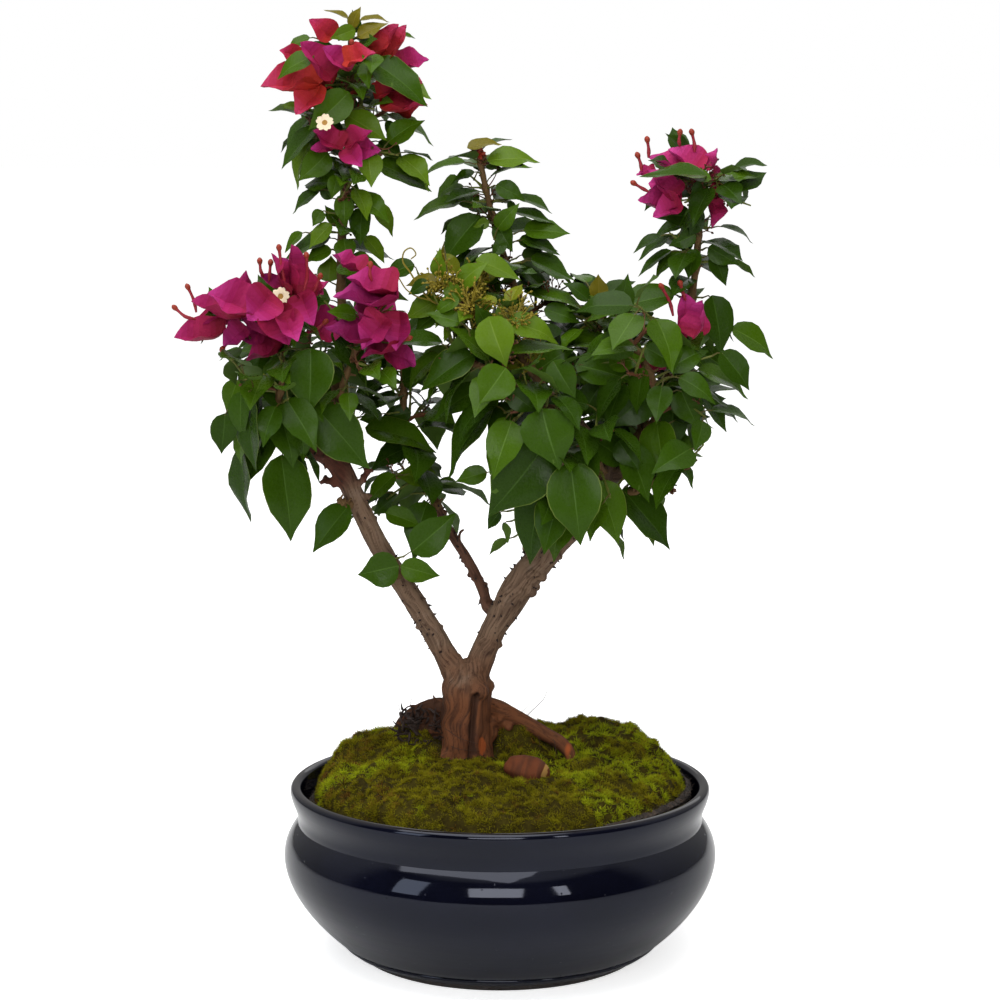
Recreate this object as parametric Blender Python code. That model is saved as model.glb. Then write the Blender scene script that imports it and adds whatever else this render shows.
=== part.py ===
"""Bougainvillea bonsai in a round glazed pot, as construction solids at real size.

The pot stands on its flat underside at the origin, with +Z up and the plant's front towards -Y.
Every limb is a tapering tube along a smooth route. Every mass of foliage grows from one stem by
a seeded rule: shoots leave the stem, leaves follow the golden angle round stem and shoots, and
bracts open in threes at the tips of flowering shoots.
"""

import math
import random
from dataclasses import dataclass, field

import bmesh
import bpy
from mathutils import Matrix, Vector
from mathutils.bvhtree import BVHTree

MM = 0.001
GAP = 0.3 * MM
UP = Vector((0.0, 0.0, 1.0))
LIGHT = Vector((0.0, -0.45, 1.0))

# Pot
POT_SIDES = 32
BELLY_RADIUS = 0.1200
BELLY_HEIGHT = 0.0562
FOOT_RADIUS = 0.0771
BELLY_CURVE = 1.87
NECK_RADIUS = 0.1123
NECK_HEIGHT = 0.0752
NECK_BAND = 0.0025
SHOULDER_CURVE = 2.15
RIM_RADIUS = 0.1163
RIM_HEIGHT = 0.0930
LIP_RADIUS = 0.0032
POT_WALL = 0.0058
POT_FLOOR = 0.0090
FLOOR_CORNER = 0.0060

# Moss bed
MOSS_RADIUS = 0.1020
MOSS_EDGE = 0.0885
MOSS_RISE = 0.0215
MOSS_BACK_RISE = 0.0045
SOIL_LEVEL = 0.0865
MOSS_RINGS = 7
MOSS_LUMPS = 26
MOSS_SEED = 7
LUMP_SPREAD = 0.016
LUMP_HEIGHTS = (-0.0016, 0.0022)
SOIL_STEP = 0.0010

# Trunk and roots
GROUND = 0.1075
TRUNK_SIDES = 12
TRUNK_X = -0.0190
TRUNK_Y = -0.0020
FLARE = 0.16
FLARE_LOBES = 5
FLARE_HEIGHT = 0.022
SEAT_RADIUS = 0.0191
ROOT_SEAT = (0.0390, -0.0090, 0.1080, 0.0044)
DARK_ROOT_SEAT = (-0.0560, 0.0230, 0.1105, 0.0042)
STUB_SEAT = (0.0140, -0.0340, 0.1040, 0.0098)
STUB_HEIGHT = 0.0125
STUB_SHARE = 0.80
SEAT_DEPTH = 0.0300
SEAT_SPLAY = 1.25
SEARCH = 0.0600

# Foliage
GOLDEN_ANGLE = math.radians(137.508)
STALK_RADIUS = 0.36 * MM
LEAF_STALK = 7.0 * MM
LEAF_LENGTH = 30.0 * MM
LEAF_WIDTH = 0.60
LEAF_TAPER = 0.32
LEAF_OPENING = (78.0, 44.0)
SIZE_RANGE = (0.80, 1.12)
TURN_TRIES = (0.0, 0.4, -0.4, 0.8, -0.8, 1.2, -1.2)
STEEPEST = math.radians(-86.0)
FINE_LEAF = 38.0 * MM
LEAF_FOLD = 0.20
LEAF_THICKNESS = 0.020
BRACT_WIDTH = 0.74
BRACT_FOLD = 0.40
BRACT_STALK = 2.0 * MM
BRACT_OPENING = (32.0, 54.0)
HUB_RINGS = ((-2.0 * MM, 0.50 * MM), (0.3 * MM, 0.55 * MM), (2.0 * MM, 0.95 * MM))
BRACTS_IN_BLOOM = 3
CLEARANCE = 0.8 * MM
TWIG_SIDES = 3
TWIG_TIP = 1.15 * MM
LEAD = 1.2 * MM
FLAT_ANGLE = 1.0
ROOT_ZONE = 3.0 * MM


def point(x, y, z):
    """A place given in millimetres, as a vector in metres."""
    return Vector((x, y, z)) * MM


def heading(turn, rise):
    """Unit vector at a compass turn, 0 to the right and 90 to the back, and a climb."""
    flat = math.cos(math.radians(rise))
    east = flat * math.cos(math.radians(turn))
    north = flat * math.sin(math.radians(turn))
    return Vector((east, north, math.sin(math.radians(rise))))


def smoothstep(low, high, value):
    """Ease from 0 at low to 1 at high."""
    share = min(1.0, max(0.0, (value - low) / (high - low)))
    return share * share * (3.0 - 2.0 * share)


# Materials

def material(name, colour, roughness, metallic=0.0, coat=0.0):
    """A Principled material with a plain colour."""
    made = bpy.data.materials.new(name)
    made.use_nodes = True
    shader = made.node_tree.nodes["Principled BSDF"]
    shader.inputs["Base Color"].default_value = (*colour, 1.0)
    shader.inputs["Roughness"].default_value = roughness
    shader.inputs["Metallic"].default_value = metallic
    shader.inputs["Coat Weight"].default_value = coat
    made.diffuse_color = (*colour, 1.0)
    return made


def glaze_material():
    """Gloss blue-black glaze of the pot."""
    return material("black_glaze", (0.010, 0.011, 0.016), 0.08, coat=1.0)


def moss_material():
    """Olive and yellow-green moss."""
    return material("moss", (0.075, 0.085, 0.012), 0.95)


def bark_material():
    """Grey-brown bark."""
    return material("bark", (0.115, 0.070, 0.045), 0.85)


def leaf_material():
    """Deep green glossy leaf."""
    return material("leaf", (0.020, 0.085, 0.012), 0.35)


def bract_material():
    """Papery magenta bract."""
    return material("bract", (0.42, 0.012, 0.130), 0.60)


# Meshes

def new_object(name, mesh_data, finish):
    """Link an object that carries one mesh and one material."""
    made = bpy.data.objects.new(name, mesh_data)
    mesh_data.materials.clear()
    mesh_data.materials.append(finish)
    bpy.context.scene.collection.objects.link(made)
    return made


def mesh_object(name, points, faces, finish):
    """A closed triangulated object from points and faces, with its faces outwards."""
    shape = bmesh.new()
    corners = [shape.verts.new(place) for place in points]
    for face in faces:
        shape.faces.new([corners[index] for index in face])
    bmesh.ops.recalc_face_normals(shape, faces=shape.faces[:])
    bmesh.ops.triangulate(shape, faces=shape.faces[:])
    data = bpy.data.meshes.new(name)
    shape.to_mesh(data)
    shape.free()
    return new_object(name, data, finish)


def evaluated_mesh(thing):
    """The mesh of an object with its modifiers carried out."""
    graph = bpy.context.evaluated_depsgraph_get()
    return bpy.data.meshes.new_from_object(thing.evaluated_get(graph))


def combine(base, others, operation, solver):
    """Join the others to the base, or cut them from it, and remove them."""
    pool = bpy.data.collections.new("pool")
    bpy.context.scene.collection.children.link(pool)
    for other in others:
        bpy.context.scene.collection.objects.unlink(other)
        pool.objects.link(other)
    change = base.modifiers.new("combine", "BOOLEAN")
    change.operation = operation
    change.operand_type = "COLLECTION"
    change.collection = pool
    change.solver = solver
    result = evaluated_mesh(base)
    base.modifiers.remove(change)
    base.data = result
    for other in others:
        bpy.data.objects.remove(other)
    bpy.data.collections.remove(pool)
    keep_main_shell(result)
    return base


def shell_volume(faces):
    """Signed volume inside a group of triangles."""
    total = 0.0
    for face in faces:
        first, second, third = (corner.co for corner in face.verts)
        total += first.dot(second.cross(third)) / 6.0
    return total


def shells(shape):
    """The connected groups of faces of a mesh."""
    waiting = set(shape.faces)
    groups = []
    while waiting:
        group = {waiting.pop()}
        border = list(group)
        while border:
            face = border.pop()
            for edge in face.edges:
                for neighbour in edge.link_faces:
                    if neighbour in waiting:
                        waiting.remove(neighbour)
                        group.add(neighbour)
                        border.append(neighbour)
        groups.append(list(group))
    return groups


def keep_main_shell(data):
    """Drop loose scraps and fill sealed hollows, keeping the one outer shell."""
    shape = bmesh.new()
    shape.from_mesh(data)
    bmesh.ops.triangulate(shape, faces=shape.faces[:])
    groups = sorted(shells(shape), key=shell_volume, reverse=True)
    for group in groups[1:]:
        bmesh.ops.delete(shape, geom=group, context="FACES")
    bmesh.ops.dissolve_limit(
        shape,
        angle_limit=math.radians(FLAT_ANGLE),
        verts=shape.verts[:],
        edges=shape.edges[:],
        delimit={"MATERIAL"},
    )
    bmesh.ops.triangulate(shape, faces=shape.faces[:])
    shape.to_mesh(data)
    shape.free()


# Routes and tubes

def smooth_route(route, steps, way=None):
    """Points along a smooth curve through the route, which sets out along way if it is given."""
    last = len(route) - 1
    result = []
    for span in range(last):
        start = route[span]
        end = route[span + 1]
        before = route[span - 1] if span > 0 else start * 2.0 - end
        if way and span == 0:
            before = end - way * (end - start).length * 2.0
        after = route[span + 2] if span + 2 <= last else end * 2.0 - start
        for step in range(steps):
            t = step / steps
            bend = (before * -1.0 + start * 3.0 - end * 3.0 + after) * t ** 3
            curve = (before * 2.0 - start * 5.0 + end * 4.0 - after) * t ** 2
            slope = (end - before) * t
            result.append(start + (bend + curve + slope) * 0.5)
    result.append(route[last])
    return result


def lead_route(route, steps, way):
    """A smooth route with a short straight lead that stands square on its seat."""
    if not way:
        return smooth_route(route, steps)
    lead = route[0] + way * LEAD
    return [route[0]] + smooth_route([lead] + route[1:], steps, way)


def spread(values, count):
    """Values at count even places along a list of a few of them."""
    result = []
    for index in range(count):
        place = index / (count - 1) * (len(values) - 1)
        low = min(int(place), len(values) - 2)
        result.append(values[low] + (values[low + 1] - values[low]) * (place - low))
    return result


def directions(path):
    """Unit direction at each point of a path."""
    result = []
    for index in range(len(path)):
        ahead = path[min(index + 1, len(path) - 1)]
        behind = path[max(index - 1, 0)]
        result.append((ahead - behind).normalized())
    return result


def tube_mesh(path, radii, sides, swell=None):
    """Points and faces of a tube along a path, closed by flat ends."""
    along = directions(path)
    side = along[0].orthogonal().normalized()
    points = []
    for index, centre in enumerate(path):
        side = (side - along[index] * side.dot(along[index])).normalized()
        across = along[index].cross(side)
        for corner in range(sides):
            angle = 2.0 * math.pi * corner / sides
            radius = radii[index]
            if swell:
                radius *= swell(centre, side * math.cos(angle) + across * math.sin(angle))
            points.append(centre + (side * math.cos(angle) + across * math.sin(angle)) * radius)
    faces = [list(range(sides))]
    for ring in range(len(path) - 1):
        for corner in range(sides):
            after = (corner + 1) % sides
            low = ring * sides
            high = low + sides
            faces.append([low + corner, low + after, high + after, high + corner])
    faces.append(list(range(len(points) - sides, len(points))))
    return points, faces


@dataclass
class Limb:
    """A tapering wooden limb along a smooth route."""
    name: str
    route: list
    radii: list
    sides: int
    steps: int = 3
    way: Vector = None
    path: list = field(default_factory=list)

    def grow(self, finish, swell=None):
        """Build the limb's solid."""
        self.path = lead_route(self.route, self.steps, self.way)
        radii = spread(self.radii, len(self.path))
        points, faces = tube_mesh(self.path, radii, self.sides, swell)
        return mesh_object(self.name, points, faces, finish)


# Pot

def pot_outside(radius_cut=0.0):
    """Profile of the pot's outer side from the foot to the neck, set in by the cut."""
    profile = []
    for step in range(7):
        height = BELLY_HEIGHT * (step / 6.0) ** 1.15
        rest = 1.0 - height / BELLY_HEIGHT
        radius = BELLY_RADIUS - (BELLY_RADIUS - FOOT_RADIUS) * rest ** BELLY_CURVE
        profile.append((radius - radius_cut, height))
    for step in range(1, 4):
        share = step / 3.0
        height = BELLY_HEIGHT + (NECK_HEIGHT - BELLY_HEIGHT) * share
        radius = BELLY_RADIUS - (BELLY_RADIUS - NECK_RADIUS) * share ** SHOULDER_CURVE
        profile.append((radius - radius_cut, height))
    return profile


def pot_rim():
    """Profile of the rolled rim, from above the neck over the lip to its inner side."""
    profile = []
    for step in range(1, 5):
        share = step / 4.0
        height = NECK_HEIGHT + NECK_BAND + (RIM_HEIGHT - NECK_HEIGHT - NECK_BAND) * share
        radius = NECK_RADIUS + (RIM_RADIUS - NECK_RADIUS) * smoothstep(0.0, 1.0, share)
        profile.append((radius, height))
    for step in range(1, 5):
        angle = math.pi * step / 4.0
        radius = RIM_RADIUS - LIP_RADIUS + LIP_RADIUS * math.cos(angle)
        profile.append((radius, RIM_HEIGHT + LIP_RADIUS * math.sin(angle)))
    return profile


def pot_inside(inset=0.0):
    """Profile of the pot's cavity from under the lip down to its floor, set in by the inset."""
    profile = []
    for radius, height in reversed(pot_outside(POT_WALL + inset)[::2]):
        if height > POT_FLOOR + 0.5 * FLOOR_CORNER:
            profile.append((radius, height))
    profile.append((profile[-1][0] - FLOOR_CORNER, POT_FLOOR + inset))
    return profile


def lathe(name, profile, finish):
    """Turn a profile of radius and height round the Z axis."""
    shape = bmesh.new()
    corners = [shape.verts.new((radius, 0.0, height)) for radius, height in profile]
    edges = [shape.edges.new(pair) for pair in zip(corners, corners[1:])]
    bmesh.ops.spin(
        shape,
        geom=corners + edges,
        cent=(0.0, 0.0, 0.0),
        axis=(0.0, 0.0, 1.0),
        angle=2.0 * math.pi,
        steps=POT_SIDES,
    )
    bmesh.ops.remove_doubles(shape, verts=shape.verts[:], dist=1e-6)
    bmesh.ops.recalc_face_normals(shape, faces=shape.faces[:])
    data = bpy.data.meshes.new(name)
    shape.to_mesh(data)
    shape.free()
    return new_object(name, data, finish)


def build_pot(finish):
    """The pot, solid in its wall, flat under its foot and open at the top."""
    profile = [(0.0, 0.0)] + pot_outside() + pot_rim() + pot_inside() + [(0.0, POT_FLOOR)]
    pot = lathe("pot", profile, finish)
    pot.data.shade_smooth()
    pot.data.set_sharp_from_angle(angle=math.radians(40.0))
    return pot


# Moss bed

def moss_lumps():
    """Centres, spreads and heights of the cushions in the moss."""
    rng = random.Random(MOSS_SEED)
    lumps = []
    for _ in range(MOSS_LUMPS):
        angle = rng.uniform(0.0, 2.0 * math.pi)
        away = MOSS_RADIUS * math.sqrt(rng.random())
        height = rng.uniform(*LUMP_HEIGHTS)
        lumps.append((away * math.cos(angle), away * math.sin(angle), height))
    return lumps


def moss_height(x, y, lumps):
    """Height of the moss at a place in the bed."""
    share = min(1.0, math.hypot(x, y) / MOSS_RADIUS)
    dome = (1.0 - share ** 5.0) ** 0.5
    height = MOSS_EDGE + MOSS_RISE * dome
    height += MOSS_BACK_RISE * smoothstep(-0.02, 0.06, y) * dome
    for lump_x, lump_y, lump_height in lumps:
        distance = math.hypot(x - lump_x, y - lump_y) / LUMP_SPREAD
        height += lump_height * math.exp(-distance * distance) * dome
    return height


def build_moss(finish):
    """Soil and moss as one body that fills the pot, with flat seats for trunk and roots."""
    lumps = moss_lumps()
    points = [Vector((0.0, 0.0, moss_height(0.0, 0.0, lumps)))]
    rings = []
    for ring in range(1, MOSS_RINGS + 1):
        rings.append((MOSS_RADIUS * math.sin(0.5 * math.pi * ring / MOSS_RINGS), None))
    rings.append((MOSS_RADIUS + SOIL_STEP, SOIL_LEVEL))
    rings.append((NECK_RADIUS - POT_WALL - 3.0 * GAP, SOIL_LEVEL - SOIL_STEP))
    rings += pot_inside(2.0 * GAP)
    for radius, level in rings:
        for corner in range(POT_SIDES):
            angle = 2.0 * math.pi * corner / POT_SIDES
            x = radius * math.cos(angle)
            y = radius * math.sin(angle)
            height = moss_height(x, y, lumps) if level is None else level
            points.append(Vector((x, y, height)))
    faces = []
    for corner in range(POT_SIDES):
        faces.append([0, 1 + corner, 1 + (corner + 1) % POT_SIDES])
    for ring in range(len(rings) - 1):
        low = 1 + ring * POT_SIDES
        high = low + POT_SIDES
        for corner in range(POT_SIDES):
            after = (corner + 1) % POT_SIDES
            faces.append([low + corner, low + after, high + after, high + corner])
    faces.append(list(range(len(points) - POT_SIDES, len(points))))
    moss = mesh_object("moss_bed", points, faces, finish)
    seats = [(TRUNK_X, TRUNK_Y, GROUND, SEAT_RADIUS), ROOT_SEAT, DARK_ROOT_SEAT, STUB_SEAT]
    return combine(moss, [seat_cutter(*seat) for seat in seats], "DIFFERENCE", "EXACT")


def seat_cutter(x, y, level, radius):
    """A drum that presses a flat seat into the moss."""
    path = [Vector((x, y, level)), Vector((x, y, level + SEAT_DEPTH))]
    points, faces = tube_mesh(path, [radius, radius * SEAT_SPLAY], 12)
    return mesh_object("seat_cutter", points, faces, moss_finish())


def moss_finish():
    """The moss material, made once."""
    return bpy.data.materials.get("moss") or moss_material()


# Trunk, roots and boughs

def flare(centre, outward):
    """How much the trunk widens in buttresses towards the ground."""
    low = 1.0 - smoothstep(GROUND, GROUND + FLARE_HEIGHT, centre.z)
    angle = math.atan2(outward.y, outward.x)
    return 1.0 + FLARE * low * (0.45 + 0.55 * math.cos(FLARE_LOBES * angle + 0.6))


def build_trunk(finish):
    """Trunk from its flat cut to the fork, with two stubs that carry the boughs and two roots."""
    foot = Vector((TRUNK_X, TRUNK_Y, GROUND + GAP))
    trunk = Limb(
        "trunk",
        [foot, foot + UP * 0.007, point(-19, -1, 132), point(-18.5, 0, 148),
         point(-17.5, 0, 158), point(-16.5, 0, 164)],
        [15.4 * MM, 14.2 * MM, 13.6 * MM, 13.2 * MM, 11.5 * MM, 6.0 * MM],
        TRUNK_SIDES, 2, UP)
    left_stub = Limb(
        "left_stub",
        [point(-18, 0, 142), point(-25, -1, 158), point(-31.4, -1.5, 170.2)],
        [9.5 * MM, 7.4 * MM, 6.2 * MM], 10, 2)
    right_stub = Limb(
        "right_stub",
        [point(-19, 0, 142), point(-12.5, 0, 160), point(-5.8, 0, 177)],
        [9.5 * MM, 8.0 * MM, 7.0 * MM], 10, 2)
    surface_root = Limb(
        "surface_root",
        [point(-14, 3, 138), point(-2, 5, 136), point(11, 5, 130), point(24, 2, 122.5),
         point(33, -3, 118.5), point(38, -7.5, 114), point(39, -9, 110.5), point(39, -9, 108.3)],
        [6.5 * MM, 5.4 * MM, 4.4 * MM, 4.2 * MM, 4.0 * MM, 3.4 * MM, 2.9 * MM, 2.6 * MM], 7, 2)
    dark_root = Limb(
        "dark_root",
        [point(-24, 4, 134), point(-35, 9, 136), point(-46, 16, 131), point(-54, 21, 124),
         point(-56, 23, 118), point(-56, 23, 110.8)],
        [6.0 * MM, 5.6 * MM, 5.0 * MM, 4.4 * MM, 3.6 * MM, 3.2 * MM], 7, 2)
    whole = trunk.grow(finish, flare)
    parts = [piece.grow(finish) for piece in (left_stub, right_stub, surface_root, dark_root)]
    combine(whole, parts, "UNION", "EXACT")
    return {"left_stub": (left_stub, whole), "right_stub": (right_stub, whole)}


def build_root_stub(finish):
    """Cut root knob that stands in the moss at the trunk's foot."""
    x, y, level, radius = STUB_SEAT
    width = radius * STUB_SHARE
    path = []
    radii = []
    for step in range(5):
        angle = 0.5 * math.pi * step / 4.6
        path.append(Vector((x, y, level + GAP + STUB_HEIGHT * math.sin(angle))))
        radii.append(width * math.cos(angle))
    points, faces = tube_mesh(path, radii, 12)
    return mesh_object("root_stub", points, faces, finish)


def build_boughs(finish, made):
    """Every bough, each starting clear of the limb that carries it."""
    for name, carrier, share, route, radii, sides, steps in BOUGHS:
        limb, thing = made[carrier]
        start, axis = seat(thing, limb, share, route[0])
        bough = Limb(name, [start] + [point(*place) for place in route],
                     [radius * MM for radius in radii], sides, steps, axis)
        made[name] = (bough, bough.grow(finish))
    return made


# Name, carrier, place on the carrier, route and radii in millimetres, sides, steps between places
BOUGHS = [
    ("left_bough", "left_stub", 1.0,
     [(-38.5, -1.6, 183), (-51, -2, 203.7), (-61.5, -2, 220), (-71.4, -3, 238.5), (-79, -4, 255.4),
      (-87, -5, 272), (-95, -6, 281.5), (-103, -7, 285.5), (-108, -8, 286.5)],
     [6.2, 6.2, 5.9, 5.7, 5.6, 5.6, 6.0, 7.4, 8.6, 6.4], 10, 2),
    ("right_bough", "right_stub", 1.0,
     [(-2.4, 0, 184), (3.5, 0, 194), (11.5, 1, 207.5), (20, 0, 218.5), (29, -3, 229),
      (37.5, -6, 238.5), (45, -8, 248.5), (51, -10, 260), (54.5, -11, 270), (56, -11.5, 276)],
     [7.0, 7.1, 8.0, 9.0, 8.6, 7.6, 7.4, 7.2, 7.4, 7.6, 6.0], 10, 2),
    ("rear_bough", "right_bough", 0.40,
     [(22, 16, 236), (27, 21, 252), (31, 24, 270), (29, 27, 288), (27, 28, 302)],
     [6.0, 6.0, 5.4, 4.6, 3.8, 3.0], 8, 3),
    ("middle_branch", "right_bough", 0.14,
     [(-9, 8, 201), (-17, 13, 217), (-26, 16, 231), (-35, 18, 248)],
     [3.2, 3.0, 2.8, 2.6], 6, 3),
    ("crown_bough", "right_bough", 1.0,
     [(50, -15, 287), (38, -20, 302), (26, -22, 314)],
     [5.0, 4.6, 3.8, 3.0], 8, 3),
    ("right_limb", "right_bough", 0.85,
     [(72, -8, 276), (83, -3, 291), (89, 3, 309)],
     [5.2, 4.6, 4.0, 3.2], 8, 3),
]


def surface_tree(thing):
    """Search tree over an object's faces."""
    data = thing.data
    places = [corner.co for corner in data.vertices]
    faces = [tuple(face.vertices) for face in data.polygons]
    return BVHTree.FromPolygons(places, faces)


def seat(thing, limb, share, toward):
    """Start and axis of a stem that stands on a limb, clear of it by the gap."""
    place = share * (len(limb.path) - 1)
    low = min(int(place), len(limb.path) - 2)
    inside = limb.path[low].lerp(limb.path[low + 1], place - low)
    aim = point(*toward)
    outward = (aim - inside).normalized()
    hit, normal, _, _ = surface_tree(thing).ray_cast(inside + outward * SEARCH, -outward)
    return hit + normal * GAP, normal


# Foliage

@dataclass
class Shoot:
    """A side shoot: where it leaves the stem, its heading, length in millimetres and load."""
    at: float
    turn: float
    rise: float
    long: float
    leaves: int = 0
    bloom: float = 0.0


@dataclass
class Mass:
    """A mass of foliage that grows from one stem, sizes in millimetres."""
    name: str
    bough: str
    share: float
    route: list
    leaves: int
    size: float
    seed: int
    first: float = 0.15
    droop: float = 25.0
    reach: float = 75.0
    stem: float = 2.4
    shoots: list = field(default_factory=list)
    singles: list = field(default_factory=list)


def blade_mesh(root, way, face, sizes, grow=0.0):
    """Points and faces of one leaf or bract, and how many faces its sunken root has."""
    stalk_way, stalk, length, width, arch, fold, thickness = sizes
    side = way.cross(face).normalized()
    base = root + stalk_way * stalk
    points = [root + side * STALK_RADIUS, root - face * STALK_RADIUS * 1.2, root - side * STALK_RADIUS]
    stations = ((0.30, 1.0), (0.68, 0.66)) if length > FINE_LEAF else ((0.40, 1.0),)
    for share, broad in stations:
        centre = base + way * (length * share) - face * (arch * length * share * share)
        half = 0.5 * width * broad
        lift = face * (fold * half)
        edge = side * (half + 3.0 * grow)
        points.append(centre + edge + lift)
        points.append(centre - face * (thickness * length + grow))
        points.append(centre - edge + lift)
        points.append(centre + face * grow)
    points.append(base + way * (length + 3.0 * grow) - face * (arch * length))
    faces = [[2, 1, 0], [0, 1, 4, 3], [0, 3, 6], [2, 0, 6], [2, 6, 5], [1, 2, 5, 4]]
    if len(stations) == 2:
        faces += [[3, 4, 8, 7], [4, 5, 9, 8], [5, 6, 10, 9], [6, 3, 7, 10]]
    tip = len(points) - 1
    faces += [[tip - 4 + turn, tip - 4 + (turn + 1) % 4, tip] for turn in range(4)]
    return points, faces


def bract_faces(corners, first):
    """Faces of a bract from four corners on its hub over its widest part to its tip."""
    faces = []
    below = [first + 1, first + 2, first + 3, first]
    for index in range(4):
        after = (index + 1) % 4
        faces.append([corners[index], corners[after], below[index]])
        faces.append([below[index - 1], below[index], corners[index]])
        faces.append([below[index - 1], below[index], first + 4])
    return faces


def box_of(points):
    """Lowest and highest corner of some points."""
    low = Vector(min(place[axis] for place in points) for axis in range(3))
    high = Vector(max(place[axis] for place in points) for axis in range(3))
    return low, high


class Neighbours:
    """What has been placed, so that nothing is grown into it."""

    def __init__(self):
        """Start with nothing placed."""
        self.items = []

    def add(self, owner, points, faces):
        """Keep a piece under its owner's name."""
        low, high = box_of(points)
        self.items.append((owner, low, high, BVHTree.FromPolygons(points, faces)))

    def touches(self, points, faces, owner):
        """Whether a piece meets anything that belongs to another owner."""
        low, high = box_of(points)
        tree = None
        for name, other_low, other_high, other in self.items:
            if name == owner:
                continue
            if any(low[a] > other_high[a] or high[a] < other_low[a] for a in range(3)):
                continue
            tree = tree or BVHTree.FromPolygons(points, faces)
            if tree.overlap(other):
                return True
        return False


def leaf_pose(tangent, angle, opening, droop):
    """Directions of a leaf's stalk, its blade and level, on a twig that runs along tangent."""
    across = tangent.orthogonal().normalized()
    outward = Matrix.Rotation(angle, 3, tangent) @ across
    stalk_way = (tangent * math.cos(opening) + outward * math.sin(opening)).normalized()
    level = Vector((stalk_way.x, stalk_way.y, 0.0))
    level = level.normalized() if level.length > 0.05 else outward.normalized()
    climb = math.asin(max(-1.0, min(1.0, stalk_way.z))) - droop
    climb = max(climb, STEEPEST)
    way = level * math.cos(climb) + UP * math.sin(climb)
    return stalk_way, way, level


def face_for(way, level, roll):
    """Upper face of a blade, turned to the light and outwards, then rolled about the blade."""
    toward = LIGHT + level * 0.55
    flat = (toward - way * toward.dot(way)).normalized()
    return Matrix.Rotation(roll, 3, way) @ flat


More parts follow.
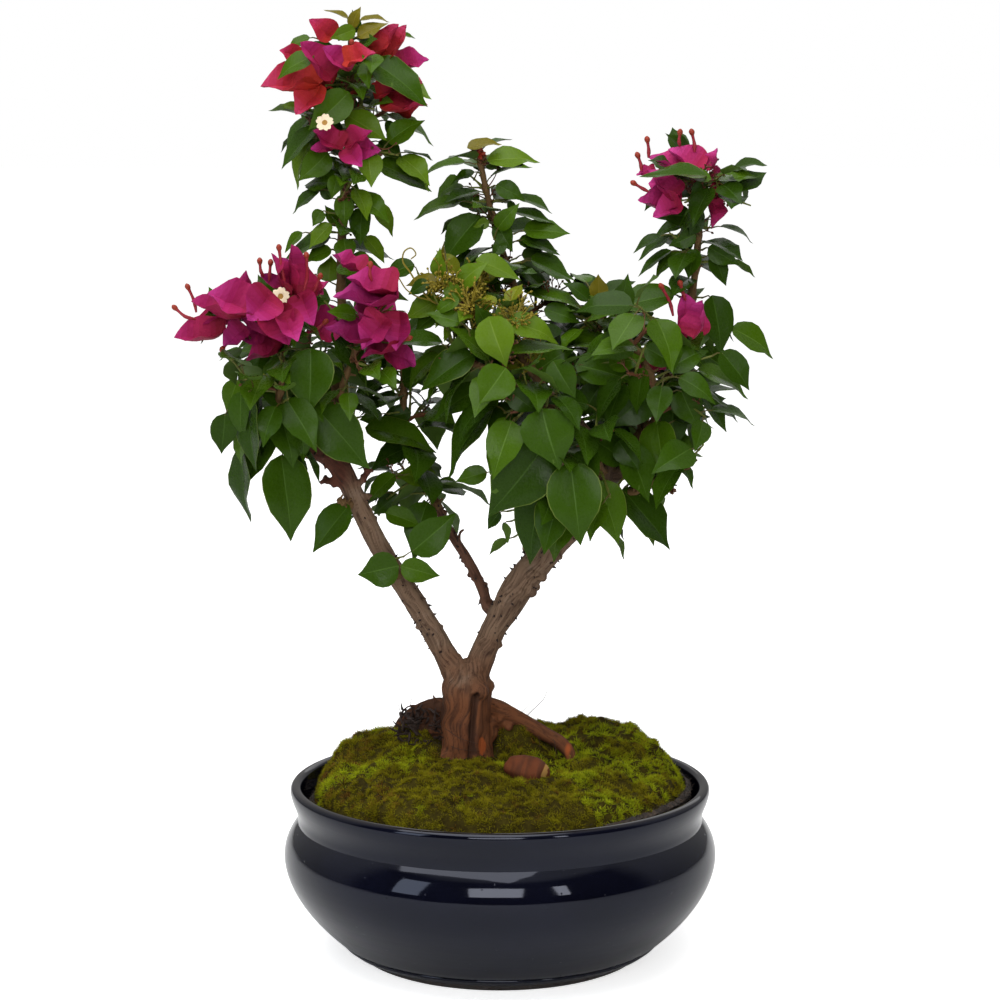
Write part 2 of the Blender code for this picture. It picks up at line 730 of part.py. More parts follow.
class Grower:
    """Grows one mass and keeps it clear of all that stands already."""

    def __init__(self, mass, neighbours, finishes):
        """Prepare a mass with its own random numbers."""
        self.mass = mass
        self.neighbours = neighbours
        self.finishes = finishes
        self.rng = random.Random(mass.seed)
        self.pieces = []
        self.blades = Neighbours()
        self.path = []
        self.spine = []

    def keep(self, points, faces, tint=0):
        """Keep a piece of the mass as an object, with the leaf's tint or the bract's."""
        piece = mesh_object("piece", points, faces, self.finishes[0])
        piece.data.materials.append(self.finishes[1])
        for face in piece.data.polygons:
            face.material_index = tint
        self.pieces.append(piece)
        self.neighbours.add(self.mass.name, points, faces)

    def twig(self, path, start, end):
        """A three-sided twig along a path, unless it would touch another node."""
        radii = spread([start, end], len(path))
        points, faces = tube_mesh(path, radii, TWIG_SIDES)
        if self.neighbours.touches(points, faces, self.mass.name):
            return False
        self.keep(points, faces)
        self.blades.add("twig", points, faces)
        return True

    def has_room(self, root, way, face, sizes, bloom=None):
        """Whether a leaf, or a bract of a bloom, stays in the mass's space and meets nothing but
        its own twig and bloom."""
        points, faces = blade_mesh(root, way, face, sizes, CLEARANCE)
        if min((points[-1] - place).length for place in self.spine) > self.mass.reach * MM:
            return False
        if self.neighbours.touches(points, faces, self.mass.name):
            return False
        stalk_way, stalk, *shape = sizes
        free = (stalk_way, max(0.0, stalk - ROOT_ZONE), *shape)
        points, faces = blade_mesh(root + stalk_way * ROOT_ZONE, way, face, free)
        if self.blades.touches(points, faces, bloom):
            return False
        self.blades.add(bloom or "blade", points, faces)
        return True

    def leaf(self, root, way, face, sizes):
        """A leaf, where it has room."""
        if not self.has_room(root, way, face, sizes):
            return False
        self.keep(*blade_mesh(root, way, face, sizes))
        return True

    def leaf_sizes(self, stalk_way, length):
        """Stalk's way, stalk, length, width, arch, fold and thickness of a leaf."""
        stalk = LEAF_STALK * (0.55 + 0.45 * length / LEAF_LENGTH)
        width = length * LEAF_WIDTH * self.rng.uniform(0.92, 1.10)
        arch = self.rng.uniform(0.08, 0.24)
        return (stalk_way, stalk, length, width, arch, LEAF_FOLD, LEAF_THICKNESS)

    def leaves_along(self, path, count, first, length):
        """Leaves round a twig at the golden angle, smaller and more upright to its tip."""
        along = directions(path)
        start = self.rng.uniform(0.0, 2.0 * math.pi)
        for index in range(count):
            share = first + (1.0 - first) * (index + 0.6) / count
            place = share * (len(path) - 1)
            low = min(int(place), len(path) - 2)
            root = path[low].lerp(path[low + 1], place - low)
            size = length * MM * (1.0 - LEAF_TAPER * share ** 3) * self.rng.uniform(*SIZE_RANGE)
            wide, narrow = LEAF_OPENING
            opening = math.radians(wide + (narrow - wide) * share + self.rng.uniform(-8.0, 8.0))
            droop = math.radians(self.mass.droop * (1.15 - 0.5 * share))
            droop += math.radians(self.rng.uniform(-12.0, 12.0))
            angle = start + index * GOLDEN_ANGLE + self.rng.uniform(-0.3, 0.3)
            roll = self.rng.uniform(-0.6, 0.6)
            shape = self.leaf_sizes(None, size)[1:]
            for attempt in TURN_TRIES:
                stalk_way, way, level = leaf_pose(along[low], angle + attempt, opening, droop)
                if self.leaf(root, way, face_for(way, level, roll), (stalk_way, *shape)):
                    break

    def single(self, path, at, turn, rise, length):
        """One leaf with a stated heading, such as a large one that hangs in front."""
        place = at * (len(path) - 1)
        low = min(int(place), len(path) - 2)
        root = path[low].lerp(path[low + 1], place - low)
        way = heading(turn, rise)
        sizes = self.leaf_sizes(heading(turn, 0.4 * rise + 12.0), length * MM)
        self.leaf(root, way, face_for(way, heading(turn, 0.0), 0.0), sizes)

    def bloom(self, tip, axis, length):
        """Bracts in threes round a three-sided hub that stands in the tip of a shoot."""
        name = "bloom " + str(len(self.pieces))
        spoke = Matrix.Rotation(self.rng.uniform(0.0, 2.0 * math.pi), 3, axis) @ axis.orthogonal()
        spoke.normalize()
        turn = Matrix.Rotation(2.0 * math.pi / BRACTS_IN_BLOOM, 3, axis)
        spokes = [spoke, turn @ spoke, turn @ turn @ spoke]
        points = []
        for rise, radius in HUB_RINGS:
            points += [tip + axis * rise + way * radius for way in spokes]
        faces = [[2, 1, 0], [6, 7, 8], [0, 1, 4, 3], [1, 2, 5, 4], [2, 0, 3, 5]]
        for index in range(BRACTS_IN_BLOOM):
            after = (index + 1) % BRACTS_IN_BLOOM
            outward = (spokes[index] + spokes[after]).normalized()
            opening = math.radians(self.rng.uniform(*BRACT_OPENING))
            way = (axis * math.cos(opening) + outward * math.sin(opening)).normalized()
            face = (axis - way * axis.dot(way)).normalized()
            size = length * MM * self.rng.uniform(0.88, 1.08)
            sizes = (way, BRACT_STALK, size, size * BRACT_WIDTH, self.rng.uniform(0.05, 0.2),
                     BRACT_FOLD, LEAF_THICKNESS)
            corners = [3 + index, 3 + after, 6 + after, 6 + index]
            root = tip + axis * HUB_RINGS[1][0]
            if self.has_room(root, way, face, sizes, name):
                blade = blade_mesh(root, way, face, sizes)[0]
                first = len(points)
                points += blade[3:]
                faces += bract_faces(corners, first)
            else:
                faces.append(corners)
        self.keep(points, faces, 1)

    def shoot(self, path, plan):
        """A side shoot with its leaves and bloom."""
        place = plan.at * (len(path) - 1)
        low = min(int(place), len(path) - 2)
        root = path[low].lerp(path[low + 1], place - low)
        way = heading(plan.turn, plan.rise)
        sag = -UP * 0.12 * plan.long * MM
        route = [root, root + way * plan.long * MM * 0.5 - sag * 0.5, root + way * plan.long * MM]
        side_path = smooth_route(route, 2)
        if not self.twig(side_path, TWIG_TIP * 1.25, TWIG_TIP):
            return
        self.spine.append(side_path[-1])
        self.leaves_along(side_path, plan.leaves, 0.25, self.mass.size)
        if plan.bloom:
            axis = (side_path[-1] - side_path[-2]).normalized()
            self.bloom(side_path[-1], axis, plan.bloom)

    def plant(self, carrier, limb):
        """The stem of the mass, which stands on its limb."""
        mass = self.mass
        start, axis = seat(carrier, limb, mass.share, mass.route[0])
        self.path = lead_route([start] + [point(*place) for place in mass.route], 2, axis)
        self.spine = list(self.path)
        radii = spread([mass.stem * MM, TWIG_TIP], len(self.path))
        points, faces = tube_mesh(self.path, radii, TWIG_SIDES)
        self.keep(points, faces)
        self.blades.add("twig", points, faces)

    def grow(self):
        """Shoots, blooms and leaves, fused with the stem into one solid."""
        mass = self.mass
        for single in mass.singles:
            self.single(self.path, *single)
        for plan in mass.shoots:
            self.shoot(self.path, plan)
        self.leaves_along(self.path, mass.leaves, mass.first, mass.size)
        whole = self.pieces[0]
        if len(self.pieces) > 1:
            combine(whole, self.pieces[1:], "UNION", "MANIFOLD")
        whole.name = mass.name
        whole.data.name = mass.name
        return whole


MASSES = [
    Mass("low_sprig", "left_bough", 0.555,
         [(-85, -12, 254), (-88, -14, 256)],
         0, 30.0, 16, stem=1.8, singles=[(0.9, 205, -50, 31)]),
    Mass("mid_sprig", "left_bough", 0.29,
         [(-58, -11, 218), (-57, -13, 223)],
         0, 26.0, 17, stem=1.8,
         singles=[(0.95, 188, -14, 22), (0.9, 345, -16, 23), (1.0, 25, 36, 31)]),
    Mass("left_drooping", "left_bough", 1.0,
         [(-114, -26, 292), (-118, -38, 304), (-116, -46, 320), (-112, -48, 333)],
         5, 35.0, 14, first=0.3, droop=85.0, stem=2.2, reach=75.0,
         singles=[
             (0.10, 215, -82, 47), (0.76, 330, -42, 45), (0.60, 238, -78, 43)],
         shoots=[Shoot(0.75, 185, 10, 22, 4)]),
    Mass("left_blossom", "left_bough", 0.97,
         [(-109, -20, 304), (-114, -27, 322), (-119, -31, 346)],
         5, 26.0, 12, first=0.4, droop=50.0, stem=2.2, reach=80.0,
         shoots=[
             Shoot(0.98, 187, 8, 28, 0, 33), Shoot(0.95, 166, 45, 22, 0, 32),
             Shoot(0.98, 262, 40, 12, 0, 32), Shoot(0.93, 320, 72, 20, 0, 32),
             Shoot(0.90, 340, 35, 20, 0, 31), Shoot(0.86, 232, -12, 14, 0, 31),
             Shoot(0.90, 95, 42, 20, 1, 30)]),
    Mass("inner_blossom", "left_bough", 0.84,
         [(-90, -20, 300), (-84, -28, 320), (-76, -32, 342)],
         4, 26.0, 13, first=0.4, droop=45.0, stem=2.0, reach=70.0,
         shoots=[
             Shoot(0.97, 330, 50, 14, 0, 33), Shoot(0.98, 350, 4, 12, 0, 31),
             Shoot(0.90, 290, -10, 10, 0, 29)]),
    Mass("left_spire", "left_bough", 0.90,
         [(-94, -5, 302), (-88, -4, 322), (-86, 0, 353), (-86, 0, 390), (-83, 0, 423),
          (-80, 0, 460), (-80, 0, 503)],
         27, 30.0, 11, first=0.33, droop=42.0, reach=62.0, stem=2.8,
         shoots=[
             Shoot(0.80, 190, 30, 25, 1, 32), Shoot(0.87, 228, 48, 20, 0, 31),
             Shoot(0.90, 345, 48, 20, 0, 31), Shoot(0.78, 322, 30, 22, 1, 29),
             Shoot(0.84, 15, 32, 25, 1, 31), Shoot(0.68, 262, 32, 16, 0, 28),
             Shoot(0.85, 95, 38, 22, 1, 30)],
         singles=[(1.0, 60, 78, 13)]),
    Mass("left_back", "left_bough", 0.84,
         [(-97, 12, 294), (-104, 26, 308), (-108, 34, 326), (-106, 38, 346)],
         10, 36.0, 15, first=0.25, droop=55.0, reach=70.0,
         shoots=[Shoot(0.8, 165, 25, 22, 3), Shoot(0.7, 20, 20, 22, 2)]),
    Mass("middle_foliage", "middle_branch", 1.0,
         [(-41, 19, 262), (-48, 20, 278), (-53, 20, 300), (-53, 19, 322), (-50, 18, 338)],
         13, 33.0, 18, first=0.06, droop=48.0, reach=62.0,
         shoots=[Shoot(0.25, 190, 12, 18, 2), Shoot(0.6, 330, 15, 18, 2)]),
    Mass("right_spire", "right_limb", 1.0,
         [(92, 5, 322), (98, 6, 340), (105, 8, 368), (108, 8, 398), (110, 8, 424)],
         20, 32.0, 25, first=0.18, droop=42.0, reach=62.0,
         singles=[(0.46, 352, -8, 44)],
         shoots=[
             Shoot(0.94, 190, 40, 17, 0, 27), Shoot(0.97, 90, 60, 8, 0, 25),
             Shoot(0.93, 330, 30, 14, 0, 26), Shoot(0.97, 250, 55, 15, 0, 27),
             Shoot(0.30, 235, 30, 14, 0, 26)]),
    Mass("rosette", "rear_bough", 0.85,
         [(37, 24, 306), (46, 21, 326), (54, 18, 344), (59, 16, 360)],
         11, 32.0, 26, first=0.35, droop=35.0, reach=62.0),
    Mass("centre_spire", "rear_bough", 1.0,
         [(24, 28, 312), (17, 30, 339), (8, 30, 368), (0, 30, 392), (-7, 30, 419), (-12, 30, 443)],
         22, 32.0, 19, first=0.22, droop=42.0, reach=60.0,
         shoots=[Shoot(0.45, 340, 30, 22, 2), Shoot(0.5, 170, 25, 20, 2)]),
    Mass("crown_low_front", "right_bough", 0.80,
         [(45, -24, 256), (40, -34, 265), (31, -38, 272), (22, -38, 276)],
         4, 36.0, 29, first=0.3, droop=60.0, reach=80.0,
         singles=[
             (1.0, 208, -52, 46), (0.88, 238, -72, 41), (0.62, 298, -66, 45), (0.30, 322, -54, 42)]),
    Mass("crown_front", "right_bough", 0.90,
         [(53, -28, 276), (42, -38, 294), (30, -44, 305), (16, -46, 312)],
         6, 36.0, 21, first=0.3, droop=60.0, reach=80.0,
         singles=[(0.78, 282, -68, 38), (1.0, 195, -35, 38)],
         shoots=[Shoot(0.9, 200, -5, 18, 2), Shoot(0.5, 325, 25, 20, 3)]),
    Mass("crown_low_right", "right_bough", 0.80,
         [(64, -19, 259), (77, -24, 264), (90, -24, 272)],
         9, 37.0, 24, first=0.25, droop=70.0, reach=75.0,
         singles=[(0.40, 296, -56, 46)],
         shoots=[Shoot(0.9, 350, 20, 18, 2)]),
    Mass("yellow_sprays", "crown_bough", 1.0,
         [(19, -24, 324), (10, -25, 338), (-4, -24, 350), (-20, -22, 362)],
         5, 18.0, 20, first=0.3, droop=10.0, reach=60.0,
         shoots=[
             Shoot(0.95, 190, 40, 22, 4), Shoot(0.85, 240, 30, 18, 3), Shoot(0.9, 100, 50, 20, 3),
             Shoot(0.7, 300, 35, 18, 3)]),
    Mass("crown_left", "crown_bough", 0.75,
         [(24, -32, 312), (8, -38, 322), (-8, -38, 330), (-22, -32, 334)],
         11, 36.0, 22, first=0.3, droop=52.0, reach=75.0,
         shoots=[Shoot(0.8, 165, 20, 22, 2), Shoot(0.6, 250, 45, 18, 2)]),
    Mass("crown_right", "right_limb", 0.62,
         [(84, -16, 302), (82, -26, 320), (72, -30, 340), (60, -26, 352)],
         14, 37.0, 23, first=0.15, droop=50.0, reach=80.0,
         shoots=[
             Shoot(0.35, 345, 15, 26, 3), Shoot(0.55, 230, 20, 24, 2), Shoot(0.8, 320, 40, 22, 2)]),
    Mass("crown_back", "rear_bough", 0.55,
         [(36, 38, 276), (34, 50, 290), (26, 60, 308), (14, 64, 328)],
         14, 38.0, 27, first=0.2, droop=52.0, reach=80.0,
         shoots=[Shoot(0.5, 20, 20, 26, 2), Shoot(0.75, 170, 20, 26, 3), Shoot(0.9, 90, 40, 20, 2)]),
    Mass("crown_back_right", "right_limb", 0.45,
         [(78, 12, 292), (82, 28, 302), (80, 44, 318), (72, 52, 336)],
         14, 37.0, 28, first=0.2, droop=50.0, reach=80.0,
         shoots=[Shoot(0.5, 10, 20, 26, 2), Shoot(0.8, 110, 25, 22, 3)]),
]


def clear_scene():
    """Remove what the scene holds."""
    for thing in list(bpy.data.objects):
        bpy.data.objects.remove(thing)


def build():
    """The whole plant in its pot."""
    clear_scene()
    bark = bark_material()
    leaf = leaf_material()
    bract = bract_material()
    pot = build_pot(glaze_material())
    moss = build_moss(moss_finish())
    stub = build_root_stub(bark)
    limbs = build_boughs(bark, build_trunk(bark))
    neighbours = Neighbours()
    for thing in dict.fromkeys([pot, moss, stub] + [solid for _, solid in limbs.values()]):
        places = [corner.co.copy() for corner in thing.data.vertices]
        neighbours.add(thing.name, places, [tuple(face.vertices) for face in thing.data.polygons])
    growers = [Grower(mass, neighbours, (leaf, bract)) for mass in MASSES]
    for grower in growers:
        limb, carrier = limbs[grower.mass.bough]
        grower.plant(carrier, limb)
    for grower in growers:
        grower.grow()


build()
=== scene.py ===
"""Bougainvillea bonsai in a round glazed pot: the looks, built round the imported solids.

The origin is the centre of the pot's underside, +Z is up and the plant's front looks towards -Y.
Lengths are in metres, and tables of places are in millimetres, as their comments say. The plant
grows here by the rule of its solids, with the same seeds, and then on into finer twigs and leaves.
"""

import itertools
import logging
import math
import random
from collections.abc import Callable
from dataclasses import dataclass, field
from enum import Enum

import bpy
import numpy as np
from mathutils import Matrix, Vector
from mathutils.bvhtree import BVHTree


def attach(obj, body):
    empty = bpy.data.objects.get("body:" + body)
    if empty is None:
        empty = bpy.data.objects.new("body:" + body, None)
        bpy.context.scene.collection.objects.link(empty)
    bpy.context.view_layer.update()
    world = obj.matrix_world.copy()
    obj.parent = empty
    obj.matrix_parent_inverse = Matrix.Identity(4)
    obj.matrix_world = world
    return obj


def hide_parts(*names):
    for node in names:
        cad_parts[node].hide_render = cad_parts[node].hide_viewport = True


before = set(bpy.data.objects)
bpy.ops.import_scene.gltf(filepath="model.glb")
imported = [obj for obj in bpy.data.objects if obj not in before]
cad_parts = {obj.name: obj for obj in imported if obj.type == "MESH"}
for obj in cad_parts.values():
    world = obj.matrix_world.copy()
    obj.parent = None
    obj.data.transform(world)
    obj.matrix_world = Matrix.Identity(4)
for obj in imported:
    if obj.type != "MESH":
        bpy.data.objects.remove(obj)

LOG = logging.getLogger("bonsai")
MM = 0.001
GAP = 0.3 * MM
UP = Vector((0.0, 0.0, 1.0))
GOLDEN_ANGLE = math.radians(137.508)
BODY = "root"
GROUND = 0.1075
TRUNK_PLACE = (-0.0190, -0.0020)
TONES = 7
CAMERA_PLACE = Vector((0.0, -1.5, 0.467))
WHITE = (1.0, 1.0, 1.0)


def point(x: float, y: float, z: float) -> Vector:
    """A place given in millimetres, as a vector in metres."""
    return Vector((x, y, z)) * MM


def points_of(route: list) -> list:
    """Places given in millimetres, as vectors in metres."""
    return [point(*place) for place in route]


def in_mm(*values: float) -> list:
    """Lengths given in millimetres, in metres."""
    return [value * MM for value in values]


def outward_of(axis: Vector, angle: float) -> Vector:
    """Unit vector square to an axis and turned about it by an angle."""
    return Matrix.Rotation(angle, 3, axis) @ axis.orthogonal().normalized()


def heading(turn: float, rise: float) -> Vector:
    """Unit vector at a compass turn and a climb.

    Args:
        turn: degrees, 0 to the right and 90 to the back.
        rise: degrees above level.

    Returns:
        The unit vector.
    """
    flat = math.cos(math.radians(rise))
    east = flat * math.cos(math.radians(turn))
    north = flat * math.sin(math.radians(turn))
    return Vector((east, north, math.sin(math.radians(rise))))


def ease(low: float, high: float, value: float | np.ndarray) -> float | np.ndarray:
    """Ease from 0 at low to 1 at high.

    Args:
        low: value at which the rise starts.
        high: value at which it ends.
        value: a number or an array of them.

    Returns:
        The eased share, of the value's kind.
    """
    share = np.clip((value - low) / (high - low), 0.0, 1.0)
    return share * share * (3.0 - 2.0 * share)


def lattice_noise(places: np.ndarray, seed: int) -> np.ndarray:
    """Smooth seeded noise from -1 to 1, whose hills are about one unit wide.

    Args:
        places: n rows of three coordinates.
        seed: chooses the pattern.

    Returns:
        n values.
    """
    cell = np.floor(places).astype(np.int64)
    part = places - cell
    part = part * part * (3.0 - 2.0 * part)
    total = np.zeros(len(places))
    for corner in itertools.product((0, 1), repeat=3):
        key = cell + np.array(corner)
        mixed = key[:, 0] * 374761393 + key[:, 1] * 668265263 + key[:, 2] * 2246822519 + seed * 3266489917
        mixed = ((mixed & 0xFFFFFFFF) ^ ((mixed & 0xFFFFFFFF) >> 15)) * 2246822519 & 0xFFFFFFFF
        value = ((mixed ^ (mixed >> 13)) & 0xFFFF) / 32767.5 - 1.0
        weight = np.prod(np.where(np.array(corner) == 1, part, 1.0 - part), axis=1)
        total += weight * value
    return total


# Nodes

class Value:
    """A node's socket that joins in Python sums."""

    def __init__(self, graph: "Graph", socket: bpy.types.NodeSocket) -> None:
        """Wrap one output socket of a graph."""
        self.graph = graph
        self.socket = socket

    def of(self, name: str) -> "Value":
        """Another output of the same node."""
        return Value(self.graph, self.socket.node.outputs[name])

    def _math(self, operation: str, first: object, second: object) -> "Value":
        """A Math node on two values."""
        return self.graph.node("ShaderNodeMath", {"operation": operation}, {0: first, 1: second})

    def __add__(self, other: object) -> "Value":
        """Sum."""
        return self._math("ADD", self, other)

    def __sub__(self, other: object) -> "Value":
        """Difference."""
        return self._math("SUBTRACT", self, other)

    def __rsub__(self, other: object) -> "Value":
        """Difference from a number."""
        return self._math("SUBTRACT", other, self)

    def __mul__(self, other: object) -> "Value":
        """Product."""
        return self._math("MULTIPLY", self, other)


class Graph:
    """A node tree that is built from Python."""

    def __init__(self, tree: bpy.types.NodeTree) -> None:
        """Take over a tree."""
        self.tree = tree

    def feed(self, socket: bpy.types.NodeSocket, value: object) -> None:
        """Link a value to a socket, or set the socket's own number, colour or name.

        Args:
            socket: the input to feed.
            value: a value to link, or what the input is set to.
        """
        if isinstance(value, Value):
            self.tree.links.new(value.socket, socket)
        else:
            socket.default_value = value

    def node(self, kind: str, settings: dict | None = None, sockets: dict | None = None,
             output: int | str = 0) -> Value:
        """Add any node.

        Args:
            kind: the node's type name.
            settings: properties that are set first.
            sockets: values or links by the socket's name or number.
            output: which of its outputs is returned.

        Returns:
            The output as a value.
        """
        made = self.tree.nodes.new(kind)
        for name, setting in (settings or {}).items():
            setattr(made, name, setting)
        for name, value in (sockets or {}).items():
            self.feed(made.inputs[name], value)
        return Value(self, made.outputs[output])

    def step(self, value: Value, low: float, high: float) -> Value:
        """Ease a value from 0 at low to 1 at high."""
        settings = {"interpolation_type": "SMOOTHSTEP"}
        return self.node("ShaderNodeMapRange", settings, {"Value": value, "From Min": low, "From Max": high})


class Shader(Graph):
    """The node tree of one material, round its Principled shader."""

    def __init__(self, name: str) -> None:
        """Make a material with a Principled shader.

        Args:
            name: the material's name.
        """
        self.material = bpy.data.materials.new(name)
        self.material.use_nodes = True
        super().__init__(self.material.node_tree)
        self.surface = self.tree.nodes["Principled BSDF"]

    def set(self, **sockets: object) -> None:
        """Set or link sockets of the surface, named with _ for each space.

        Args:
            sockets: a value, number or colour by each socket's name.
        """
        names = {name.lower().replace(" ", "_"): name for name in self.surface.inputs.keys()}
        for name, value in sockets.items():
            if isinstance(value, tuple) and len(value) == 3:
                value = (*value, 1.0)
            self.feed(self.surface.inputs[names[name]], value)

    def place(self) -> Value:
        """Object coordinates, in metres."""
        return self.node("ShaderNodeTexCoord", output="Object")

    def height(self) -> Value:
        """Height above the floor, in metres."""
        return self.node("ShaderNodeSeparateXYZ", sockets={0: self.place()}, output="Z")

    def stretched(self, x: float, y: float, z: float) -> Value:
        """Object coordinates scaled along each axis."""
        scale = {0: self.place(), 1: (x, y, z)}
        return self.node("ShaderNodeVectorMath", {"operation": "MULTIPLY"}, scale)

    def noise(self, scale: float, detail: float = 3.0, rough: float = 0.55,
              place: Value | None = None) -> Value:
        """Noise from 0 to 1, with scale in waves per metre."""
        sockets = {"Vector": place or self.place(), "Scale": scale, "Detail": detail, "Roughness": rough}
        return self.node("ShaderNodeTexNoise", {}, sockets)

    def cells(self, scale: float) -> Value:
        """Distance to the nearest of scattered points, in cells."""
        return self.node("ShaderNodeTexVoronoi", {}, {"Vector": self.place(), "Scale": scale})

    def attribute(self, name: str) -> Value:
        """A number that the mesh carries."""
        return self.node("ShaderNodeAttribute", {"attribute_name": name}, output="Fac")

    def mix(self, share: object, first: object, second: object) -> Value:
        """Blend two colours.

        Args:
            share: 0 gives the first and 1 the second.
            first: a colour or value.
            second: a colour or value.

        Returns:
            The blended colour.
        """
        pair = [(*colour, 1.0) if isinstance(colour, tuple) else colour for colour in (first, second)]
        sockets = {0: share, 6: pair[0], 7: pair[1]}
        return self.node("ShaderNodeMix", {"data_type": "RGBA"}, sockets, 2)

    def bump(self, height: Value, depth: float, strength: float = 1.0) -> Value:
        """Relief from a height of 0 to 1 that is depth metres deep."""
        return self.node("ShaderNodeBump", {}, {"Height": height, "Distance": depth, "Strength": strength})


# Finishes

@dataclass(frozen=True)
class Glaze:
    """Gloss blue-black glaze that thins to brown at the lip."""
    deep: tuple = (0.0018, 0.0020, 0.0052)
    clouded: tuple = (0.0030, 0.0034, 0.0086)
    thin: tuple = (0.022, 0.016, 0.010)
    lip: float = 0.0958

    def make(self) -> bpy.types.Material:
        """Build the material.

        Returns:
            The material.
        """
        shader = Shader("blue_black_glaze")
        cloud = shader.noise(22.0, 4.0)
        edge = shader.step(shader.height(), self.lip - 0.0012, self.lip + 0.0006) * 0.5
        mottled = shader.mix(shader.step(cloud, 0.35, 0.75), self.deep, self.clouded)
        pits = shader.step(shader.cells(150.0), 0.0, 0.085)
        wheel = shader.noise(4.0, 2.0, place=shader.stretched(2.0, 2.0, 55.0))
        waves = shader.noise(30.0, 1.5)
        flow = shader.bump(waves + wheel * 0.35, 0.00022)
        sockets = {"Height": pits, "Distance": 0.00025, "Strength": 0.6, "Normal": flow}
        relief = shader.node("ShaderNodeBump", {}, sockets)
        shader.set(
            base_color=shader.mix(edge, mottled, self.thin),
            roughness=shader.step(shader.noise(120.0), 0.3, 0.8) * 0.04 + 0.05,
            ior=1.38,
            specular_tint=(0.80, 0.84, 1.0),
            normal=relief,
        )
        return shader.material


@dataclass(frozen=True)
class Clay:
    """Bare stoneware of the foot, dark brown and slightly sandy."""
    dark: tuple = (0.018, 0.012, 0.010)
    light: tuple = (0.060, 0.042, 0.033)

    def make(self) -> bpy.types.Material:
        """Build the material.

        Returns:
            The material.
        """
        shader = Shader("bare_clay")
        grain = shader.noise(900.0, 3.0, 0.7)
        stain = shader.noise(60.0, 3.0)
        shader.set(
            base_color=shader.mix(shader.step(stain * 0.6 + grain * 0.4, 0.35, 0.7), self.dark, self.light),
            roughness=grain * 0.2 + 0.55,
            normal=shader.bump(grain, 0.0003),
        )
        return shader.material


@dataclass(frozen=True)
class Cushion:
    """Moss: one tint with its shade, for the ground and for each kind of tuft."""
    name: str
    light: tuple
    shade: tuple
    grain: float = 420.0

    def make(self) -> bpy.types.Material:
        """Build the material.

        Returns:
            The material.
        """
        shader = Shader(self.name)
        patch = shader.noise(70.0, 3.0)
        speck = shader.noise(self.grain, 2.0, 0.7)
        share = shader.step(patch * 0.55 + speck * 0.45, 0.32, 0.66)
        shader.set(
            base_color=shader.mix(share, self.shade, self.light),
            roughness=speck * 0.15 + 0.78,
            normal=shader.bump(speck, 0.0006),
            specular_ior_level=0.05,
        )
        return shader.material


@dataclass(frozen=True)
class Soil:
    """Dark moist soil with paler grit."""
    dark: tuple = (0.012, 0.007, 0.004)
    light: tuple = (0.060, 0.034, 0.018)

    def make(self) -> bpy.types.Material:
        """Build the material.

        Returns:
            The material.
        """
        shader = Shader("moist_soil")
        crumb = shader.noise(320.0, 4.0, 0.7)
        shader.set(
            base_color=shader.mix(shader.step(crumb, 0.42, 0.72), self.dark, self.light),
            roughness=shader.noise(200.0) * 0.3 + 0.6,
            normal=shader.bump(crumb, 0.0009),
        )
        return shader.material


@dataclass(frozen=True)
class Bark:
    """Furrowed bark: red-brown round the foot, grey-brown on the boughs, orange where it is torn, with dark
    grain lines and painted shade in its furrows, creases and cleft.
    """
    red: tuple = (0.136, 0.049, 0.020)
    grey: tuple = (0.165, 0.104, 0.066)
    pale: tuple = (0.27, 0.195, 0.140)
    # Dark of the grain lines, and painted shade in the sunk furrows, creases and cleft
    crack: tuple = (0.030, 0.015, 0.010)
    torn: tuple = (0.29, 0.070, 0.020)
    stain: tuple = (0.075, 0.020, 0.012)
    turn: tuple = (0.135, 0.185)

    def make(self) -> bpy.types.Material:
        """Build the material.

        Returns:
            The material.
        """
        shader = Shader("furrowed_bark")
        streak = shader.noise(260.0, 5.0, 0.65, shader.stretched(1.0, 1.0, 0.22))
        patch = shader.noise(75.0, 3.0)
        climb = shader.step(shader.height() + patch * 0.03 - 0.015, *self.turn)
        ground = shader.mix(climb, self.red, self.grey)
        lichen = shader.step(patch * 0.6 + streak * 0.4, 0.52, 0.70) * climb * 0.55
        weathered = shader.mix(lichen, ground, self.pale)
        stained = shader.mix(shader.attribute("stain") * 0.9, weathered, self.stain)
        lines = shader.step(shader.attribute("streak") + streak * 0.35, 0.55, 0.95) * 0.45
        # Painted shade: the furrow mark darkens the bark where the relief sinks it
        depth = shader.step(shader.attribute("furrow"), 0.35, 1.0) * 0.75
        dark = shader.mix(lines + depth - lines * depth, stained, self.crack)
        cut = shader.step(shader.attribute("cut") + streak * 0.3, 0.55, 0.85)
        shader.set(
            base_color=shader.mix(cut, dark, self.torn),
            roughness=streak * 0.25 + 0.66,
            normal=shader.bump(streak + shader.noise(900.0, 2.0) * 0.3, 0.0006),
            specular_ior_level=0.12,
        )
        return shader.material


@dataclass(frozen=True)
class Tissue:
    """Living tissue in one plain colour, with a fine grain in its gloss and relief."""
    name: str
    colour: tuple
    gloss: float
    grain: float = 700.0
    relief: float = 0.00012
    shine: float = 0.25

    def make(self) -> bpy.types.Material:
        """Build the material.

        Returns:
            The material.
        """
        shader = Shader(self.name)
        grain = shader.noise(self.grain, 2.0)
        shader.set(
            base_color=self.colour,
            roughness=grain * 0.16 + (self.gloss - 0.08),
            specular_ior_level=self.shine,
            normal=shader.bump(grain, self.relief),
        )
        return shader.material


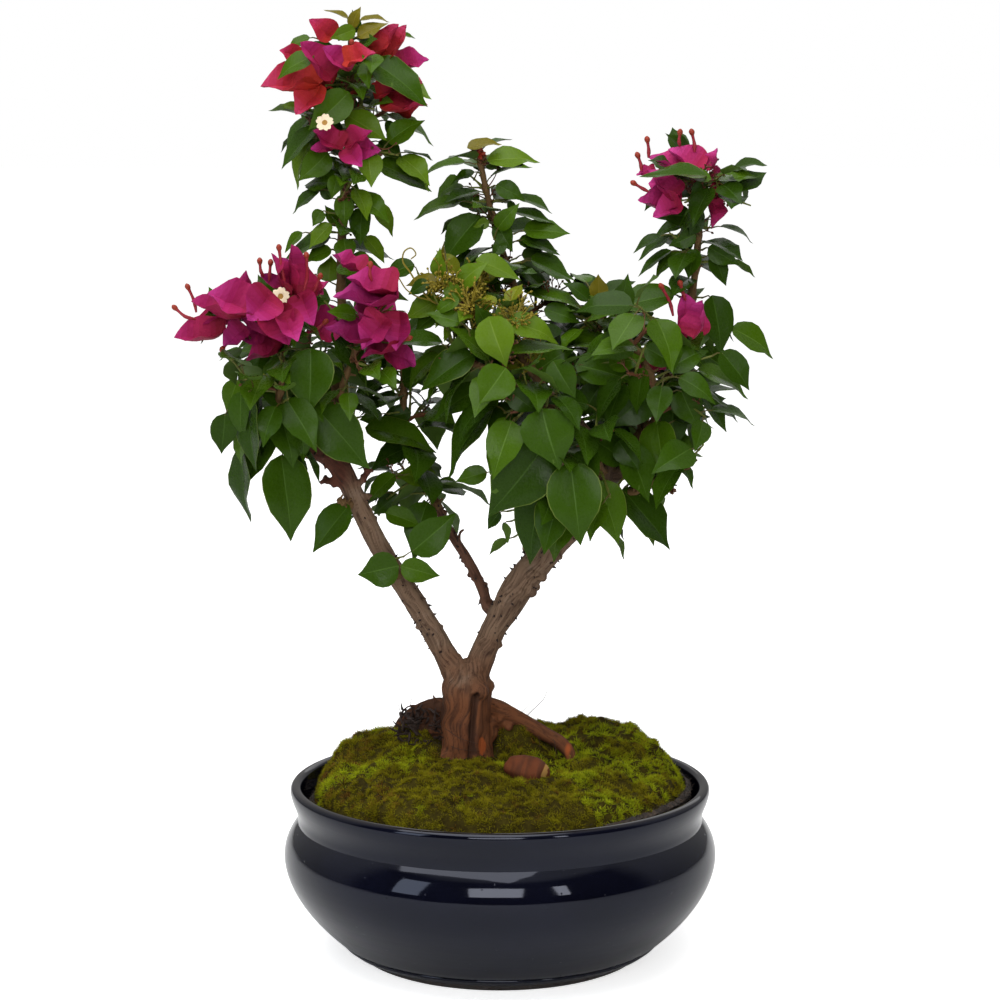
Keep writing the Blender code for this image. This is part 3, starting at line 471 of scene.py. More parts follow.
class Tint(Enum):
    """Greens of the leaves, each with the colour of its blade and of its rib."""
    DEEP = ((0.0195, 0.0465, 0.0022), (0.036, 0.078, 0.008))
    FOREST = ((0.0275, 0.0640, 0.0024), (0.048, 0.100, 0.010))
    MIDDLE = ((0.0425, 0.0910, 0.0028), (0.068, 0.130, 0.012))
    FRESH = ((0.0800, 0.1420, 0.0060), (0.115, 0.180, 0.016))
    YOUNG = ((0.1300, 0.1500, 0.0070), (0.180, 0.190, 0.016))
    OLIVE = ((0.1250, 0.1050, 0.0070), (0.170, 0.135, 0.014))

    @property
    def blade(self) -> Tissue:
        """Finish of the upper side."""
        return Tissue("leaf_" + self.name.lower(), self.value[0], 0.28, shine=0.09)

    @property
    def rib(self) -> Tissue:
        """Finish of the midrib."""
        return Tissue("rib_" + self.name.lower(), self.value[1], 0.45, shine=0.13)


class Bloom(Enum):
    """Colours of the bracts, each at the foot, in the middle and at the tip."""
    MAGENTA = ((0.250, 0.010, 0.042), (0.340, 0.016, 0.105), (0.430, 0.034, 0.200))
    PINK = ((0.320, 0.014, 0.062), (0.440, 0.030, 0.155), (0.560, 0.065, 0.280))
    CRIMSON = ((0.200, 0.007, 0.024), (0.280, 0.010, 0.060), (0.350, 0.019, 0.120))
    SCARLET = ((0.330, 0.022, 0.013), (0.370, 0.020, 0.034), (0.420, 0.034, 0.100))
    PLUM = ((0.210, 0.008, 0.050), (0.280, 0.013, 0.100), (0.340, 0.028, 0.170))
    RUBY = ((0.260, 0.013, 0.011), (0.320, 0.014, 0.036), (0.380, 0.024, 0.090))

    def tone(self, share: float) -> Tissue:
        """Finish of the papery sheet at a share of its length.

        Args:
            share: 0 at the bract's foot and 1 at its tip.

        Returns:
            The finish, one of a few steps.
        """
        number = min(TONES - 1, int(share * TONES))
        at = 2.0 * number / (TONES - 1)
        low, high = self.value[:2] if at < 1.0 else self.value[1:]
        part = at if at < 1.0 else at - 1.0
        colour = tuple(near + (far - near) * part for near, far in zip(low, high))
        return Tissue(f"bract_{self.name.lower()}_{number}", colour, 0.62, 420.0, 0.0005, 0.10)


UNDERSIDE = Tissue("leaf_underside", (0.060, 0.110, 0.014), 0.62, shine=0.1)
MARGIN = Tissue("leaf_margin", (0.085, 0.125, 0.010), 0.5)
STALK = Tissue("leaf_stalk", (0.080, 0.070, 0.012), 0.5)
STEM = Tissue("old_stem", (0.120, 0.066, 0.024), 0.75, grain=900.0, relief=0.0006)
SHOOT = Tissue("red_shoot", (0.120, 0.045, 0.020), 0.6, grain=900.0, relief=0.0003)
GREEN_SHOOT = Tissue("green_shoot", (0.115, 0.130, 0.022), 0.55, relief=0.0002)
THORN = Tissue("thorn", (0.022, 0.012, 0.009), 0.6, relief=0.0003)
FIBRE = Tissue("root_fibre", (0.045, 0.022, 0.012), 0.8, relief=0.0002)
SPRAY = Tissue("yellow_spray", (0.215, 0.165, 0.014), 0.6, relief=0.0002)
BUD_TUBE = Tissue("bud_tube", (0.260, 0.016, 0.028), 0.5, relief=0.0003)
BUD_TIP = Tissue("bud_tip", (0.260, 0.030, 0.014), 0.5, relief=0.0004)
SEED_TIP = Tissue("dry_tip", (0.090, 0.035, 0.014), 0.6, relief=0.0003)
PETAL = Tissue("cream_petal", (0.780, 0.640, 0.450), 0.55, relief=0.0002)
THROAT = Tissue("brown_throat", (0.330, 0.170, 0.030), 0.6, relief=0.0002)


class Finishes:
    """Makes the material of each finish once."""

    def __init__(self) -> None:
        """Start with none."""
        self.made: dict[object, bpy.types.Material] = {}

    def get(self, finish: object) -> bpy.types.Material:
        """The material of a finish.

        Args:
            finish: what the material is made from.

        Returns:
            Its material.
        """
        if finish not in self.made:
            self.made[finish] = finish.make()
        return self.made[finish]


FINISHES = Finishes()


# Meshes

class Sheaf:
    """Gathers many small meshes, each face with its finish, into one piece."""

    def __init__(self) -> None:
        """Start empty."""
        self.points: list[np.ndarray] = []
        self.faces: list[list[int]] = []
        self.slots: list[int] = []
        self.finishes: list[object] = []
        self.count = 0

    def slot(self, finish: object) -> int:
        """The slot of a finish, added when new.

        Args:
            finish: the finish to look for.

        Returns:
            Its number in the piece.
        """
        if finish not in self.finishes:
            self.finishes.append(finish)
        return self.finishes.index(finish)

    def add(self, points: object, faces: list, finish: object) -> None:
        """Add a mesh.

        Args:
            points: its corners.
            faces: its faces, as numbers of corners.
            finish: one finish for all, or a list with one for each face.
        """
        places = np.array([tuple(place) for place in points], float)
        self.points.append(places)
        self.faces += [[corner + self.count for corner in face] for face in faces]
        several = finish if isinstance(finish, list) else [finish] * len(faces)
        self.slots += [self.slot(one) for one in several]
        self.count += len(places)

    def tube(self, path: list, radii: list, sides: int, finish: object) -> None:
        """Add a tube along a path."""
        self.add(*tube_mesh(path, radii, sides), finish)

    def build(self, name: str, crease: float = 60.0) -> bpy.types.Object:
        """Make the piece.

        Args:
            name: the piece's name.
            crease: edges sharper than this many degrees stay sharp.

        Returns:
            The linked object, smooth shaded.
        """
        data = bpy.data.meshes.new(name)
        data.from_pydata(np.concatenate(self.points).tolist(), [], self.faces)
        for finish in self.finishes:
            data.materials.append(FINISHES.get(finish))
        data.polygons.foreach_set("material_index", np.array(self.slots, np.int32))
        return finished(name, data, crease)


def finished(name: str, data: bpy.types.Mesh, crease: float = 60.0) -> bpy.types.Object:
    """Link a smooth shaded object for a mesh.

    Args:
        name: the piece's name.
        data: its mesh, in place.
        crease: edges sharper than this many degrees stay sharp.

    Returns:
        The object.
    """
    data.shade_smooth()
    data.set_sharp_from_angle(angle=math.radians(crease))
    data.name = name
    made = bpy.data.objects.new(name, data)
    bpy.context.scene.collection.objects.link(made)
    return made


def baked(thing: bpy.types.Object) -> bpy.types.Mesh:
    """A plain mesh of an object with its modifiers carried out, after which they are removed.

    Args:
        thing: the object.

    Returns:
        The mesh, which no object holds yet.
    """
    graph = bpy.context.evaluated_depsgraph_get()
    data = bpy.data.meshes.new_from_object(thing.evaluated_get(graph))
    thing.modifiers.clear()
    return data


def coat(data: bpy.types.Mesh, finish: object) -> None:
    """Give a whole mesh one finish.

    Args:
        data: the mesh.
        finish: its only finish.
    """
    data.materials.clear()
    data.materials.append(FINISHES.get(finish))
    data.polygons.foreach_set("material_index", np.zeros(len(data.polygons), np.int32))


def hand_over(piece: bpy.types.Object, slot: str, *nodes: str) -> None:
    """Fix a piece to the body and hide the solids that it stands for.

    Args:
        piece: the finished piece.
        slot: name of its material slot; not used.
        nodes: names of the solids.
    """
    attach(piece, BODY)
    if nodes:
        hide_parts(*nodes)
    LOG.info("%s: %d faces", piece.name, len(piece.data.polygons))


def corners_of(data: bpy.types.Mesh, what: str = "co") -> np.ndarray:
    """Places or normals of a mesh's corners, as rows.

    Args:
        data: the mesh.
        what: co for places, anything else for normals.

    Returns:
        One row of three numbers for each corner.
    """
    values = np.empty(len(data.vertices) * 3, np.float32)
    if what == "co":
        data.vertices.foreach_get("co", values)
    else:
        data.vertex_normals.foreach_get("vector", values)
    return values.reshape(-1, 3).astype(float)


def carry(data: bpy.types.Mesh, name: str, values: np.ndarray) -> None:
    """Give each corner of a mesh a number under a name."""
    layer = data.attributes.new(name, "FLOAT", "POINT")
    layer.data.foreach_set("value", values.astype(np.float32))


# Routes and tubes

def smooth_route(route: list, steps: int, way: Vector | None = None) -> list:
    """Points along a smooth curve through a route.

    Args:
        route: the places it passes.
        steps: points between two places.
        way: the way in which it sets out, if that is given.

    Returns:
        The points.
    """
    last = len(route) - 1
    result = []
    for span in range(last):
        start = route[span]
        end = route[span + 1]
        before = route[span - 1] if span > 0 else start * 2.0 - end
        if way and span == 0:
            before = end - way * (end - start).length * 2.0
        after = route[span + 2] if span + 2 <= last else end * 2.0 - start
        for step in range(steps):
            t = step / steps
            bend = (before * -1.0 + start * 3.0 - end * 3.0 + after) * t ** 3
            curve = (before * 2.0 - start * 5.0 + end * 4.0 - after) * t ** 2
            slope = (end - before) * t
            result.append(start + (bend + curve + slope) * 0.5)
    result.append(route[last])
    return result


def lead_route(route: list, steps: int, way: Vector | None) -> list:
    """A smooth route with a short straight lead that stands square on its seat.

    Args:
        route: the places it passes, the first on the seat.
        steps: points between two places.
        way: the seat's normal, or None where there is no lead.

    Returns:
        The points.
    """
    if not way:
        return smooth_route(route, steps)
    return [route[0]] + smooth_route([route[0] + way * LEAD] + route[1:], steps, way)


def spread(values: list, count: int) -> list:
    """Values at count even places along a list of a few of them."""
    places = np.linspace(0.0, len(values) - 1.0, count)
    return list(np.interp(places, range(len(values)), values))


def along_at(path: list, share: float) -> tuple[Vector, int]:
    """The place at a share of a path, and the number of the point before it.

    Args:
        path: the points of the path.
        share: 0 at its start and 1 at its end.

    Returns:
        The place and the number.
    """
    place = share * (len(path) - 1)
    low = min(int(place), len(path) - 2)
    return path[low].lerp(path[low + 1], place - low), low


def directions(path: list) -> list:
    """Unit direction at each point of a path."""
    ends = zip(path[1:] + path[-1:], path[:1] + path[:-1])
    return [(ahead - behind).normalized() for ahead, behind in ends]


def band(low: int, sides: int) -> list:
    """Faces of a closed band from the ring of corners that starts at low to the next ring.

    Args:
        low: number of the first corner.
        sides: corners in a ring.

    Returns:
        The faces.
    """
    ends = [(low + corner, low + (corner + 1) % sides) for corner in range(sides)]
    return [[start, after, sides + after, sides + start] for start, after in ends]


def tube_mesh(path: list, radii: list, sides: int) -> tuple[list, list]:
    """A tube along a path, closed by flat ends.

    Args:
        path: its middle line.
        radii: its radius at each point.
        sides: corners round it.

    Returns:
        Points and faces.
    """
    along = directions(path)
    side = along[0].orthogonal().normalized()
    points = []
    for index, centre in enumerate(path):
        side = (side - along[index] * side.dot(along[index])).normalized()
        across = along[index].cross(side)
        for corner in range(sides):
            angle = 2.0 * math.pi * corner / sides
            points.append(centre + (side * math.cos(angle) + across * math.sin(angle)) * radii[index])
    faces = [list(range(sides))[::-1]]
    for ring in range(len(path) - 1):
        faces += band(ring * sides, sides)
    faces.append(list(range(len(points) - sides, len(points))))
    return points, faces


# Things strewn over a surface

class Strewer:
    """Geometry Nodes that strew copies of a unit over a host's surface."""

    def __init__(self) -> None:
        """Build the tree with its named inputs."""
        self.tree = bpy.data.node_groups.new("strew_over_surface", "GeometryNodeTree")
        self.sockets = {}
        self._input("Host", "NodeSocketGeometry")
        for name in ("Unit", "Zone", "Density", "Smallest", "Largest", "Tilt", "Seed", "Finish"):
            kinds = {"Unit": "Object", "Zone": "String", "Seed": "Int", "Finish": "Material"}
            self._input(name, "NodeSocket" + kinds.get(name, "Float"))
        self.tree.interface.new_socket(name="Strewn", in_out="OUTPUT", socket_type="NodeSocketGeometry")
        self._wire(Graph(self.tree))

    def _input(self, name: str, kind: str) -> None:
        """Add a named input."""
        made = self.tree.interface.new_socket(name=name, in_out="INPUT", socket_type=kind)
        self.sockets[name] = made.identifier

    def _wire(self, graph: Graph) -> None:
        """Lay out the nodes: scatter, turn, size, realize and finish.

        Args:
            graph: the tree to fill.
        """
        given = graph.node("NodeGroupInput", output="Host")
        named = "GeometryNodeInputNamedAttribute"
        zone = graph.node(named, {"data_type": "FLOAT"}, {"Name": given.of("Zone")})
        points = graph.node("GeometryNodeDistributePointsOnFaces", {}, {
            "Mesh": given, "Density": zone * given.of("Density"), "Seed": given.of("Seed")})
        tilt = given.of("Tilt")
        low = graph.node("ShaderNodeCombineXYZ", sockets={0: 0 - tilt, 1: 0 - tilt, 2: 0.0})
        high = graph.node("ShaderNodeCombineXYZ", sockets={0: tilt, 1: tilt, 2: 2.0 * math.pi})
        turn = graph.node("FunctionNodeRandomValue", {"data_type": "FLOAT_VECTOR"}, {
            0: low, 1: high, "Seed": given.of("Seed")})
        euler = graph.node("FunctionNodeEulerToRotation", {}, {0: turn})
        pose = graph.node("FunctionNodeRotateRotation", {"rotation_space": "LOCAL"}, {
            0: points.of("Rotation"), 1: euler})
        size = graph.node("FunctionNodeRandomValue", {"data_type": "FLOAT"}, {
            2: given.of("Smallest"), 3: given.of("Largest"), "Seed": given.of("Seed") + 1}, 1)
        unit = graph.node("GeometryNodeObjectInfo", {}, {"Object": given.of("Unit")}, "Geometry")
        copies = graph.node("GeometryNodeInstanceOnPoints", {}, {
            "Points": points, "Instance": unit, "Rotation": pose, "Scale": size})
        real = graph.node("GeometryNodeRealizeInstances", {}, {0: copies})
        dressed = graph.node("GeometryNodeSetMaterial", {}, {
            "Geometry": real, "Material": given.of("Finish")})
        end = graph.tree.nodes.new("NodeGroupOutput")
        graph.feed(end.inputs[0], dressed)

    def strew(self, name: str, host: bpy.types.Object, unit: bpy.types.Object,
              finish: object, **inputs: object) -> bpy.types.Object:
        """Strew a unit over a host and keep the result as a piece.

        Args:
            name: the new piece's name.
            host: the object whose surface carries the copies.
            unit: the object that is copied.
            finish: the copies' finish.
            inputs: the tree's other inputs by name.

        Returns:
            The new piece, a plain mesh.
        """
        change = host.modifiers.new("strew", "NODES")
        change.node_group = self.tree
        given = {"Unit": unit, "Finish": FINISHES.get(finish), **inputs}
        for title, value in given.items():
            change[self.sockets[title]] = value
        data = baked(host)
        coat(data, finish)
        return finished(name, data, 180.0)


# Pot

@dataclass
class Pot:
    """Turned bowl of dark glazed stoneware on a bare foot."""
    belly_radius: float = 0.1200
    belly_height: float = 0.0562
    foot_radius: float = 0.0771
    belly_curve: float = 1.87
    neck_radius: float = 0.1123
    neck_height: float = 0.0752
    neck_band: float = 0.0025
    shoulder_curve: float = 2.15
    rim_radius: float = 0.1163
    rim_height: float = 0.0930
    lip_radius: float = 0.0032
    wall: float = 0.0058
    floor: float = 0.0090
    bare: float = 0.0086
    bead: float = 0.00035
    glaze_lap: float = 0.003
    foot_lap: float = 0.004
    foot_edge: float = 0.0011
    foot_inset: float = 0.00025
    sides: int = 192

    def belly(self, height: float) -> float:
        """Outer radius below the widest line."""
        rest = max(0.0, 1.0 - height / self.belly_height)
        return self.belly_radius - (self.belly_radius - self.foot_radius) * rest ** self.belly_curve

    def shoulder(self, share: float) -> tuple[float, float]:
        """Outer radius and height from the widest line, at 0, to the neck, at 1."""
        fall = (self.belly_radius - self.neck_radius) * share ** self.shoulder_curve
        return self.belly_radius - fall, self.belly_height + (self.neck_height - self.belly_height) * share

    def rim(self) -> list:
        """Profile of the rolled rim, from the neck over the lip to its inner side.

        Returns:
            Pairs of radius and height.
        """
        low = self.neck_height + self.neck_band
        profile = [(self.neck_radius + 0.0001, low - 0.5 * self.neck_band)]
        for share in np.linspace(0.0, 1.0, 12):
            swell = (self.rim_radius - self.neck_radius) * float(ease(0.0, 1.0, share))
            profile.append((self.neck_radius + swell, low + (self.rim_height - low) * share))
        for angle in np.linspace(0.0, math.pi, 13)[1:]:
            radius = self.rim_radius - self.lip_radius * (1.0 - math.cos(angle))
            profile.append((radius, self.rim_height + self.lip_radius * math.sin(angle)))
        return profile

    def inside(self) -> list:
        """Profile of the cavity from under the lip to the middle of its floor.

        Returns:
            Pairs of radius and height.
        """
        profile = [(self.shoulder(share)[0] - self.wall, self.shoulder(share)[1]) for share in (1.0, 0.5)]
        for height in np.linspace(self.belly_height, self.floor + 0.004, 8):
            profile.append((self.belly(height) - self.wall, height))
        return profile + [(profile[-1][0] - 0.006, self.floor), (0.0, self.floor)]

    def glazed(self) -> list:
        """Profile of the glazed body, whose glaze ends in a bead above the bare foot.

        Returns:
            Pairs of radius and height.
        """
        start = self.bare
        under = start - self.glaze_lap
        profile = [(0.0, under), (self.belly(start) - self.glaze_lap, under),
                   (self.belly(start) - 0.0004, start - 0.0006)]
        for angle in np.linspace(-0.4 * math.pi, 0.3 * math.pi, 6):
            swell, climb = self.bead * math.cos(angle), 2.0 * self.bead * math.sin(angle)
            profile.append((self.belly(start) + swell, start + climb))
        for share in np.linspace(0.06, 1.0, 34):
            height = start + (self.belly_height - start) * share
            profile.append((self.belly(height), height))
        profile += [self.shoulder(share) for share in np.linspace(0.0, 1.0, 15)[1:]]
        return profile + self.rim() + self.inside()

    def foot(self) -> list:
        """Profile of the bare foot, flat underneath, with its edge rounded.

        Returns:
            Pairs of radius and height.
        """
        profile = [(0.0, 0.0), (self.foot_radius - self.foot_edge, 0.0), (self.foot_radius - 0.0004, 0.0003)]
        for height in np.linspace(self.foot_edge, self.bare, 7):
            profile.append((self.belly(height) - self.foot_inset, height))
        return profile + [(self.belly(self.bare) - self.foot_lap, self.bare), (0.0, self.bare)]

    def turned(self, name: str, profile: list, finish: object) -> bpy.types.Object:
        """Turn a profile of radius and height, from the axis to the axis, round Z.

        Args:
            name: the piece's name.
            profile: pairs of radius and height.
            finish: the piece's finish.

        Returns:
            The piece.
        """
        ring = 2.0 * np.pi * np.arange(self.sides) / self.sides
        points = [(0.0, 0.0, profile[0][1]), (0.0, 0.0, profile[-1][1])]
        for radius, height in profile[1:-1]:
            points += list(zip(radius * np.cos(ring), radius * np.sin(ring), np.full(self.sides, height)))
        faces = []
        last = 2 + (len(profile) - 3) * self.sides
        for corner in range(self.sides):
            after = (corner + 1) % self.sides
            faces += [[0, 2 + after, 2 + corner], [1, last + corner, last + after]]
        for low in range(2, last, self.sides):
            faces += band(low, self.sides)
        sheaf = Sheaf()
        sheaf.add(points, faces, finish)
        return sheaf.build(name, 40.0)

    def build(self) -> None:
        """Build and dress the pot."""
        hand_over(self.turned("pot_body", self.glazed(), Glaze()), "pot_glaze", "pot")
        hand_over(self.turned("foot_ring", self.foot(), Clay()), "foot_clay")


# Moss bed

# Humps and hollows of the moss: middle across and back, spread and height in millimetres
HUMPS = [(-52, 14, 24, 8), (-80, 34, 20, 7), (56, 30, 26, 9), (84, 34, 22, 9), (94, 8, 16, 5),
         (14, -42, 13, -3.5), (12, 3, 13, 15), (3, 7, 9, 9), (-38, 3, 10, 7), (-50, 12, 10, 4),
         (-91, 12, 17, 12)]

# Middle of the bare ground round the root knob, in metres
KNOB_HOLLOW = (0.014, -0.034)

# Where the three corners of a spike of moss stand round it, in radians
SPIKE_CORNERS = (0.0, 2.0944, 4.1888)


@dataclass
class MossBed:
    """Soil and moss that fill the pot, with tufts in four tints strewn over them."""
    radius: float = 0.1020
    edge: float = 0.0885
    rise: float = 0.0215
    back_rise: float = 0.0045
    soil_level: float = 0.0865
    soil_radius: float = 0.1062
    bank: float = 0.0085
    lumps: int = 26
    lump_seed: int = 7
    lump_spread: float = 0.016
    lump_heights: tuple = (-0.0016, 0.0022)
    rings: int = 96
    sides: int = 288
    cushion: float = 0.0110
    small_cushion: float = 0.0058
    small_seed: int = 19
    cushion_depth: float = 0.0058
    broad: float = 0.030
    broad_depth: float = 0.0022
    soil_grain: float = 0.003
    soil_depth: float = 0.0007
    tuft_seed: int = 31
    tuft_size: float = 0.0028
    crumb_size: float = 0.0016
    spikes: int = 9

    def lump_places(self) -> list:
        """Centres and heights of the lumps.

        Returns:
            Across, back and height of each, in metres.
        """
        rng = random.Random(self.lump_seed)
        places = []
        for _ in range(self.lumps):
            angle = rng.uniform(0.0, 2.0 * math.pi)
            away = self.radius * math.sqrt(rng.random())
            places.append((away * math.cos(angle), away * math.sin(angle), rng.uniform(*self.lump_heights)))
        return places

    def height(self, x: np.ndarray, y: np.ndarray) -> np.ndarray:
        """Height of the moss at places in the bed.

        Args:
            x: places across.
            y: places to the back.

        Returns:
            A height for each place.
        """
        share = np.clip(np.hypot(x, y) / self.radius, 0.0, 1.0)
        dome = (1.0 - share ** 5.0) ** 0.5
        height = self.edge + self.rise * dome + self.back_rise * ease(-0.02, 0.06, y) * dome
        for lump_x, lump_y, lump in self.lump_places():
            distance = np.hypot(x - lump_x, y - lump_y) / self.lump_spread
            height += lump * np.exp(-distance * distance) * dome
        for hump_x, hump_y, spread_out, hump in HUMPS:
            distance = np.hypot(x - hump_x * MM, y - hump_y * MM) / (spread_out * MM)
            height += hump * MM * np.exp(-distance * distance) * (1.0 - share ** 9)
        flat = np.stack([x, y, np.zeros_like(x)], axis=1)
        small = np.abs(lattice_noise(flat / self.small_cushion, self.small_seed))
        cushions = np.abs(lattice_noise(flat / self.cushion, 3)) ** 0.7 + 0.40 * small
        broad = lattice_noise(flat / self.broad, 6)
        relief = (cushions - 0.52) * self.cushion_depth + broad * self.broad_depth
        return height + relief * np.minimum(1.0, dome * 1.6) - 0.0008

    def zones(self, places: np.ndarray) -> dict:
        """How much of each tint, and of bare soil, grows at places of the bed.

        Args:
            places: the mound's corners.

        Returns:
            A share from 0 to 1 for each zone's name.
        """
        x, y, z = places.T
        flat = np.stack([x, y, z], axis=1)
        broad = lattice_noise(flat / 0.024, 11) + 0.5 * lattice_noise(flat / 0.010, 12)
        fine = lattice_noise(flat / 0.006, 13)
        front = ease(0.0, 0.05, x) * (1.0 - ease(-0.02, 0.05, y)) * 0.5
        bright = ease(0.05, 0.75, broad + 0.35 * fine + front)
        patches = lattice_noise(flat / 0.020, 17) + 0.5 * fine
        brown = ease(0.35, 0.95, patches + 0.35 * ease(0.03, 0.08, -x) - front)
        rim = ease(self.radius * 0.985, self.radius * 1.012, np.hypot(x, y))
        trunk = 1.0 - ease(0.017, 0.024, np.hypot(x - TRUNK_PLACE[0], y - TRUNK_PLACE[1]))
        knob = 1.0 - ease(0.010, 0.0125, np.hypot(x - KNOB_HOLLOW[0], (y - KNOB_HOLLOW[1]) * 1.2))
        small = np.abs(lattice_noise(flat / self.small_cushion, self.small_seed))
        # Fewer tufts in the hollows between the small cushions, so the dark ground, partly painted shade,
        # shows there
        clump = 0.12 + 0.88 * ease(0.10, 0.34, small)
        cover = (1.0 - rim) * (1.0 - trunk) * (1.0 - knob) * clump
        middle = 1.0 - np.abs(bright - 0.45) * 1.4
        return {
            "bright": bright * (1.0 - 0.75 * brown) * cover,
            "olive": np.clip(middle, 0.1, 1.0) * (1.0 - 0.45 * brown) * cover,
            "dull": (1.0 - bright) * cover,
            "brown": np.clip(brown + 0.06, 0.0, 1.0) * cover,
            "soil": np.clip(rim + 0.5 * trunk + 0.25 * brown, 0.0, 1.0),
        }

    def mound(self) -> bpy.types.Object:
        """The ground under the tufts, closed down to the soil inside the pot.

        Returns:
            The piece, which carries the share of each zone.
        """
        shares = np.sin(0.5 * np.pi * np.arange(1, self.rings + 1) / self.rings)
        ring = 2.0 * np.pi * np.arange(self.sides) / self.sides
        levels = [(self.radius * share, None) for share in shares]
        levels += [(self.radius + 0.0012, self.soil_level + 0.0006),
                   (0.5 * (self.radius + self.soil_radius), self.soil_level),
                   (self.soil_radius, self.soil_level - 0.0012),
                   (self.soil_radius - 0.002, self.soil_level - 0.006)]
        rows = [np.array([[0.0, 0.0, float(self.height(np.zeros(1), np.zeros(1))[0])]])]
        for radius, level in levels:
            x, y = radius * np.cos(ring), radius * np.sin(ring)
            grain = self.soil_depth * lattice_noise(np.stack([x, y, y], axis=1) / self.soil_grain, 21)
            banked = self.bank * ease(0.0, 0.08, x)
            height = self.height(x, y) if level is None else level + grain + banked
            rows.append(np.stack([x, y, height], axis=1))
        points = np.concatenate(rows)
        faces = [[0, 1 + corner, 1 + (corner + 1) % self.sides] for corner in range(self.sides)]
        for low in range(1, len(points) - self.sides, self.sides):
            faces += [[first, *others[::-1]] for first, *others in band(low, self.sides)]
        faces.append(list(range(len(points) - self.sides, len(points)))[::-1])
        sheaf = Sheaf()
        outside = np.hypot(points[:, 0], points[:, 1]) > self.radius
        # Inside the rim the dark moss ground, partly painted shade between the tufts; soil beyond it
        sheaf.add(points, faces, [Soil() if all(outside[face]) else MOSS_GROUND_AND_SHADE for face in faces])
        mound = sheaf.build("moss_mound", 80.0)
        for name, share in self.zones(corners_of(mound.data)).items():
            carry(mound.data, name, share)
        return mound

    def tuft(self, name: str, spikes: int, long: float, lean: float, seed: int) -> bpy.types.Object:
        """One tuft of three-sided spikes that lean outwards.

        Args:
            name: the unit's name.
            spikes: how many it has.
            long: their length in metres.
            lean: how far the outer ones lean, in radians.
            seed: chooses their places.

        Returns:
            The unit.
        """
        rng = random.Random(seed)
        sheaf = Sheaf()
        for index in range(spikes):
            turn = index * GOLDEN_ANGLE
            tilt = lean * math.sqrt((index + 0.3) / spikes) * rng.uniform(0.8, 1.2)
            way = Vector((math.sin(tilt) * math.cos(turn), math.sin(tilt) * math.sin(turn), math.cos(tilt)))
            start = Vector((way.x, way.y, -0.35)) * long * 0.35
            side = way.orthogonal().normalized()
            across = way.cross(side)
            thick = long * 0.110
            ring = [start + (side * math.cos(angle) + across * math.sin(angle)) * thick
                    for angle in SPIKE_CORNERS]
            tip = start + way * long * rng.uniform(0.8, 1.25)
            sheaf.add(ring + [tip], [[0, 1, 3], [1, 2, 3], [2, 0, 3], [2, 1, 0]], MOSS_GROUND_AND_SHADE)
        return sheaf.build(name, 180.0)

    def build(self, strewer: Strewer) -> None:
        """Build and dress the bed.

        Args:
            strewer: strews the tufts and crumbs.
        """
        mound = self.mound()
        unit = self.tuft("tuft", self.spikes, self.tuft_size, 1.25, self.tuft_seed)
        seeds = itertools.count(self.tuft_seed)
        pieces = []
        for zone, finish, density, largest in TUFTS:
            pieces.append(strewer.strew("tufts_" + zone, mound, unit, finish, Zone=zone, Density=density,
                                        Smallest=0.6, Largest=largest, Tilt=0.35, Seed=next(seeds)))
        crumb = self.tuft("crumb", 3, self.crumb_size, 1.5, 5)
        pieces.append(strewer.strew("soil_crumbs", mound, crumb, Soil(), Zone="soil", Density=240e3,
                                    Smallest=0.5, Largest=1.5, Tilt=1.5, Seed=next(seeds)))
        for unit_object in (unit, crumb):
            bpy.data.objects.remove(unit_object)
        hand_over(mound, "moss", "moss_bed")
        for piece in pieces:
            hand_over(piece, "soil" if piece.name == "soil_crumbs" else "moss")


# Dark ground of the moss: partly its brown lower layer, partly painted shade between the tufts
MOSS_GROUND_AND_SHADE = Cushion("moss_ground", (0.045, 0.036, 0.004), (0.014, 0.009, 0.002))
MOSS_BRIGHT = Cushion("moss_bright", (0.330, 0.380, 0.010), (0.180, 0.210, 0.005))
MOSS_OLIVE = Cushion("moss_olive", (0.250, 0.225, 0.007), (0.110, 0.100, 0.003))
MOSS_DULL = Cushion("moss_dull", (0.200, 0.170, 0.007), (0.095, 0.078, 0.003))
MOSS_BROWN = Cushion("moss_brown", (0.190, 0.100, 0.014), (0.080, 0.036, 0.006))

# Tufts: zone, finish, how many on a square metre, and the largest scale
TUFTS = [
    ("bright", MOSS_BRIGHT, 210e3, 1.15),
    ("olive", MOSS_OLIVE, 190e3, 1.1),
    ("dull", MOSS_DULL, 190e3, 1.05),
    ("brown", MOSS_BROWN, 150e3, 1.0),
]


# Wood

LEAD = 1.2 * MM
SEARCH = 0.0600
LOWEST_BARK = 0.1040
KNOB_PLACE = (0.0142, -0.0365, 0.1108)
KNOB_SIZE = (0.0130, 0.0090, 0.0080)
KNOB_TILT = math.radians(10.0)
KNOB_TURN = math.radians(-14.0)
KNOB_BARK = Bark(red=(0.125, 0.036, 0.014), torn=(0.36, 0.20, 0.06), turn=(0.5, 0.6))

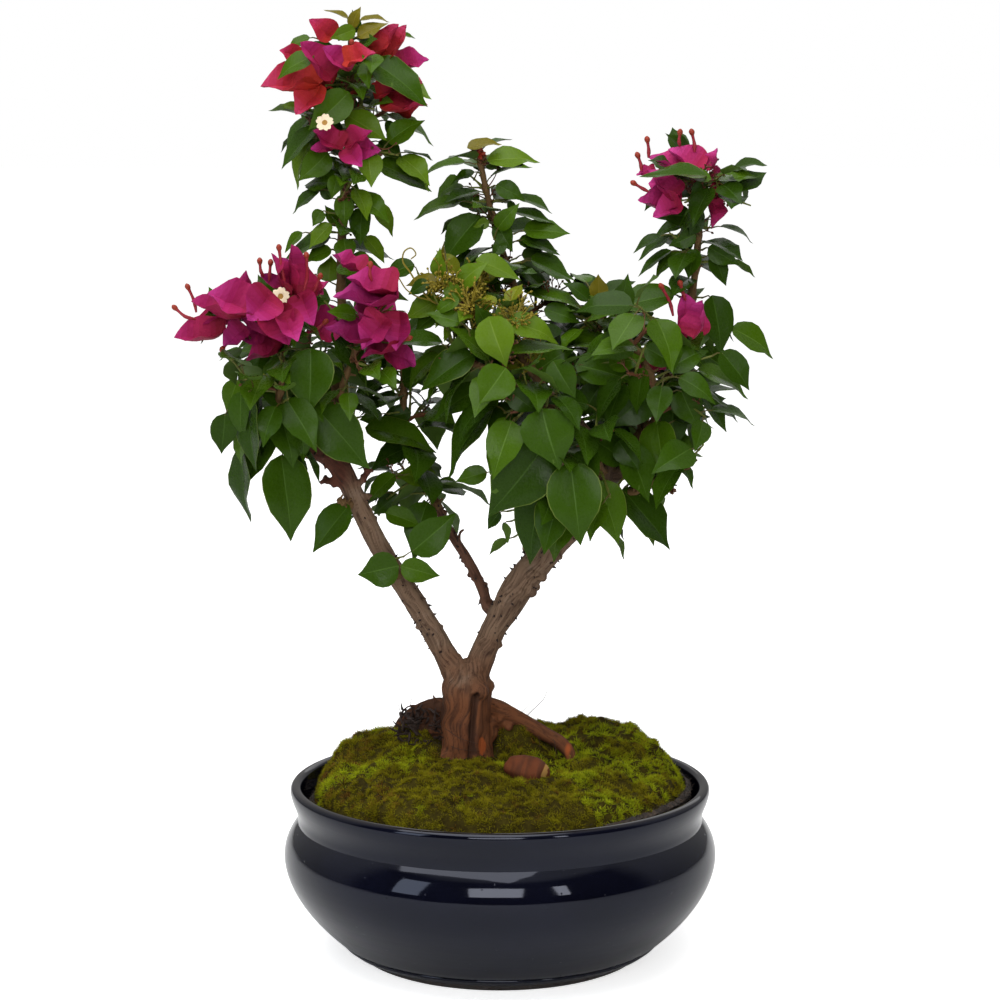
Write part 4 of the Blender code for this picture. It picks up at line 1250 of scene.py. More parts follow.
# Name, route and radii in millimetres, steps between places
TRUNK_LIMBS = [
    ("trunk", [(-19, -2, 107.8), (-19, -2, 114.8), (-19, -1, 132), (-18.5, 0, 148), (-17.5, 0, 158),
               (-16.5, 0, 164)], [15.4, 14.2, 13.6, 13.2, 11.5, 6.0], 2),
    ("left_stub", [(-18, 0, 142), (-25, -1, 158), (-31.4, -1.5, 170.2)], [9.5, 7.4, 6.2], 2),
    ("right_stub", [(-19, 0, 142), (-12.5, 0, 160), (-5.8, 0, 177)], [9.5, 8.0, 7.0], 2),
    ("surface_root", [(-14, 3, 138), (-2, 5, 136), (11, 5, 130), (24, 2, 122.5), (33, -3, 118.5),
                      (38, -7.5, 114), (39, -9, 110.5), (39, -9, 108.3)],
     [6.5, 5.4, 4.4, 4.2, 4.0, 3.4, 2.9, 2.6], 2),
    ("dark_root", [(-24, 4, 134), (-35, 9, 136), (-46, 16, 131), (-54, 21, 124), (-56, 23, 118),
                   (-56, 23, 110.8)], [6.0, 5.6, 5.0, 4.4, 3.6, 3.2], 2),
]

# Name, carrier, place on the carrier, route and radii in millimetres, steps between places
BOUGHS = [
    ("left_bough", "left_stub", 1.0,
     [(-38.5, -1.6, 183), (-51, -2, 203.7), (-61.5, -2, 220), (-71.4, -3, 238.5), (-79, -4, 255.4),
      (-87, -5, 272), (-95, -6, 281.5), (-103, -7, 285.5), (-108, -8, 286.5)],
     [6.2, 6.2, 5.9, 5.7, 5.6, 5.6, 6.0, 7.4, 8.6, 6.4], 2),
    ("right_bough", "right_stub", 1.0,
     [(-2.4, 0, 184), (3.5, 0, 194), (11.5, 1, 207.5), (20, 0, 218.5), (29, -3, 229),
      (37.5, -6, 238.5), (45, -8, 248.5), (51, -10, 260), (54.5, -11, 270), (56, -11.5, 276)],
     [7.0, 7.1, 8.0, 9.0, 8.6, 7.6, 7.4, 7.2, 7.4, 7.6, 6.0], 2),
    ("rear_bough", "right_bough", 0.40,
     [(22, 16, 236), (27, 21, 252), (31, 24, 270), (29, 27, 288), (27, 28, 302)],
     [6.0, 6.0, 5.4, 4.6, 3.8, 3.0], 3),
    ("middle_branch", "right_bough", 0.14,
     [(-9, 8, 201), (-17, 13, 217), (-26, 16, 231), (-35, 18, 248)],
     [3.2, 3.0, 2.8, 2.6], 3),
    ("crown_bough", "right_bough", 1.0,
     [(50, -15, 287), (38, -20, 302), (26, -22, 314)],
     [5.0, 4.6, 3.8, 3.0], 3),
    ("right_limb", "right_bough", 0.85,
     [(72, -8, 276), (83, -3, 291), (89, 3, 309)],
     [5.2, 4.6, 4.0, 3.2], 3),
]

# Short dead stubs and lesser roots: route and radii in millimetres
STUBS = [
    ([(-83, -5, 261), (-90, -6.5, 264.5), (-97, -7, 266)], [2.2, 2.1, 1.8]),
    ([(-80, -5, 260), (-75, -7, 266), (-71, -8, 272)], [2.1, 1.9, 1.6]),
    ([(-78, -4, 252), (-73, -6, 256), (-72, -7, 258)], [2.2, 2.0, 1.6]),
    ([(-17, 13, 217), (-21.5, 12, 226), (-22.5, 11, 233), (-20, 10.5, 236)], [1.5, 1.1, 0.9, 0.8]),
    ([(33, -3, 118.5), (36, 1, 117), (37.5, 4, 112), (37, 6, 106)], [2.6, 2.2, 1.8, 1.4]),
    ([(24, 2, 122.5), (29, 6, 121), (33, 10, 115), (34, 12, 107)], [2.2, 1.9, 1.6, 1.3]),
    ([(-37, 10, 135), (-42, 7, 130), (-45, 5, 122), (-46, 4, 108)], [3.2, 2.4, 1.8, 1.3]),
    ([(-46, 16, 131), (-50, 14, 126), (-51, 12, 118), (-51.5, 11, 107)], [2.4, 1.8, 1.4, 1.0]),
    ([(-26, 3, 130), (-33, 4, 124), (-36, 3, 111)], [4.2, 4.4, 4.0]),
    ([(-38, 10, 131), (-41, 9, 123), (-43, 8, 110)], [4.0, 4.2, 3.6]),
    ([(-47, 16, 127), (-48, 13, 120), (-49, 11, 109)], [3.0, 3.4, 3.0]),
    ([(-33, 6, 137), (-36, 4, 141), (-37, 3, 144)], [1.6, 1.1, 0.6]),
    ([(-44, 14, 134), (-49, 12, 136), (-53, 11, 135)], [1.5, 1.0, 0.5]),
    ([(-22, 4, 127), (-30, 5, 125), (-38, 8, 127)], [4.6, 5.2, 4.4]),
    ([(-12, 2, 131), (-3, 3, 129), (7, 4, 127)], [3.6, 3.6, 3.0]),
]

# Fine hairs of root: route in millimetres and radius
HAIRS = [
    ([(13, 4, 130), (18, 5, 135), (24, 5, 141), (26.5, 5, 147)], 0.30),
    ([(8, 2, 131), (14, 3, 136), (17, 2, 141)], 0.24),
    ([(-50, 17, 127), (-55, 14, 131), (-57, 12, 137)], 0.28),
    ([(-46, 14, 131), (-50, 12, 136), (-49, 11, 141)], 0.28),
    ([(-33, 8, 138), (-39, 6, 141), (-44, 5, 139)], 0.20),
    ([(-30, -10, 128), (-22, -16.5, 124), (-12, -17, 121)], 0.25),
    ([(-32, -6, 121), (-24, -15.5, 118), (-11, -17.5, 117)], 0.22),
    ([(26, 1, 124), (30, -6, 120), (31, -12, 112)], 0.30),
    ([(20, 3, 125), (22, -4, 119), (21, -9, 112)], 0.28),
    ([(34, -4, 118), (41, -2, 117), (45, -3, 110)], 0.30),
    ([(-52, 20, 126), (-60, 16, 122), (-63, 14, 112)], 0.35),
    ([(-42, 13, 133), (-47, 7, 126), (-48, 4, 112)], 0.35),
]

# Marks in the bark, in millimetres: the ends of the cleft, the swollen knuckle, then the middle and
# spread of the torn bark, the torn root, the tangle of roots and the stains round dead stubs
CLEFT = [(-13.4, 0, 146), (-16.8, 0, 110)]
KNUCKLE = (-104, -7, 281)
TORN_BARK = ((-9.3, -13, 118.5), (2.6, 5, 5.5))
TORN_ROOT = ((37.5, -8, 114), (3.0, 6, 7.0))
TANGLE = ((-43, 9, 130), (18, 14, 16))
STUB_STAINS = [((-98, -6, 266), (12, 8, 7)), ((-70, -7, 270), (7, 8, 10))]

# Where the rootlets of the tangle start, in millimetres: from and to, across, back and up
ROOTLET_ZONE = [(-57, -28), (-5, 14), (115, 136)]


@dataclass
class Limb:
    """A tapering wooden limb: its own route for growing on, and a finer one for its looks."""
    name: str
    route: list
    radii: list
    steps: int
    way: Vector | None = None
    path: list = field(default_factory=list)
    fine: list = field(default_factory=list)

    def __post_init__(self) -> None:
        """Work out both paths."""
        self.path = lead_route(self.route, self.steps, self.way)
        self.fine = lead_route(self.route, 7, self.way)

    def drawn(self) -> tuple[list, list]:
        """The fine path and its radii, led back into the carrier.

        Returns:
            Places and radii.
        """
        radii = in_mm(*spread(self.radii, len(self.fine)))
        if not self.way:
            return self.fine, radii
        return [self.fine[0] - self.way * 0.004] + self.fine, [radii[0]] + radii


@dataclass
class Wood:
    """Trunk, roots and boughs under one skin of furrowed bark.

    Furrow, crease and streak each hold the width round a limb in millimetres and the length along it
    in metres.
    """
    flare: float = 0.05
    flare_lobes: int = 5
    flare_height: float = 0.022
    voxel: float = 0.00068
    furrow: tuple = (1.5, 0.015)
    crease: tuple = (0.75, 0.0065)
    streak: tuple = (0.6, 0.011)
    knob_seed: int = 5
    rootlets: int = 130
    limbs: dict = field(default_factory=dict)
    trees: dict = field(default_factory=dict)

    def __post_init__(self) -> None:
        """Lay out the limbs, each bough seated on its carrier's solid."""
        for name, route, radii, steps in TRUNK_LIMBS:
            way = UP if name == "trunk" else None
            self.limbs[name] = Limb(name, points_of(route), radii, steps, way)
        for name, carrier, share, route, radii, steps in BOUGHS:
            start, axis = self.seat(carrier, share, route[0])
            self.limbs[name] = Limb(name, [start] + points_of(route), radii, steps, axis)

    def tree(self, node: str) -> BVHTree:
        """Search tree over a solid's faces.

        Args:
            node: the solid's name.

        Returns:
            The tree, made on the first call.
        """
        if node not in self.trees:
            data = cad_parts[node].data
            places = [corner.co for corner in data.vertices]
            faces = [tuple(face.vertices) for face in data.polygons]
            self.trees[node] = BVHTree.FromPolygons(places, faces)
        return self.trees[node]

    def seat(self, name: str, share: float, toward: tuple) -> tuple[Vector, Vector]:
        """Where a stem stands on a limb.

        Args:
            name: the limb.
            share: how far along it.
            toward: the stem's next place, in millimetres.

        Returns:
            The stem's start, clear of the limb by the gap, and its axis.
        """
        inside, _ = along_at(self.limbs[name].path, share)
        outward = (point(*toward) - inside).normalized()
        node = "trunk" if name.endswith("stub") else name
        hit, normal, _, _ = self.tree(node).ray_cast(inside + outward * SEARCH, -outward)
        return hit + normal * GAP, normal

    def buttress(self, places: np.ndarray) -> np.ndarray:
        """Widen the trunk in buttresses towards the ground.

        Args:
            places: corners of the trunk.

        Returns:
            The widened corners.
        """
        x, y = places[:, 0] - TRUNK_PLACE[0], places[:, 1] - TRUNK_PLACE[1]
        low = 1.0 - ease(GROUND, GROUND + self.flare_height, places[:, 2])
        swell = self.flare * low * (0.45 + 0.55 * np.cos(self.flare_lobes * np.arctan2(y, x) + 0.6))
        widened = places.copy()
        widened[:, 0] += x * swell
        widened[:, 1] += y * swell
        return widened

    def knobs(self, sheaf: Sheaf) -> None:
        """Healed scars and bumps along the limbs, as small domes sunk in the wood.

        Args:
            sheaf: what they are added to.
        """
        rng = random.Random(self.knob_seed)
        for limb in self.limbs.values():
            length = sum((end - start).length for start, end in zip(limb.fine, limb.fine[1:]))
            radii = spread(limb.radii, len(limb.fine))
            spacing, swell = (0.0028, 1.5) if limb.name == "middle_branch" else (0.008, 1.0)
            for _ in range(int(length / spacing)):
                share = rng.uniform(0.06, 0.97)
                centre, low = along_at(limb.fine, share)
                along = (limb.fine[low + 1] - limb.fine[low]).normalized()
                outward = outward_of(along, rng.uniform(0.0, 2.0 * math.pi))
                size = rng.uniform(0.16, 0.34) * radii[low] * MM * swell
                start = centre + outward * radii[low] * MM * 0.8
                path = [start + outward * size * 1.9 * step for step in (0.0, 0.5, 0.8, 1.0)]
                sheaf.tube(path, [size * 1.5, size * 1.2, size * 0.8, size * 0.2], 8, STEM)

    def rough_skin(self) -> bpy.types.Mesh:
        """One closed skin over all limbs, stubs and knobs.

        Returns:
            The mesh.
        """
        sheaf = Sheaf()
        for limb in self.limbs.values():
            points, faces = tube_mesh(*limb.drawn(), 20)
            places = np.array([tuple(place) for place in points])
            sheaf.add(self.buttress(places) if limb.name == "trunk" else places, faces, STEM)
        for route, radii in STUBS:
            path = smooth_route(points_of(route), 5)
            sheaf.tube(path, in_mm(*spread(radii, len(path))), 10, STEM)
            for index in range(2, len(path)):
                outward = outward_of(directions(path)[index], index * GOLDEN_ANGLE)
                bump = [path[index] + outward * step * radii[-1] * MM for step in (0.5, 1.2, 1.7, 1.9)]
                sheaf.tube(bump, [radii[-1] * MM * size for size in (0.9, 0.8, 0.5, 0.1)], 6, STEM)
        self.knobs(sheaf)
        rough = sheaf.build("rough_wood")
        melt = rough.modifiers.new("melt", "REMESH")
        melt.mode = "VOXEL"
        melt.voxel_size = self.voxel
        smooth = rough.modifiers.new("smooth", "SMOOTH")
        smooth.factor = 0.5
        smooth.iterations = 5
        data = baked(rough)
        bpy.data.objects.remove(rough)
        return data

    def skeleton(self) -> np.ndarray:
        """Rows of centre, direction, side, radius, length and limb number along every limb.

        Returns:
            The rows.
        """
        rows = []
        for number, limb in enumerate(self.limbs.values()):
            radii = spread(limb.radii, len(limb.fine))
            along = directions(limb.fine)
            side = along[0].orthogonal().normalized()
            length = 0.0
            for index, centre in enumerate(limb.fine):
                side = (side - along[index] * side.dot(along[index])).normalized()
                length += (centre - limb.fine[max(0, index - 1)]).length
                rows.append((*centre, *along[index], *side, radii[index], length, number))
        return np.array(rows)

    def nearest(self, places: np.ndarray) -> np.ndarray:
        """Row of the skeleton whose surface is nearest to each place.

        Args:
            places: the skin's corners.

        Returns:
            A row for each place.
        """
        rows = self.skeleton()
        found = []
        for part in np.array_split(places, 24):
            away = np.linalg.norm(part[:, None] - rows[None, :, :3], axis=2)
            found.append(np.argmin(away - rows[:, 9] * MM, axis=1))
        return rows[np.concatenate(found)]

    def relief(self, places: np.ndarray) -> tuple[np.ndarray, dict]:
        """Relief of the bark at places on the skin.

        Args:
            places: the skin's corners.

        Returns:
            How far each is raised, and the marks that the finish reads.
        """
        row = self.nearest(places)
        away = places - row[:, :3]
        across = np.cross(row[:, 3:6], row[:, 6:9])
        angle = np.arctan2(np.sum(away * across, axis=1), np.sum(away * row[:, 6:9], axis=1))
        along = row[:, 10] + np.sum(away * row[:, 3:6], axis=1) + row[:, 11] * 0.37
        girth = np.clip(row[:, 9], 1.0, 15.0)
        wander = 0.35 * lattice_noise(places / 0.010, 40)
        ring = np.stack([np.cos(angle + wander), np.sin(angle + wander)], axis=1)

        def grain(width: float, length: float, seed: int) -> np.ndarray:
            """Noise of a width round the limb and a length along it."""
            return lattice_noise(np.column_stack([ring * (girth / width)[:, None], along / length]), seed)

        furrow = (1.0 - np.abs(grain(*self.furrow, 41))) ** 4
        crease = (1.0 - np.abs(grain(*self.crease, 42))) ** 3
        flutes = lattice_noise(np.column_stack([ring * 1.9, along / 0.045]), 44)
        lumps = lattice_noise(places / 0.0065, 43)
        rings = lattice_noise(np.column_stack([along / 0.0024, along / 0.05, np.cos(angle) * 1.2]), 45)
        depth = np.clip(girth * 0.042, 0.08, 0.60)
        raised = -depth * (0.62 * furrow + 0.34 * crease) + 0.050 * girth * lumps + 0.07 * rings
        raised += np.where(girth > 9.5, 1.25, 0.18) * flutes
        # The furrow mark is painted shade: the finish darkens the bark where the furrows and creases sink it
        marks = {"furrow": np.clip(0.75 * furrow + 0.45 * crease - 0.12, 0.0, 1.0),
                 "streak": np.clip(0.5 + 0.5 * grain(*self.streak, 46), 0.0, 1.0)}
        behind = 0.01 * (places[:, 1] > -0.006)
        cleft = self.gash(places * (1.0, 0.0, 1.0), *points_of(CLEFT)) + behind
        torn = self.patch(places, *TORN_BARK)
        leg = self.patch(places, *TORN_ROOT)
        raised -= 3.4 * np.exp(-(cleft / 0.0017) ** 2) + 1.0 * torn
        marks["cut"] = np.clip((torn * 1.3 + leg * 0.75) * (0.85 + 0.5 * lumps), 0.0, 1.0)
        knuckle = np.linalg.norm(places - np.array(point(*KNUCKLE)), axis=1)
        roots = 1.0 - ease(0.108, 0.150, places[:, 2])
        tangle = self.patch(places, *TANGLE)
        # Painted shade in the sunk cleft, and a darker patch over the tangle of roots
        marks["furrow"] = np.clip(marks["furrow"] + np.exp(-(cleft / 0.0020) ** 2) + 1.2 * tangle, 0.0, 1.0)
        stubs = sum(self.patch(places, *stain) for stain in STUB_STAINS)
        branch = 0.7 * (row[:, 11] == list(self.limbs).index("middle_branch"))
        marks["stain"] = np.clip(1.0 - ease(0.016, 0.034, knuckle) + 0.55 * ease(0.2, 0.9, lumps) * roots
                                 + 1.5 * stubs + branch, 0.0, 1.0)
        marks["thorny"] = np.where((row[:, 11] > 4) & (crease + stubs + branch > 0.42), 1.0, 0.0)
        return raised * MM, marks

    @staticmethod
    def patch(places: np.ndarray, middle: tuple, spread_out: tuple) -> np.ndarray:
        """Soft patch that is 1 in its middle and falls off round it.

        Args:
            places: rows of places, in metres.
            middle: the patch's middle, in millimetres.
            spread_out: how far it reaches along each axis, in millimetres.

        Returns:
            A share for each place.
        """
        away = (places - np.array(middle) * MM) / (np.array(spread_out) * MM)
        return np.exp(-np.sum(away ** 2, axis=1))

    @staticmethod
    def gash(places: np.ndarray, start: Vector, end: Vector) -> np.ndarray:
        """Distance of places from a straight gash.

        Args:
            places: rows of places.
            start: one end of the gash.
            end: its other end.

        Returns:
            A distance for each place.
        """
        origin, line = np.array(start), np.array(end - start)
        share = np.clip((places - origin) @ line / (line @ line), 0.0, 1.0)
        return np.linalg.norm(places - origin - share[:, None] * line, axis=1)

    def skin(self) -> bpy.types.Object:
        """The bark, with its relief and marks.

        Returns:
            The piece.
        """
        data = self.rough_skin()
        places = corners_of(data)
        raised, marks = self.relief(places)
        raised_places = places + corners_of(data, "normal") * raised[:, None]
        raised_places[:, 2] = np.maximum(raised_places[:, 2], LOWEST_BARK)
        data.vertices.foreach_set("co", raised_places.astype(np.float32).ravel())
        for name, values in marks.items():
            carry(data, name, values)
        coat(data, Bark())
        return finished("bark", data, 180.0)

    def knob(self) -> bpy.types.Object:
        """Cut root knob in the moss, ringed and torn at its right end.

        Returns:
            The piece.
        """
        heights = np.linspace(-1, 1, 41)
        radii = [math.sqrt(max(0.0004, 1.0 - height ** 2)) for height in heights]
        points, faces = tube_mesh([Vector((0, 0, height)) for height in heights], radii, 56)
        places = np.array([tuple(place) for place in points])
        shape = places[:, [2, 0, 1]] * KNOB_SIZE
        ringed = lattice_noise(np.column_stack([shape[:, 0] / 0.0016, shape[:, 1:] / 0.012]), 51)
        lumps = lattice_noise(shape / 0.0045, 52)
        shape *= (1.0 + 0.035 * ringed + 0.10 * lumps)[:, None]
        turned = Matrix.Rotation(KNOB_TURN, 3, "Z") @ Matrix.Rotation(KNOB_TILT, 3, "Y")
        sheaf = Sheaf()
        sheaf.add(shape @ np.array(turned).T + np.array(KNOB_PLACE), faces, KNOB_BARK)
        knob = sheaf.build("root_knob", 80.0)
        # Painted shade: the furrow mark darkens the sunk rings
        carry(knob.data, "furrow", np.clip(-ringed * 0.8, 0.0, 1.0))
        torn = (shape[:, 0] > 0.0098) & (shape[:, 0] < 0.0122) & (shape[:, 2] > -0.003)
        carry(knob.data, "cut", np.where(torn, 0.9, 0.0))
        carry(knob.data, "stain", np.zeros(len(shape)))
        carry(knob.data, "streak", np.clip(0.5 + 0.5 * ringed, 0.0, 1.0))
        return knob

    def tangle(self, hairs: Sheaf) -> None:
        """Dark rootlets that bristle from the roots on the left.

        Args:
            hairs: what they are added to.
        """
        rng = random.Random(self.knob_seed)
        for _ in range(self.rootlets):
            start = point(*[rng.uniform(*ends) for ends in ROOTLET_ZONE])
            way = Vector((rng.uniform(-1.0, 0.6), rng.uniform(-0.9, 0.4), rng.uniform(-0.5, 0.9)))
            way.normalize()
            long = rng.uniform(4.0, 9.0) * MM
            bent = start + way * long * 0.5 + UP * rng.uniform(-1.0, 1.0) * MM
            path = smooth_route([start, bent, start + way * long], 2)
            hairs.tube(path, spread(in_mm(0.85, 0.25), len(path)), 5, THORN)

    def build(self, strewer: Strewer) -> None:
        """Build and dress the wood.

        Args:
            strewer: strews the thorns.
        """
        bark = self.skin()
        path = [Vector((0, 0, height)) * MM for height in (-0.5, 0.4, 1.1, 1.8)]
        sheaf = Sheaf()
        sheaf.tube(path, in_mm(0.75, 0.62, 0.34, 0.08), 6, THORN)
        unit = sheaf.build("thorn")
        thorns = strewer.strew("thorns", bark, unit, THORN, Zone="thorny", Density=24e3,
                               Smallest=0.55, Largest=1.15, Tilt=0.5, Seed=8)
        bpy.data.objects.remove(unit)
        hand_over(bark, "bark", "trunk", *[name for name, *_ in BOUGHS])
        hand_over(thorns, "bark")
        hand_over(self.knob(), "bark", "root_stub")
        hairs = Sheaf()
        for route, radius in HAIRS:
            hair = smooth_route(points_of(route), 6)
            hairs.tube(hair, in_mm(*spread([radius, radius * 0.5], len(hair))), 4, FIBRE)
        self.tangle(hairs)
        hand_over(hairs.build("root_hairs"), "bark")


# Foliage

SEEN_BRACT_WIDTH = 0.85
SEEN_BRACT_FOLD = 0.5
STALK_RADIUS = 0.36 * MM
LEAF_STALK = 7.0 * MM
LEAF_LENGTH = 30.0 * MM
LEAF_WIDTH = 0.60
LEAF_TAPER = 0.32
LEAF_OPENING = (78.0, 44.0)
SIZE_RANGE = (0.80, 1.12)
TURN_TRIES = (0.0, 0.4, -0.4, 0.8, -0.8, 1.2, -1.2)
STEEPEST = math.radians(-86.0)
LARGE_LEAF = 38.0 * MM
LEAF_FOLD = 0.20
LEAF_THICKNESS = 0.020
BRACT_WIDTH = 0.74
BRACT_FOLD = 0.40
BRACT_STALK = 2.0 * MM
BRACT_OPENING = (32.0, 54.0)
HUB_RISE = 0.3 * MM
BRACTS_IN_BLOOM = 3
CLEARANCE = 0.8 * MM
TWIG_TIP = 1.15 * MM
THICK_STEM = 1.2 * MM
ROOT_ZONE = 3.0 * MM
LIGHT = Vector((0.0, -0.45, 1.0))
FORWARD = Vector((0.0, -1.0, 0.0))
DEPTH_TRIES = (0.0, -3.5, 3.5, -7.0, 7.0, -10.5, 10.5)
FINE_SIZE = 0.80
FINE_DROOP = 0.55
INNER_BRACT = 0.78
BUDS_IN_KNOT = 12
FLOWER_CORNERS = 40
OTHER_TINT = 0.25
DRAWN_BRACT = 1.12
GOLDEN_SHARE = 0.618034
FINE_TWIG = (0.6 * MM, 0.45 * MM)
DRAWN_FINE_TWIG = (0.7 * MM, 0.45 * MM)
SEEN_TWIG = (0.62 * MM, 0.45 * MM)

# Shapes of buds along their middle: radii of a flower tube, steps and radii of its knob, and radii of an
# open flower's tube, in millimetres, then steps and radii of a knot's bud as shares of its size
TUBE_RADII = (0.60, 0.85, 1.10, 1.05, 0.85, 0.80, 1.00)
BUD_STEPS = (-0.6, 0.4, 1.5, 2.4, 3.1)
BUD_RADII = (0.9, 1.45, 1.65, 1.25, 0.45)
OPEN_TUBE_RADII = (0.6, 0.7, 0.8, 0.7, 0.75, 0.95, 1.15)
KNOT_STEPS = (0.0, 0.55, 0.95, 1.25, 1.45)
KNOT_RADII = (0.20, 0.34, 0.36, 0.24, 0.05)

# Rings of an open flower in millimetres: rise, radius at a petal and between two, depth of its notch
FLOWER_RINGS = [(0.0, 1.5, 1.5, 0.0), (0.9, 3.4, 2.6, 0.1), (0.5, 5.2, 3.7, 0.9)]


@dataclass
class Shoot:
    """A side shoot: where it leaves the stem, its heading, length in millimetres and load."""
    at: float
    turn: float
    rise: float
    long: float
    leaves: int = 0
    bloom: float = 0.0


@dataclass
class Mass:
    """A mass of foliage that grows from one stem, sizes in millimetres, and its colours."""
    name: str
    bough: str
    share: float
    route: list
    leaves: int
    size: float
    seed: int
    first: float = 0.15
    droop: float = 25.0
    reach: float = 75.0
    stem: float = 2.4
    shoots: list = field(default_factory=list)
    singles: list = field(default_factory=list)
    tints: tuple = (Tint.FOREST, Tint.DEEP, Tint.MIDDLE)
    blooms: tuple = (Bloom.MAGENTA, Bloom.PINK, Bloom.CRIMSON)
    fine: int = 8
    sprigs: int = 0


@dataclass
class Blade:
    """Where a leaf or bract stands and how it is shaped."""
    root: Vector
    way: Vector
    face: Vector
    stalk_way: Vector
    stalk: float
    length: float
    width: float
    arch: float
    fold: float

    def coarse(self, grow: float = 0.0, skip: float = 0.0) -> tuple[list, list]:
        """The blade as its solid has it, for finding room.

        Args:
            grow: how much wider it is taken.
            skip: length of stalk that is left out.

        Returns:
            Points and faces.
        """
        side = self.way.cross(self.face).normalized()
        root = self.root + self.stalk_way * skip
        base = root + self.stalk_way * (max(0.0, self.stalk - skip) if skip else self.stalk)
        points = [root + side * STALK_RADIUS, root - self.face * STALK_RADIUS * 1.2,
                  root - side * STALK_RADIUS]
        stations = ((0.30, 1.0), (0.68, 0.66)) if self.length > LARGE_LEAF else ((0.40, 1.0),)
        for share, broad in stations:
            sunk = self.face * (self.arch * self.length * share * share)
            centre = base + self.way * (self.length * share) - sunk
            half = 0.5 * self.width * broad
            edge = side * (half + 3.0 * grow)
            lift = self.face * (self.fold * half)
            points += [centre + edge + lift, centre - self.face * (LEAF_THICKNESS * self.length + grow),
                       centre - edge + lift, centre + self.face * grow]
        points.append(base + self.way * (self.length + 3.0 * grow) - self.face * (self.arch * self.length))
        faces = [[2, 1, 0], [0, 1, 4, 3], [0, 3, 6], [2, 0, 6], [2, 6, 5], [1, 2, 5, 4]]
        if len(stations) == 2:
            faces += [[3, 4, 8, 7], [4, 5, 9, 8], [5, 6, 10, 9], [6, 3, 7, 10]]
        tip = len(points) - 1
        faces += [[tip - 4 + turn, tip - 4 + (turn + 1) % 4, tip] for turn in range(4)]
        return points, faces


@dataclass(frozen=True)
class BladeForm:
    """How finely a blade is drawn, in an even number of columns, its outline and its relief."""
    stations: tuple
    columns: tuple
    waist: float
    fullness: float
    taper: float
    thickness: float
    pillow: float = 0.05
    crinkle: float = 0.0
    belly: float = 0.0

    def outline(self, shares: np.ndarray) -> np.ndarray:
        """Half width along the blade, 1 at its widest.

        Args:
            shares: 0 at the blade's foot and 1 at its tip.

        Returns:
            A half width for each share.
        """
        body = np.sin(np.pi * np.clip(shares, 0.0, 1.0) ** self.waist) ** self.fullness
        return body * (1.0 - self.taper * ease(0.60, 0.93, shares))

    def points(self, blade: Blade, seed: int) -> np.ndarray:
        """Corners of the blade: its upper side row by row, its tip, then the middle of its underside.

        Args:
            blade: the blade to draw.
            seed: gives it its own waves.

        Returns:
            Rows of places.
        """
        rng = random.Random(seed)
        way, face = np.array(blade.way), np.array(blade.face)
        side = np.cross(way, face)
        base = np.array(blade.root + blade.stalk_way * blade.stalk)
        t = np.array(self.stations)[:-1, None]
        u = np.array(self.columns)[None, :]
        half = 0.5 * blade.width * self.outline(t) + STALK_RADIUS * 1.1 * (1.0 - t)
        bend = rng.uniform(-0.09, 0.09) * blade.length * t * t
        curl = rng.uniform(-0.02, 0.17) * blade.length * ease(0.55, 1.0, t) ** 2
        swing = rng.uniform(0.03, 0.07) * blade.width
        wave = swing * np.sin(rng.uniform(7.0, 12.0) * t + rng.uniform(0, 6) + u)
        lift = blade.fold * half * np.abs(u) + self.pillow * half * (1.0 - (2.0 * np.abs(u) - 1.0) ** 2)
        lift = lift + wave * np.abs(u) ** 2 * np.sin(np.pi * t)
        if self.crinkle:
            cells = np.stack(np.broadcast_arrays(t * 6.0, u * 2.6, seed * 1.7), axis=-1).reshape(-1, 3)
            ruffle = 2.4 * wave * np.abs(u) ** 3 * np.sin(np.pi * t) ** 0.7
            lift = blade.fold * 1.5 * half * np.abs(u) ** 2.2 + ruffle
            rough = self.crinkle * lattice_noise(cells, 61).reshape(lift.shape)
            lift = lift + rough * np.sin(np.pi * t) ** 0.5
        sag = self.belly * blade.length * np.sin(np.pi * t ** 0.8)
        drop = blade.arch * blade.length * t * t + curl + sag
        rows = (base + way * (blade.length * t[..., None]) - face * drop[..., None]
                + side * (u * half + bend)[..., None] + face * lift[..., None])
        sunk = blade.arch * blade.length + float(curl[-1, 0]) * 1.15
        tip = base + way * blade.length - face * sunk + side * float(bend[-1, 0])
        middle = rows.shape[1] // 2
        under = 0.5 * (rows[:, middle - 1] + rows[:, middle])
        return np.concatenate([rows.reshape(-1, 3), tip[None], under - face * self.thickness])

    def faces(self) -> tuple[list, list]:
        """Faces of the blade, and for each the name of its part: blade, rib, edge or under.

        Returns:
            The faces and the names.
        """
        wide = len(self.columns)
        rows = len(self.stations) - 1
        tip = rows * wide
        faces, parts = [], []
        for row in range(rows):
            low, high = row * wide, (row + 1) * wide
            last = row == rows - 1
            for column in range(wide - 1):
                faces.append([low + column, low + column + 1, tip] if last else
                             [low + column, low + column + 1, high + column + 1, high + column])
                inner = max(abs(self.columns[column]), abs(self.columns[column + 1])) < 0.12
                outer = min(abs(self.columns[column]), abs(self.columns[column + 1])) > 0.9
                parts.append("rib" if inner else "edge" if outer else "blade")
            under = tip + 1 + row
            for start, other in ((low, 1), (low + wide - 1, -1)):
                above = tip if last else start + wide
                beyond = [] if last else [under + 1]
                ring = [start, above, *beyond, under]
                faces.append(ring if other == 1 else ring[::-1])
                parts.append("under")
        faces.append([tip + 1] + list(range(wide))[::-1])
        parts.append("under")
        return faces, parts


